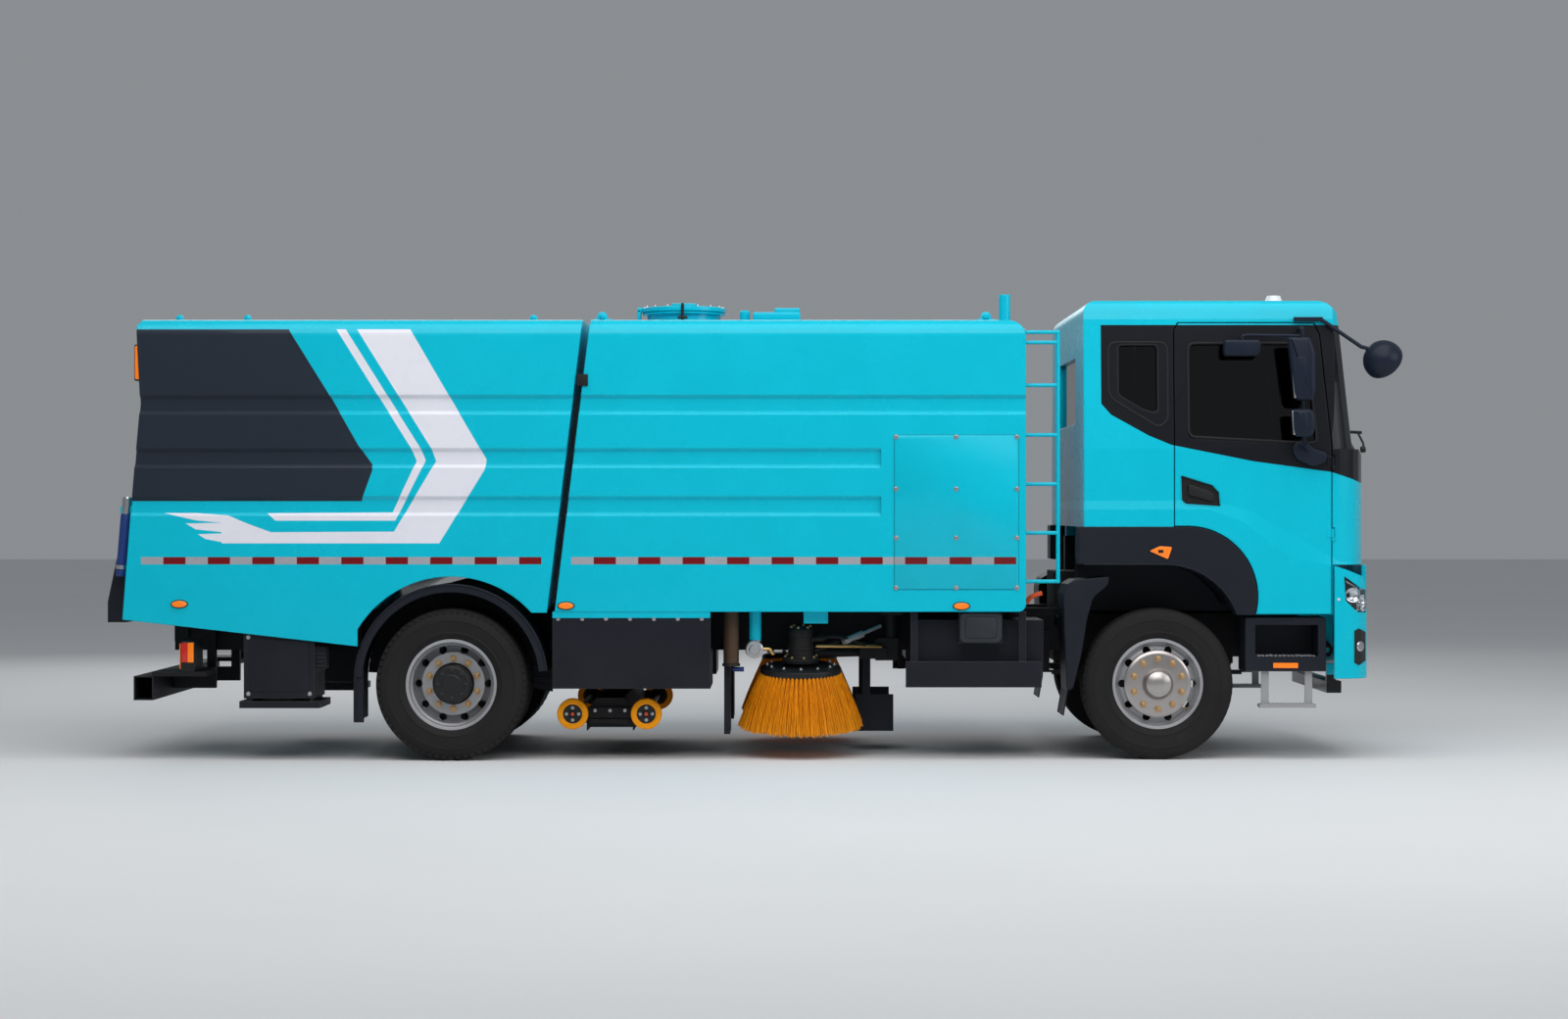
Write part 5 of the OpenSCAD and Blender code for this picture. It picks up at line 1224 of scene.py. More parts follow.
class SWEEPER_OT_nozzle_wheels(bpy.types.Operator):
    """Orange wheels of the nozzle with dark hubs, and the nozzle's rubber lips"""
    bl_idname = "sweeper.nozzle_wheels"
    bl_label = "Nozzle wheels"

    def execute(self, context):
        for end in ("front", "rear"):
            low, high, middle = span(f"nozzle_rollers_{end}")
            radius = (high.z - low.z) / 2
            body = f"rollers_{end}"
            rim, hub = bmesh.new(), bmesh.new()
            places, facings = [], []
            for side in SIDES.values():
                out = (0, side, 0)
                inner = Vector((middle.x, side * (high.y - 0.058), middle.z))
                add_lathe(rim, [(0.064, 0.000), (radius - 0.010, 0.000), (radius - 0.003, 0.003),
                                (radius, 0.010),
                                (radius, 0.048), (radius - 0.003, 0.055), (radius - 0.010, 0.058),
                                (radius - 0.030, 0.058),
                                (radius - 0.034, 0.055), (0.064, 0.055)], inner, out, 72, closed=True)
                add_lathe(hub, [(0.0, -0.008), (0.030, -0.008), (0.030, 0.004), (0.0655, 0.004),
                                (0.0655, 0.054), (0.060, 0.056),
                                (0.055, 0.050), (0.024, 0.046), (0.021, 0.053), (0.017, 0.056),
                                (0.0, 0.056)], inner, out, 48)
                add_lathe(hub, [(0.0, -0.068), (0.0146, -0.068), (0.0146, -0.004), (0.0, -0.004)], inner,
                          out, 20)
                for i in range(4):
                    turn = math.pi * i / 2
                    places.append(inner + Vector((0.041 * math.cos(turn), side * 0.0485,
                                                  0.041 * math.sin(turn))))
                    facings.append(out)
            if high.y > 0.9:
                add_tube(hub, [(middle.x, -0.915, middle.z), (middle.x, 0.915, middle.z)], 0.0135, 20)
            tyre = finish_mesh(rim, f"nozzle_wheels_{end}", "orange", body, 30.0)
            core = finish_mesh(hub, f"nozzle_hubs_{end}", "plate", body, 30.0)
            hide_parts(f"nozzle_rollers_{end}")
            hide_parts(f"nozzle_rollers_{end}")
            bolts(f"hub_bolts_{end}", places, facings, body, 0.015, 0.007, "bright")
            caps = bmesh.new()
            for side in SIDES.values():
                add_lathe(caps, [(0.0, 0.0), (0.0125, 0.0), (0.0125, 0.003), (0.009, 0.0055), (0.0, 0.006)],
                          Vector((middle.x, side * (high.y - 0.058 + 0.056), middle.z)), (0, side, 0), 20)
            finish_mesh(caps, f"hub_caps_{end}", "lever", body, 30.0)
        low, high, middle = span("suction_nozzle")
        lips = bmesh.new()
        for end in (-1, 1):
            face = NOZZLE_X + end * 0.1505
            add_block(lips, (min(face, face + end * 0.008), low.y + 0.03, 0.182),
                      (max(face, face + end * 0.008), high.y - 0.03, 0.262), 0.002)
        finish_mesh(lips, "nozzle_lips", "rubber", "nozzle")
        straps = bmesh.new()
        places, facings = [], []
        for end in (-1, 1):
            face = NOZZLE_X + end * 0.1585
            add_block(straps, (min(face, face + end * 0.005), low.y + 0.03, 0.232),
                      (max(face, face + end * 0.005), high.y - 0.03, 0.256), 0.0015)
            for i in range(15):
                places.append((face + end * 0.006, low.y + 0.09 + i * (high.y - low.y - 0.18) / 14, 0.244))
                facings.append((end, 0, 0))
        for side in SIDES.values():
            edge = side * (high.y - 0.001)
            for x in (-0.20, -0.10, 0.0, 0.10):
                places.append((NOZZLE_X + x, edge + side * 0.002, 0.318))
                facings.append((0, side, 0))
            add_block(straps, (NOZZLE_X - 0.13, min(edge, edge + side * 0.012), 0.232),
                      (NOZZLE_X + 0.13, max(edge, edge + side * 0.012), 0.262), 0.002)
        finish_mesh(straps, "nozzle_straps", "chassis", "nozzle")
        bolts("nozzle_bolts", places, facings, "nozzle", 0.015, 0.008, "bright")
        return {"FINISHED"}

# ---- Cab ----

BELT_Z = 2.070
SEAT_Y, FLOOR_Z = 0.48, 1.621
ARCH_X, ARCH_Z, ARCH_IN = 0.038, 0.792, 0.513
WINDOW_SEAL = [(0.196, 2.776), (0.985, 2.776), (1.050, 2.106), (0.196, 2.152)]
QUARTER_FRAME = [(-0.335, 2.781), (0.058, 2.781), (0.058, 2.262), (0.0, 2.213), (-0.335, 2.416)]


def add_panel(bm, outline, near, far, round_by=0.0, steps=2, material=0):
    """A plate on the right side; its outline is given ahead of the front axle."""
    return add_prism(bm, [(along(x), z) for x, z in outline], "y", near, far, round_by, steps, material)


def read_line(points, value):
    """Height of a polyline at a value."""
    for (a, b), (c, d) in zip(points, points[1:]):
        if a <= value <= c:
            return b + (d - b) * (value - a) / (c - a)
    return points[-1][1] if value > points[-1][0] else points[0][1]


def bumper_line(inset):
    """Plan of the bumper's right corner, inset from its skin, from the door to the middle."""
    wide, nose = CAB_HALF + 0.012 - inset, 1.455 - inset
    return [(1.10, -wide), *arc_points((nose - 0.25, -wide + 0.21), 0.21, -90, -50, 8),
            (nose - 0.062, -wide + 0.122),
            (nose - 0.022, -wide + 0.30), (nose, -wide + 0.70)]


def wrap_strip(bm, inset, low_line, high_line, start, end, material=0, steps=16):
    """A strip that follows the bumper corner between two height lines."""
    plan = bumper_line(inset)
    rows = []
    for i in range(steps + 1):
        x = start + (end - start) * i / steps
        y = read_line(plan, x)
        rows.append([bm.verts.new((along(x), y, read_line(line, x))) for line in (low_line, high_line)])
    for a, b in zip(rows, rows[1:]):
        bm.faces.new((a[0], b[0], b[1], a[1])).material_index = material


def cab_skin(x, z, side, lift=0.0):
    """A point on the cab side x metres ahead of the front axle."""
    lean = 0.062 * max(0.0, z - BELT_Z) / (CAB_TOP - 0.130 - BELT_Z)
    return Vector((along(x), side * (CAB_HALF - lean + lift), z))


def rounded_outline(points, radius, steps=5):
    """Cuts the corners of a closed outline with arcs."""
    result = []
    count = len(points)
    for i in range(count):
        before, corner, after = (Vector(points[(i + k) % count]) for k in (-1, 0, 1))
        back, ahead = (before - corner), (after - corner)
        cut = min(radius, back.length * 0.45, ahead.length * 0.45)
        start, end = corner + back.normalized() * cut, corner + ahead.normalized() * cut
        for k in range(steps + 1):
            t = k / steps
            result.append(tuple(start * (1 - t) ** 2 + corner * 2 * t * (1 - t) + end * t ** 2))
    return result


def add_loop(bm, points, radius, steps=8, flat=1.0, material=0):
    """A closed bar along a ring of points."""
    count = len(points)
    rings = []
    for i, point in enumerate(points):
        ahead = (points[(i + 1) % count] - points[i - 1]).normalized()
        side = Vector((0, 1, 0))
        lift = side.cross(ahead).normalized()
        rings.append([bm.verts.new(point + lift * radius * math.cos(a) + side * radius * flat * math.sin(a))
                      for a in (2 * math.pi * k / steps for k in range(steps))])
    for i in range(count):
        lower, upper = rings[i], rings[(i + 1) % count]
        for k in range(steps):
            m = (k + 1) % steps
            bm.faces.new((lower[k], lower[m], upper[m], upper[k])).material_index = material


class SWEEPER_OT_cab_sides(bpy.types.Operator):
    """Window seals, door handles, arch liners, steps and markers"""
    bl_idname = "sweeper.cab_sides"
    bl_label = "Cab sides"

    def execute(self, context):
        for label, side in SIDES.items():
            door = f"door_{label}"
            bm = bmesh.new()
            ring = [cab_skin(x, z, side, 0.001) for x, z in rounded_outline(WINDOW_SEAL, 0.05)]
            add_loop(bm, ring, 0.009, 8, 0.5)
            finish_mesh(bm, f"door_window_seal_{label}", "rubber", door, 40.0)
            bm = bmesh.new()
            ring = [cab_skin(x, z, side, 0.001) for x, z in rounded_outline(QUARTER_FRAME, 0.06)]
            add_loop(bm, ring, 0.008, 8, 0.5)
            ring = [cab_skin(x, z, side, -0.002) for x, z in rounded_outline(
                [(-0.272, 2.766), (-0.006, 2.766), (-0.006, 2.306), (-0.10, 2.326), (-0.272, 2.428)], 0.03)]
            add_loop(bm, ring, 0.007, 8, 0.6)
            finish_mesh(bm, f"quarter_window_seal_{label}", "rubber", "cab", 40.0)
            # door handle: cup liner, grip and lock
            bm = bmesh.new()
            cup = rounded_outline([(0.139, 1.899), (0.352, 1.836), (0.401, 1.785), (0.410, 1.684),
                                   (0.171, 1.700), (0.143, 1.728)], 0.03)
            outer = [bm.verts.new((along(x), -CAB_HALF - 0.0015, z)) for x, z in cup]
            centre = Vector((0.272, 1.775))
            inner = [bm.verts.new((along(x), -CAB_HALF + 0.0205, z)) for x, z in
                     (centre + (Vector(p) - centre) * 0.92 for p in cup)]
            for i in range(len(cup)):
                j = (i + 1) % len(cup)
                bm.faces.new((outer[i], outer[j], inner[j], inner[i]))
            bm.faces.new(inner)
            grip = [(0.190, 1.838), (0.342, 1.788), (0.362, 1.766), (0.360, 1.722), (0.196, 1.764)]
            add_panel(bm, rounded_outline(grip, 0.016), -CAB_HALF - 0.004, -CAB_HALF + 0.0235, 0.005, 3)
            add_disc(bm, 0.011, 0.0, 0.006, (along(0.196), -CAB_HALF + 0.016, 1.722), (0, -1, 0), 0.002, 20)
            to_side(bm, side)
            finish_mesh(bm, f"door_handle_{label}", "plate", door, 30.0)
            # amber marker on the arch trim, with a dark bezel
            bm = bmesh.new()
            marker = [(-0.0675, 1.392), (0.003, 1.4245), (0.0845, 1.4185), (0.057, 1.337)]
            add_panel(bm, rounded_outline(marker, 0.012), -CAB_HALF - 0.009, -CAB_HALF + 0.002, 0.003, 2, 0)
            middle = Vector((0.020, 1.392))
            add_panel(bm, rounded_outline([middle + (Vector(p) - middle) * 1.10 for p in marker], 0.014),
                      -CAB_HALF - 0.004, -CAB_HALF + 0.002, 0.0015, 2, 1)
            add_block(bm, (along(-0.008), -CAB_HALF - 0.0115, 1.380),
                      (along(0.026), -CAB_HALF - 0.008, 1.400), 0.001, 1, 1)
            to_side(bm, side)
            finish_mesh(bm, f"arch_marker_{label}", ["lens_amber", "trim"], "cab", 30.0)
            # a rolled upper lip along the arch trim, and the liner behind it
            bm = bmesh.new()
            arc = [(ARCH_X + ARCH_IN * math.cos(a), ARCH_Z + ARCH_IN * math.sin(a)) for a in
                   (math.radians(20 + 70 * i / 20) for i in range(21))]
            lip = [*arc, (-0.20, 1.305), (-0.50, 1.305)]
            add_tube(bm, [cab_skin(x, z, -1, 0.000) for x, z in lip], 0.007, 8)
            shell = [(x, z - 0.002) for x, z in [(ARCH_X + ARCH_IN * 1.0, 1.02), *arc[2:], (-0.20, 1.305),
                                                 (-0.50, 1.305)]]
            for (x0, z0), (x1, z1) in zip(shell, shell[1:]):
                corners = [bm.verts.new((along(x), y, z)) for x, y, z in
                           ((x0, -0.974, z0), (x1, -0.974, z1), (x1, -0.560, z1), (x0, -0.560, z0))]
                bm.faces.new(corners)
            bmesh.ops.remove_doubles(bm, verts=bm.verts, dist=1e-4)
            wall = [(-0.50, 0.975), (0.60, 0.975), (0.60, 1.34), (-0.50, 1.34)]
            add_panel(bm, wall, -0.562, -0.556)
            to_side(bm, side)
            finish_mesh(bm, f"arch_liner_{label}", "trim", "cab", 40.0, recalc=False)
            # step box: tread plates and reflector
            bm = bmesh.new()
            base = along(0.576)
            for level, near in ((0.690, -1.169), (0.372, -1.170)):
                low_x, high_x = (base + 0.072, base + 0.478) if level > 0.5 else (base + 0.098, base + 0.467)
                deep = 0.25 if level > 0.5 else 0.098
                for k in range(9 if level > 0.5 else 4):
                    y = near + 0.014 + k * 0.0265
                    if y + 0.010 > near + deep:
                        break
                    for m in range(14):
                        x = low_x + 0.012 + m * (high_x - low_x - 0.024) / 13.5
                        add_block(bm, (x, y, level - 0.0005), (x + 0.016, y + 0.010, level + 0.0065), 0.0015,
                                  1)
            to_side(bm, side)
            finish_mesh(bm, f"step_treads_{label}", "bright", "chassis", 30.0)
            bm = bmesh.new()
            add_block(bm, (along(0.760), -1.1765, 0.613), (along(0.926), -1.1700, 0.648), 0.003, 2)
            to_side(bm, side)
            finish_mesh(bm, f"step_reflector_{label}", "lens_amber", "chassis", 30.0)
        return {"FINISHED"}


class SWEEPER_OT_cab_front(bpy.types.Operator):
    """Grille slats, wipers, lamps and bumper details"""
    bl_idname = "sweeper.cab_front"
    bl_label = "Cab front"

    def execute(self, context):
        face = along(1.425)
        # grille: a black field with slats made along seed points
        bm = bmesh.new()
        add_block(bm, (face - 0.012, -0.62, 1.42), (face + 0.006, 0.62, 1.86), 0.006, 2)
        finish_mesh(bm, "grille_field", "pillar", "cab", 30.0)
        places = [(face + 0.010, 0.0, 1.455 + 0.062 * i) for i in range(7)]
        grow(group_named("slats", slat_field), seed_points(places, [(1, 0, 0)] * 7), "grille_slats", "trim",
             "cab",
             {"Length": 1.19, "Depth": 0.018, "Height": 0.026, "Round": 0.006}, 30.0)
        bm = bmesh.new()
        frame_line = rounded_outline([(-0.62, 1.42), (0.62, 1.42), (0.62, 1.86), (-0.62, 1.86)], 0.04)
        ring = [Vector((face + 0.008, y, z)) for y, z in frame_line]
        rings = []
        for i, point in enumerate(ring):
            ahead = (ring[(i + 1) % len(ring)] - ring[i - 1]).normalized()
            lift = Vector((1, 0, 0)).cross(ahead)
            rings.append([bm.verts.new(point + lift * 0.013 * math.cos(a) + Vector((0.010 * math.sin(a), 0,
                    0)))
                          for a in (2 * math.pi * k / 10 for k in range(10))])
        for i in range(len(rings)):
            lower, upper = rings[i], rings[(i + 1) % len(rings)]
            for k in range(10):
                bm.faces.new((lower[k], lower[(k + 1) % 10], upper[(k + 1) % 10], upper[k]))
        add_block(bm, (face - 0.005, -0.56, 1.905), (face + 0.004, 0.56, 1.912), 0.001, 1)
        finish_mesh(bm, "grille_frame", "bright", "cab", 30.0)
        # wipers parked along the foot of the windscreen
        bm = bmesh.new()
        for y, reach in ((-0.80, 0.62), (-0.10, 0.62), (0.60, 0.48)):
            def screen(yy, zz):
                return Vector((along(1.452 - (zz - 2.04) * 0.118 - 0.075 * (abs(yy) / 1.05) ** 3), yy, zz))
            foot = screen(y, 2.075) + Vector((0.018, 0, 0))
            tip = screen(y + reach * 0.55, 2.20) + Vector((0.030, 0, 0))
            add_tube(bm, [foot, foot.lerp(tip, 0.35) + Vector((0.012, 0, 0)), tip], 0.0075, 8)
            add_disc(bm, 0.022, -0.02, 0.012, foot, (1, 0, 0.1), 0.004, 20)
            blade = [screen(y + reach * (0.55 + k), 2.20 + 0.02 * k) + Vector((0.016, 0, 0)) for k in (-0.5,
                    -0.25, 0.0, 0.25, 0.5)]
            add_tube(bm, blade, 0.008, 6, 0, 1.5)
        finish_mesh(bm, "wipers", "plate", "cab", 30.0)
        # bumper: fog lamp pockets, lower intake, plate mount left blank
        bumper = span("front_bumper")
        nose = bumper[1].x
        bm = bmesh.new()
        add_block(bm, (nose - 0.055, -0.56, 0.66), (nose - 0.010, 0.56, 0.80), 0.008, 2, 0)
        for i in range(3):
            add_block(bm, (nose - 0.014, -0.55, 0.684 + 0.040 * i), (nose - 0.004, 0.55, 0.692 + 0.040 * i),
                      0.002, 1, 1)
        add_block(bm, (nose - 0.012, -0.26, 0.845), (nose - 0.006, 0.26, 0.965), 0.003, 2, 2)
        finish_mesh(bm, "bumper_intake", ["plate", "trim", "beacon"], "cab", 30.0)
        for label, side in SIDES.items():
            bm = bmesh.new()
            wrap_strip(bm, -0.0025, [(1.296, 0.650), (1.330, 0.632), (1.388, 0.660)],
                       [(1.296, 0.862), (1.330, 0.878), (1.388, 0.850)], 1.296, 1.388)
            add_disc(bm, 0.034, 0.0, 0.010, (along(1.338), -1.166, 0.758), (0.6, -0.8, 0), 0.004, 28, 1)
            add_disc(bm, 0.010, 0.0, 0.006, (along(1.188), -1.2115, 1.071), (0, -1, 0), 0.002, 20, 2)
            to_side(bm, side)
            finish_mesh(bm, f"fog_pocket_{label}", ["plate", "reflector", "beacon"], "cab",
                        30.0)
            bm = bmesh.new()
            wrap_strip(bm, 0.046, [(1.225, 1.055), (1.236, 1.050), (1.320, 0.978), (1.45, 0.978)],
                       [(1.225, 1.232), (1.350, 1.148), (1.45, 1.130)],
                       1.222, 1.375)
            plan = bumper_line(0.046)
            for x, z, r in ((1.283, 1.098, 0.044), (1.343, 1.058, 0.036), (1.345, 1.016, 0.022)):
                ahead = Vector((along(x), read_line(plan, x), z))
                out = Vector((0.55, -0.84, 0.0)) if x > 1.3 else Vector((0.25, -0.97, 0.0))
                add_lathe(bm, [(0.0, 0.002), (r * 0.35, 0.003), (r * 0.8, 0.010), (r, 0.020),
                               (r + 0.004, 0.021), (r + 0.005, 0.0)], ahead, out, 32, 1)
                add_lathe(bm, [(0.0, 0.018), (r * 0.3, 0.015), (r * 0.36, 0.002)], ahead, out, 24, 2)
            guide = [(along(x), read_line(bumper_line(0.034), x), z) for x,
                     z in ((1.240, 1.192), (1.290, 1.162), (1.345, 1.130))]
            add_tube(bm, guide, 0.006, 8, 2)
            to_side(bm, side)
            finish_mesh(bm, f"lamp_inside_{label}", ["plate", "reflector", "beacon"], "cab",
                        30.0)
        return {"FINISHED"}


def slat_field():
    """Rounded slats lying across, one on each seed point."""
    tree, source, sink = new_field("Slats", [("Length", "f"), ("Depth", "f"), ("Height", "f"),
                                             ("Round", "f"), ("Material", "m")])
    line = put(tree, "GeometryNodeCurvePrimitiveLine", {"Start": (0.0, -0.5, 0.0),
                                                        "End": (0.0, 0.5, 0.0)}).outputs[0]
    sized = put(tree, "GeometryNodeTransform", {0: line, "Scale": put(tree, "ShaderNodeCombineXYZ", {
        0: 1.0, 1: source.outputs["Length"], 2: 1.0}).outputs[0]}).outputs[0]
    box = put(tree, "GeometryNodeCurvePrimitiveQuadrilateral", {"Width": source.outputs["Height"],
                                                               "Height": source.outputs["Depth"]}).outputs[0]
    soft = put(tree, "GeometryNodeFilletCurve", {"Curve": box, "Radius": source.outputs["Round"]})
    swept = put(tree, "GeometryNodeCurveToMesh", {"Curve": sized, "Profile Curve": soft.outputs[0],
                                                  "Fill Caps": True}).outputs[0]
    spread = put(tree, "GeometryNodeInstanceOnPoints", {"Points": source.outputs[0],
                                                        "Instance": swept}).outputs[0]
    return close_field(tree, source, sink, spread)


class SWEEPER_OT_mirrors(bpy.types.Operator):
    """Moulded mirror housings with their glass, arms and feet"""
    bl_idname = "sweeper.mirrors"
    bl_label = "Mirrors"

    def execute(self, context):
        for label, side in SIDES.items():
            low, high, _ = span(f"mirrors_{label}")
            out = high.y if side > 0 else -low.y
            body = f"door_{label}"
            bm = bmesh.new()
            shapes = [
                ([(0.816, 2.800), (0.842, 2.560), (0.858, 2.420), (0.880, 2.384), (0.984, 2.384),
                  (0.998, 2.450), (0.996, 2.700), (0.965, 2.800)],
                 out - 0.082, out, 0.024),
                ([(0.846, 2.328), (0.850, 2.190), (0.866, 2.147), (0.972, 2.147), (0.994, 2.190),
                  (0.990, 2.300), (0.970, 2.328)],
                 out - 0.082, out - 0.002, 0.022),
                ([(0.424, 2.792), (0.656, 2.792), (0.668, 2.765), (0.664, 2.700), (0.640, 2.684),
                  (0.430, 2.684), (0.418, 2.710)],
                 out - 0.250, out - 0.172, 0.016),
            ]
            for outline, inner, outer, soft in shapes:
                add_prism(bm, [(along(x), z) for x, z in rounded_outline(outline, 0.02, 3)], "y", -outer,
                          -inner, soft, 4)
            for x, z in ((0.90, 2.60), (0.91, 2.24)):
                add_block(bm, (along(x) - 0.03, -out - 0.0005, z - 0.07),
                          (along(x) + 0.03, -out + 0.02, z + 0.07), 0.008, 3)
            post = out - 0.135
            arms = [
                ([(0.930, -post, 2.860), (0.932, -post, 2.60), (0.936, -post, 2.30), (0.945, -post, 2.10)],
                 0.0125),
                ([(0.934, -CAB_HALF + 0.045, 2.866), (0.934, -post + 0.03, 2.866), (0.930, -post, 2.855),
                  (0.930, -post, 2.80)], 0.014),
                ([(0.934, -post, 2.70), (0.92, -out + 0.07, 2.70)], 0.012),
                ([(0.936, -post, 2.48), (0.93, -out + 0.07, 2.48)], 0.012),
                ([(0.938, -post, 2.24), (0.93, -out + 0.07, 2.24)], 0.012),
                ([(0.93, -post, 2.815), (0.74, -out + 0.205, 2.822), (0.56, -out + 0.21, 2.822),
                  (0.545, -out + 0.21, 2.79)], 0.010),
            ]
            for path, radius in arms:
                add_tube(bm, smooth_path([(along(x), y, z) for x, y, z in path], 5), radius, 12)
            foot = rounded_outline([(0.880, 2.080), (0.905, 2.118), (0.985, 2.118), (1.010, 2.075),
                                    (1.106, 2.045), (1.104, 1.985), (1.02, 1.952),
                                    (0.925, 1.990), (0.885, 2.030)], 0.02, 3)
            add_prism(bm, [(along(x), z) for x, z in foot], "y", -CAB_HALF - 0.046, -CAB_HALF - 0.0005,
                      0.012, 3)
            add_tube(bm, smooth_path([(along(0.985), -CAB_HALF - 0.03, 2.05),
                                      (along(0.965), -CAB_HALF - 0.07, 2.085), (along(0.945), -post, 2.105)],
                                     5),
                     0.024, 14, 0, 0.8)
            to_side(bm, side)
            housing = finish_mesh(bm, f"mirror_housings_{label}", "mirror_shell", body, 35.0)
            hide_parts(f"mirrors_{label}")
            bm = bmesh.new()
            for x0, x1, z0, z1 in ((0.832, 0.862, 2.400, 2.785), (0.846, 0.856, 2.160, 2.316)):
                lowest = [(along(x1 - 0.004), -out + 0.012, z0), (along(x1 - 0.004), -out + 0.070, z0)]
                highest = [(along(x0 - 0.004), -out + 0.070, z1), (along(x0 - 0.004), -out + 0.012, z1)]
                front = [bm.verts.new(p) for p in lowest + highest]
                back = [bm.verts.new(Vector(p) + Vector((0.012, 0, 0))) for p in lowest + highest]
                bm.faces.new(front)
                bm.faces.new(list(reversed(back)))
                for i in range(4):
                    bm.faces.new((front[i], back[i], back[(i + 1) % 4], front[(i + 1) % 4]))
            to_side(bm, side)
            finish_mesh(bm, f"mirror_glass_{label}", "mirror_glass", body, 20.0)
        return {"FINISHED"}


class SWEEPER_OT_cab_inside(bpy.types.Operator):
    """Seats with sewn cushions, belts, steering wheel and dashboard parts"""
    bl_idname = "sweeper.cab_inside"
    bl_label = "Cab inside"

    def execute(self, context):
        for label, side in SIDES.items():
            centre = side * SEAT_Y
            pads = [
                ("cushion", (0.035, 0.545), (-0.235, 0.235), (FLOOR_Z + 0.085, FLOOR_Z + 0.205), 0.0),
                ("back", (-0.045, 0.085), (-0.230, 0.230), (FLOOR_Z + 0.190, FLOOR_Z + 0.840), -0.115),
                ("headrest", (-0.062, 0.022), (-0.135, 0.135), (FLOOR_Z + 0.855, FLOOR_Z + 1.052), -0.075),
            ]
            for name, xs, ys, zs, lean in pads:
                bm = bmesh.new()
                bmesh.ops.create_cube(bm, size=1.0)
                bmesh.ops.subdivide_edges(bm, edges=bm.edges[:], cuts=7, use_grid_fill=True)
                size = Vector((xs[1] - xs[0], ys[1] - ys[0], zs[1] - zs[0]))
                middle = Vector((along((xs[0] + xs[1]) / 2), centre, (zs[0] + zs[1]) / 2))
                thin = min(range(3), key=lambda k: size[k])
                others = [k for k in range(3) if k != thin]
                for vertex in bm.verts:
                    u, v = vertex.co[others[0]] * 2, vertex.co[others[1]] * 2
                    swell = 0.72 + 0.28 * (1 - u ** 4) * (1 - v ** 4)
                    channel = 1.0
                    if name != "headrest":
                        channel = 1.0 - 0.13 * math.exp(-((abs(v if thin == 2 else u) - 0.62) / 0.07) ** 2)
                        channel -= 0.07 * math.exp(-(((u if thin == 2 else v) - 0.1) / 0.05) ** 2)
                    place = Vector(vertex.co)
                    place[thin] *= swell * channel
                    for k in others:
                        corner = abs(vertex.co[others[0]] * 2) * abs(vertex.co[others[1]] * 2)
                        place[k] *= 1.0 - 0.05 * corner ** 3
                    spot = Vector([place[k] * size[k] for k in range(3)])
                    spot.x += lean * (spot.z / max(size.z, 1e-6) + 0.0) if name != "cushion" else 0.0
                    vertex.co = middle + spot
                mesh = bpy.data.meshes.new(f"seat_{name}_{label}")
                bmesh.ops.recalc_face_normals(bm, faces=bm.faces)
                bm.to_mesh(mesh)
                bm.free()
                piece = place_mesh(mesh, f"seat_{name}_{label}", "seat", "cab", 0.0)
                mesh.shade_smooth()
                smooth = piece.modifiers.new("Soft", "SUBSURF")
                smooth.levels = smooth.render_levels = 1
                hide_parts("seats")
            bm = bmesh.new()
            add_block(bm, (along(0.07), centre - 0.22, FLOOR_Z + 0.002),
                      (along(0.49), centre + 0.22, FLOOR_Z + 0.070), 0.015, 3)
            for dy in (-0.06, 0.06):
                add_tube(bm, [(along(-0.055), centre + dy, FLOOR_Z + 0.80),
                              (along(-0.060), centre + dy, FLOOR_Z + 0.90)], 0.007, 10)
            base = finish_mesh(bm, f"seat_base_{label}", "cabin", "cab", 35.0)
            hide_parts("seats")
            bm = bmesh.new()
            belt = [(-0.02, -side * 0.16, 0.80), (0.09, -side * 0.10, 0.60), (0.13, side * 0.06, 0.34),
                    (0.15, side * 0.20, 0.22)]
            points = [Vector((along(x), centre + y, FLOOR_Z + z)) for x, y, z in belt]
            add_tube(bm, smooth_path(points, 6), 0.022, 10, 0, 0.08)
            finish_mesh(bm, f"seat_belt_{label}", "rubber", "cab", 40.0)
        # steering wheel: padded rim, spokes and boss
        hub = Vector((along(0.900), SEAT_Y, BELT_Z + 0.018))
        tilt = Matrix.Translation(hub) @ Matrix.Rotation(math.radians(-41.5), 4, "Y")
        rim = (span("steering_wheel")[1].y - span("steering_wheel")[0].y) / 2 - 0.016
        bm = bmesh.new()
        rings = []
        for i in range(64):
            a = 2 * math.pi * i / 64
            ring = []
            for k in range(12):
                b = 2 * math.pi * k / 12
                thick = 0.0150 + 0.0012 * (math.cos(3 * a) > 0.2)
                ring.append(bm.verts.new(tilt @ Vector(((rim + thick * math.cos(b)) * math.cos(a),
                                                        (rim + thick * math.cos(b)) * math.sin(a),
                                                       0.040 + thick * math.sin(b)))))
            rings.append(ring)
        for i in range(64):
            for k in range(12):
                bm.faces.new((rings[i][k], rings[i][(k + 1) % 12], rings[(i + 1) % 64][(k + 1) % 12],
                              rings[(i + 1) % 64][k]))
        for a in (0, 120, 240):
            turn = tilt @ Matrix.Rotation(math.radians(a), 4, "Z")
            add_tube(bm, [turn @ Vector((0.02, 0, 0.018)), turn @ Vector((0.10, 0, 0.020)),
                          turn @ Vector((rim, 0, 0.038))], 0.017, 10, 0, 0.45)
        add_lathe(bm, [(0.0, 0.001), (0.045, 0.001), (0.064, 0.012), (0.068, 0.026), (0.060, 0.036),
                       (0.030, 0.040), (0.0, 0.041)],
                  tilt @ Vector((0, 0, 0)), (tilt @ Vector((0, 0, 1))) - tilt @ Vector((0, 0, 0)), 40)
        wheel = finish_mesh(bm, "steering_wheel_rim", "cabin", "cab", 35.0)
        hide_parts("steering_wheel")
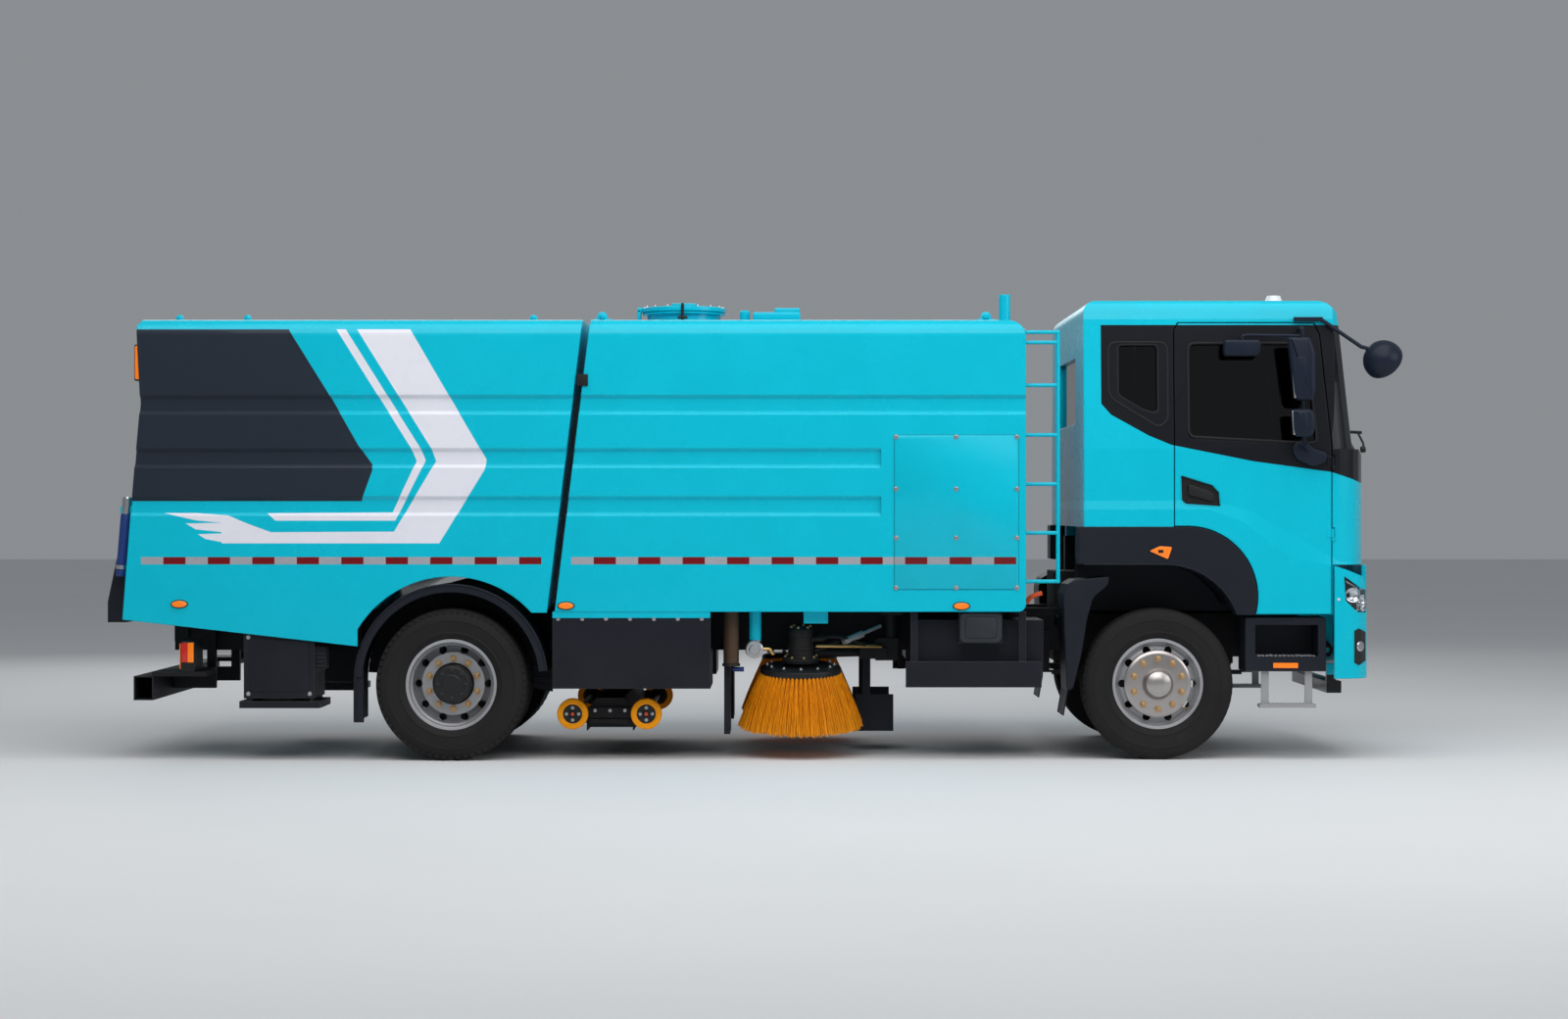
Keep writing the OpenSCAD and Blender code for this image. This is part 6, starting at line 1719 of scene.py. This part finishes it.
        # dashboard dressing
        bm = bmesh.new()
        top = BELT_Z - 0.012
        add_tube(bm, smooth_path([(along(1.00), SEAT_Y - 0.24, top - 0.05),
                                  (along(1.01), SEAT_Y - 0.10, top + 0.045),
                                  (along(1.01), SEAT_Y + 0.10, top + 0.045),
                                  (along(1.00), SEAT_Y + 0.24, top - 0.05)], 6), 0.022, 12, 0, 1.0)
        for k in range(4):
            add_block(bm, (along(0.952), -0.52 + 0.16 * k, 1.90), (along(0.972), -0.39 + 0.16 * k, 1.965),
                      0.006, 2)
        finish_mesh(bm, "dashboard_hood", "cabin", "cab", 35.0)
        bm = bmesh.new()
        for y in (-0.09, 0.09):
            add_disc(bm, 0.055, 0.0, 0.006, (along(0.985), SEAT_Y + y, top - 0.040), (-0.8, 0, 0.6), 0.002,
                     32)
        finish_mesh(bm, "dashboard_dials", "beacon", "cab", 35.0)
        return {"FINISHED"}

# ---- Tanks and tail ----

FLANK = -HALF_W
PANEL = [(-1.762, 1.138), (-0.938, 1.138), (-0.938, 2.161), (-1.762, 2.161)]
PANEL_BOLTS_X, PANEL_BOLTS_Z = (-1.750, -1.352, -0.950), (1.150, 1.480, 1.804, 2.149)
MARKERS = [("debris_body", -6.496, 1.041), ("chassis", -3.936, 1.030), ("chassis", -1.317, 1.028)]
LID_X = -3.196
EYES = [("debris_body", -6.565), ("debris_body", -6.107), ("debris_body", -4.180), ("chassis", -3.717),
        ("chassis", -1.132)]


def oval(middle, wide, high, steps=28):
    return [(middle[0] + wide / 2 * math.cos(2 * math.pi * i / steps),
             middle[1] + high / 2 * math.sin(2 * math.pi * i / steps))
            for i in range(steps)]


class SWEEPER_OT_tank_fittings(bpy.types.Operator):
    """Access panels, side markers, lifting eyes, lid handle and clamps"""
    bl_idname = "sweeper.tank_fittings"
    bl_label = "Tank fittings"

    def execute(self, context):
        for label, side in SIDES.items():
            bm = bmesh.new()
            add_panel(bm, rounded_outline(PANEL, 0.03), FLANK - 0.0045, FLANK + 0.001, 0.0015, 2)
            to_side(bm, side)
            finish_mesh(bm, f"access_panel_{label}", "water_enamel", "chassis", 30.0)
            bm = bmesh.new()
            add_panel(bm, rounded_outline([(x + (0.002 if x > -1.3 else -0.002),
                                            z + (0.002 if z > 1.6 else -0.002)) for x, z in PANEL], 0.034),
                      FLANK - 0.001, FLANK + 0.002, 0.0005, 1)
            add_block(bm, (along(-3.862), FLANK - 0.014, 2.486), (along(-3.790), FLANK + 0.004, 2.564),
                      0.005, 2)
            to_side(bm, side)
            finish_mesh(bm, f"panel_gasket_{label}", "rubber", "chassis", 30.0)
            places = [(along(x), side * (HALF_W + 0.0055), z) for x in PANEL_BOLTS_X for z in PANEL_BOLTS_Z]
            bolts(f"panel_bolts_{label}", places, [(0, side, 0)] * len(places), "chassis", 0.021, 0.008,
                  "bright", 6)
            for number, (body, x, z) in enumerate(MARKERS):
                bm = bmesh.new()
                add_panel(bm, oval((x, z), 0.116, 0.056), FLANK - 0.008, FLANK + 0.003, 0.003, 2, 1)
                add_panel(bm, oval((x, z), 0.102, 0.044), FLANK - 0.019, FLANK - 0.002, 0.008, 3, 0)
                to_side(bm, side)
                finish_mesh(bm, f"side_marker_{number}_{label}", ["lens_amber", "plate"], body)
            for number, (body, x) in enumerate(EYES):
                bm = bmesh.new()
                middle, top = along(x), TANK_TOP - 0.004
                reach = 0.036 if number > 2 else 0.026
                lug = [(middle + reach * 1.8, top), (middle + reach * 1.8, top + reach * 0.7),
                       (middle + reach, top + reach * 0.8),
                       *arc_points((middle, top + reach * 1.1), reach, 10, 170, 12),
                       (middle - reach, top + reach * 0.8),
                       (middle - reach * 1.8, top + reach * 0.7), (middle - reach * 1.8, top)]
                add_prism(bm, lug, "y", -0.90, -0.886, 0.003, 2)
                add_disc(bm, reach * 0.45, -0.018, 0.018, (middle, -0.893, top + reach * 1.1), (0, 1, 0),
                         0.003, 20)
                add_block(bm, (middle - reach * 2, -0.93, top - 0.004),
                          (middle + reach * 2, -0.856, top + 0.009), 0.002, 1)
                to_side(bm, side)
                finish_mesh(bm, f"lifting_eye_{number}_{label}", "plain_enamel", body)
        x = along(LID_X)
        foot = TANK_TOP + 0.030
        bm = bmesh.new()
        add_lathe(bm, [(0.252, 0.0), (0.258, 0.0), (0.258, 0.068), (0.287, 0.070), (0.289, 0.085),
                       (0.252, 0.086)], (x, 0, foot), (0, 0, 1), 72,
                  closed=True)
        add_block(bm, (along(-2.708), -0.298, TANK_TOP + 0.040), (along(-2.378), 0.098, TANK_TOP + 0.108),
                  0.012, 3)
        add_block(bm, (along(-2.560), -0.285, TANK_TOP + 0.10), (along(-2.382), 0.085, TANK_TOP + 0.138),
                  0.012, 3)
        add_disc(bm, 0.036, 0.020, 0.130, (along(-2.766), -0.12, TANK_TOP), (0, 0, 1), 0.012, 32)
        finish_mesh(bm, "manhole_neck", "plain_enamel", "chassis", 30.0)
        rim = [(x + 0.274 * math.cos(a), 0.274 * math.sin(a),
                foot + 0.1235) for a in (2 * math.pi * i / 16 for i in range(16))]
        bolts("lid_bolts", rim, [(0, 0, 1)] * 16, "lid", 0.018, 0.010, "bright", 6)
        bm = bmesh.new()
        add_lathe(bm, [(0.0, 0.088), (0.292, 0.088), (0.296, 0.092), (0.296, 0.118), (0.290, 0.122),
                       (0.232, 0.123), (0.222, 0.128), (0.10, 0.132),
                       (0.0, 0.133)], (x, 0, foot), (0, 0, 1), 72)
        hinge = along(LID_X) - 0.312
        add_block(bm, (hinge - 0.016, -0.048, TANK_TOP + 0.024), (hinge + 0.012, 0.048, foot + 0.112), 0.005,
                  2)
        add_block(bm, (hinge - 0.014, -0.048, foot + 0.094), (hinge + 0.080, 0.048, foot + 0.126), 0.005, 2)
        add_tube(bm, [(hinge, -0.085, TANK_TOP + 0.040), (hinge, 0.085, TANK_TOP + 0.040)], 0.0165, 16)
        for end in (-0.076, 0.076):
            add_disc(bm, 0.010, 0.128, 0.146, (x + end, 0, foot), (0, 0, 1), 0.002, 16)
        add_block(bm, (x - 0.088, -0.016, foot + 0.140), (x + 0.088, 0.016, foot + 0.158), 0.005, 2)
        lid = finish_mesh(bm, "manhole_lid", "plain_enamel", "lid", 30.0)
        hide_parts("hatch_lid")
        bm = bmesh.new()
        for angle in (90, 270):
            a = math.radians(angle)
            out = Vector((math.cos(a), math.sin(a), 0))
            across = Vector((-math.sin(a), math.cos(a), 0))
            spot = Vector((x, 0, foot)) + out * 0.300
            add_tube(bm, [spot + Vector((0, 0, 0.024)), spot + Vector((0, 0, 0.128))], 0.011, 12)
            add_tube(bm, [spot - out * 0.045 + Vector((0, 0, 0.130)),
                          spot + out * 0.006 + Vector((0, 0, 0.130))], 0.012, 10)
            add_tube(bm, [spot - across * 0.034 + Vector((0, 0, 0.042)),
                          spot + across * 0.034 + Vector((0, 0, 0.042))], 0.010, 10)
        finish_mesh(bm, "lid_clamps", "plate", "lid", 30.0)
        bm = bmesh.new()
        add_tube(bm, smooth_path([(along(-0.872), -1.10, 1.050), (along(-0.845), -1.13, 1.086),
                                  (along(-0.775), -1.15, 1.112)], 5), 0.016, 12)
        finish_mesh(bm, "drain_lever", "lever", "chassis", 30.0)
        return {"FINISHED"}


class SWEEPER_OT_rear_fittings(bpy.types.Operator):
    """Lock cylinders, lamps and the blank plate at the tail"""
    bl_idname = "sweeper.rear_fittings"
    bl_label = "Tail fittings"

    def execute(self, context):
        for label, side in SIDES.items():
            bm = bmesh.new()
            foot, head = Vector((along(-6.903), -1.150, 1.222)), Vector((along(-6.868), -1.150, 1.640))
            rise = (head - foot).normalized()
            add_lathe(bm, [(0.0, 0.0), (0.030, 0.0), (0.037, 0.010), (0.037, 0.405), (0.032, 0.418),
                           (0.0, 0.418)], foot, rise, 28, 0)
            add_lathe(bm, [(0.0, 0.418), (0.030, 0.418), (0.034, 0.424), (0.034, 0.522), (0.028, 0.532),
                           (0.0, 0.532)], foot, rise, 28, 1)
            add_lathe(bm, [(0.034, 0.05), (0.041, 0.05), (0.041, 0.075), (0.034, 0.075)], foot, rise, 28, 1,
                      True)
            to_side(bm, side)
            finish_mesh(bm, f"gate_lock_{label}", ["hose_blue", "bright"], "gate", 30.0)
            bm = bmesh.new()
            add_block(bm, (along(-6.800), -1.238, 2.520), (along(-6.712), -1.190, 2.763), 0.012, 3, 1)
            add_block(bm, (along(-6.794), -1.246, 2.530), (along(-6.718), -1.225, 2.753), 0.010, 3, 0)
            to_side(bm, side)
            finish_mesh(bm, f"gate_lamp_{label}", ["lens_amber", "plate"], "gate", 30.0)
            bm = bmesh.new()
            low, high, _ = span("tail_lamps")
            for y0, y1, tint in ((-1.152, -1.062, 1), (-1.056, -0.966, 0), (-0.960, -0.868, 2)):
                add_block(bm, (low.x - 0.010, y0, 0.604), (low.x + 0.004, y1, 0.776), 0.006, 3, tint)
            add_block(bm, (low.x + 0.006, -1.166, 0.650), (low.x + 0.044, -1.156, 0.782), 0.004, 2, 0)
            add_block(bm, (low.x + 0.046, -1.166, 0.650), (high.x - 0.004, -1.156, 0.782), 0.004, 2, 1)
            for z in (0.63, 0.66):
                add_block(bm, (low.x + 0.008, -1.164, z - 0.008), (high.x - 0.008, -1.158, z - 0.002), 0.001,
                          1, 2)
            to_side(bm, side)
            finish_mesh(bm, f"tail_lenses_{label}", ["lens_red", "lens_amber", "lens_clear"], "chassis",
                        30.0)
            bm = bmesh.new()
            for y0, y1, tint in ((-1.14, -0.95, 0), (-0.90, -0.72, 1)):
                add_block(bm, (along(-6.820), y0, 0.455), (along(-6.812), y1, 0.505), 0.003, 2, tint)
            to_side(bm, side)
            finish_mesh(bm, f"beam_reflectors_{label}", ["lens_red", "beacon"], "chassis",
                        30.0)
        bm = bmesh.new()
        add_block(bm, (along(-6.822), -0.235, 0.405), (along(-6.812), 0.235, 0.555), 0.004, 2, 0)
        add_block(bm, (along(-6.825), -0.220, 0.415), (along(-6.820), 0.220, 0.545), 0.002, 2, 1)
        finish_mesh(bm, "rear_plate", ["plate", "beacon"], "chassis", 30.0)
        return {"FINISHED"}

# ---- Under the body ----

ARCH_WALL_Y, ARCH_WALL_INNER_R, ARCH_WALL_THICK = -0.588, 0.43, 0.006
ARCH_WALL_STEPS = 40
FENDER_Z, FENDER_R = 0.532, 0.641
BOX_DOOR, BOX_FACE_Y = (-6.030, -5.652, 0.462, 0.802), -1.220
REAR_GUARD = [(-0.331, 1.222), (-0.560, 1.201), (-0.614, 1.171), (-0.638, 1.110), (-0.614, 0.461),
              (-0.573, 0.474), (-0.515, 0.707),
              (-0.476, 0.948), (-0.437, 1.084), (-0.337, 1.166)]


class SWEEPER_OT_under_fittings(bpy.types.Operator):
    """Guards, box bolts, valves, pipes and rods under the body"""
    bl_idname = "sweeper.under_fittings"
    bl_label = "Under the body"

    def execute(self, context):
        for label, side in SIDES.items():
            bm = bmesh.new()
            add_panel(bm, rounded_outline(REAR_GUARD, 0.03, 3), -1.188, -1.166, 0.008, 3)
            rim = [(x, -1.240, z) for x, z in arc_points((RX, FENDER_Z), FENDER_R - 0.004, 6, 180, 48)]
            add_tube(bm, [*rim, (RX - FENDER_R + 0.004, -1.240, 0.262)], 0.0075, 8)
            inner = arc_points((RX, FENDER_Z), ARCH_WALL_INNER_R, -10, 178, ARCH_WALL_STEPS)
            outer = arc_points((RX, FENDER_Z), FENDER_R - 0.006, -10, 178, ARCH_WALL_STEPS)
            for i in range(ARCH_WALL_STEPS):
                corners = (inner[i], outer[i], outer[i + 1], inner[i + 1])
                bm.faces.new([bm.verts.new((x, ARCH_WALL_Y, z)) for x, z in corners])
                back = [bm.verts.new((x, ARCH_WALL_Y + ARCH_WALL_THICK, z)) for x, z in reversed(corners)]
                bm.faces.new(back)
            to_side(bm, side)
            finish_mesh(bm, f"guard_faces_{label}", "trim", "chassis", 40.0)
            row = [(-3.988 + 0.1585 * i, 1.2425, 0.9436) for i in range(7)]
            corners = [(x, 1.2205, z) for x in (-6.045, -5.637) for z in (0.445, 0.820)]
            places = [(along(x), side * y, z) for x, y, z in row + corners]
            bolts(f"box_bolts_{label}", places, [(0, side, 0)] * len(places), "chassis", 0.018, 0.008,
                  "bright", 6)
            bm = bmesh.new()
            x0, x1, z0, z1 = BOX_DOOR
            outline = rounded_outline([(x0, z0), (x1, z0), (x1, z1), (x0, z1)], 0.03)
            add_panel(bm, outline, BOX_FACE_Y - 0.006, BOX_FACE_Y + 0.002, 0.003, 2)
            for i in range(5):
                add_block(bm, (along(-5.606), -1.197, 0.622 + 0.028 * i),
                          (along(-5.540), -1.188, 0.634 + 0.028 * i), 0.003, 1)
            to_side(bm, side)
            finish_mesh(bm, f"box_doors_{label}", "skirt", "chassis", 30.0)
            bm = bmesh.new()
            add_panel(bm, rounded_outline([(-1.328, 0.781), (-1.044, 0.781), (-1.044, 0.988),
                                           (-1.328, 0.988)], 0.045, 6), -1.226, -1.205, 0.014, 4)
            add_panel(bm, rounded_outline([(-1.290, 0.815), (-1.082, 0.815), (-1.082, 0.954),
                                           (-1.290, 0.954)], 0.03, 5), -1.231, -1.22, 0.004, 2)
            to_side(bm, side)
            finish_mesh(bm, f"filter_cover_{label}", "grey_cover", "chassis", 30.0)
            # the rod and cylinder that rise with the brush head
            bm = bmesh.new()
            add_tube(bm, [(along(-2.090), -0.86, 0.775), (along(-1.960), -0.78, 0.826)], 0.024, 16, 0)
            add_tube(bm, [(along(-1.960), -0.78, 0.826), (along(-1.835), -0.70, 0.876)], 0.013, 12, 0)
            add_tube(bm, [(along(-2.280), -0.86, 0.744), (along(-1.830), -0.70, 0.738)], 0.014, 12, 1)
            to_side(bm, side)
            finish_mesh(bm, f"arm_cylinder_{label}", ["wheel_paint", "brass"], f"head_{label}",
                        30.0)
        bm = bmesh.new()
        x = along(-2.690)
        add_lathe(bm, [(0.0, 0.012), (0.030, 0.012), (0.036, 0.006), (0.052, 0.006), (0.060, 0.0),
                       (0.060, -0.075), (0.0, -0.075)],
                  (x, -1.1105, 0.733), (0, -1, 0), 36, 0)
        add_disc(bm, 0.044, 0.0, 0.016, (along(-2.684), -1.040, 0.780), (0, 0, 1), 0.003, 32, 0)
        add_disc(bm, 0.040, 0.0, 0.196, (along(-2.684), -1.040, 0.792), (0, 0, 1), 0.003, 32, 1)
        add_tube(bm, smooth_path([(x + 0.055, -1.08, 0.735), (x + 0.10, -1.08, 0.735),
                                  (x + 0.125, -1.06, 0.70)], 4), 0.013, 10, 2)
        add_tube(bm, [(along(-2.835), -1.02, 0.598), (along(-2.760), -1.02, 0.598)], 0.016, 12, 3)
        add_disc(bm, 0.060, 0.0, 0.02, (along(-2.845), -1.060, 0.640), (0, 0, -1), 0.003, 32, 4)
        finish_mesh(bm, "valve_set", ["bright", "plain_enamel", "brass", "hose_blue", "cast", "rubber"],
                    "chassis", 30.0)
        return {"FINISHED"}


# ---- Stage ----


def area_light(name, place, target, size, power, tint=(1.0, 1.0, 1.0)):
    data = bpy.data.lights.new(name, "AREA")
    data.shape = "RECTANGLE"
    data.size, data.size_y = size
    data.energy = power
    data.color = tint
    lamp = bpy.data.objects.new(name, data)
    lamp.location = place
    lamp.rotation_euler = (Vector(target) - Vector(place)).to_track_quat("-Z", "Y").to_euler()
    bpy.context.scene.collection.objects.link(lamp)
    return lamp


class SWEEPER_OT_stage(bpy.types.Operator):
    """Pale floor, soft studio light and the side-on camera"""
    bl_idname = "sweeper.stage"
    bl_label = "Studio stage"

    def execute(self, context):
        sizes = context.scene.sweeper_sizes
        half = sizes.floor_size / 2
        mesh = bpy.data.meshes.new("studio_floor")
        mesh.from_pydata([(-half, -half, 0), (half, -half, 0), (half, half, 0), (-half, half, 0)], [],
                         [(0, 1, 2, 3)])
        floor = bpy.data.objects.new("studio_floor", mesh)
        context.scene.collection.objects.link(floor)
        material = bpy.data.materials.new("Studio floor")
        material.use_nodes = True
        tree = material.node_tree
        shader = tree.nodes["Principled BSDF"]
        vector, _, _, _ = axes(tree)
        tone = blend_colour(tree, noise(tree, vector, 0.35, 3.0), (0.70, 0.71, 0.72), (0.76, 0.765, 0.77))
        tree.links.new(tone, shader.inputs["Base Color"])
        shader.inputs["Roughness"].default_value = 0.75
        mesh.materials.append(material)

        world = bpy.data.worlds.new("Studio sky")
        world.use_nodes = True
        world.node_tree.nodes["Background"].inputs["Color"].default_value = (0.86, 0.90, 0.95, 1.0)
        world.node_tree.nodes["Background"].inputs["Strength"].default_value = 0.30
        context.scene.world = world
        context.scene.view_settings.view_transform = "Standard"

        area_light("Overhead softbox", (0.5, -4.0, 9.5), (0, 0, 1.6), (13.0, 6.0), 600.0)
        area_light("Flank softbox", (1.0, -12.5, 9.8), (0, 0, 1.4), (14.0, 5.0), 700.0)
        area_light("Nose softbox", (11.0, -6.0, 5.0), (3.5, 0, 1.6), (6.0, 5.0), 260.0)
        area_light("Far softbox", (-3.0, 12.0, 7.0), (0, 0, 1.5), (12.0, 5.0), 360.0)

        data = bpy.data.cameras.new("Side camera")
        data.sensor_width = 36.0
        data.lens = 36.0 * sizes.camera_gap / FRAME_WIDTH
        data.clip_end = 400.0
        camera = bpy.data.objects.new("Side camera", data)
        camera.location = (along(FRAME_MIDDLE), -HALF_W - sizes.camera_gap, sizes.camera_height)
        camera.rotation_euler = (math.pi / 2, 0, 0)
        context.scene.collection.objects.link(camera)
        context.scene.camera = camera
        return {"FINISHED"}


FRAME_WIDTH = 10.384
FRAME_MIDDLE = -2.492


class SWEEPER_OT_finish_frame(bpy.types.Operator):
    """Finishes for every node of the frame"""
    bl_idname = "sweeper.finish_frame"
    bl_label = "Frame finishes"

    def execute(self, context):
        make_finishes(context.scene.sweeper_colours, context.scene.sweeper_sizes)
        for node, finish in NODE_FINISH.items():
            finish_node(node, finish)
        return {"FINISHED"}


# ---- Panel and registration ----

STEPS = [
    SWEEPER_OT_stage, SWEEPER_OT_finish_frame, SWEEPER_OT_tyres, SWEEPER_OT_wheel_fittings,
    SWEEPER_OT_side_brushes, SWEEPER_OT_nozzle_wheels,
    SWEEPER_OT_cab_sides, SWEEPER_OT_cab_front, SWEEPER_OT_mirrors, SWEEPER_OT_cab_inside,
    SWEEPER_OT_tank_fittings, SWEEPER_OT_rear_fittings, SWEEPER_OT_under_fittings,
]


class SWEEPER_PT_panel(bpy.types.Panel):
    """Sidebar panel with the build steps in order"""
    bl_label = "Street sweeper"
    bl_idname = "SWEEPER_PT_panel"
    bl_space_type = "VIEW_3D"
    bl_region_type = "UI"
    bl_category = "Sweeper"

    def draw(self, context):
        for owner in (context.scene.sweeper_colours, context.scene.sweeper_sizes):
            for name in owner.bl_rna.properties.keys():
                if name not in {"rna_type", "name"}:
                    self.layout.prop(owner, name)
        for step in STEPS:
            self.layout.operator(step.bl_idname)


CLASSES = [SweeperColours, SweeperSizes, *STEPS, SWEEPER_PT_panel]


def register():
    for cls in CLASSES:
        bpy.utils.register_class(cls)
    bpy.types.Scene.sweeper_colours = bpy.props.PointerProperty(type=SweeperColours)
    bpy.types.Scene.sweeper_sizes = bpy.props.PointerProperty(type=SweeperSizes)


def unregister():
    del bpy.types.Scene.sweeper_sizes
    del bpy.types.Scene.sweeper_colours
    for cls in reversed(CLASSES):
        bpy.utils.unregister_class(cls)


def main():
    register()
    for step in STEPS:
        group, name = step.bl_idname.split(".")
        getattr(getattr(bpy.ops, group), name)()


if __name__ == "__main__":
    main()
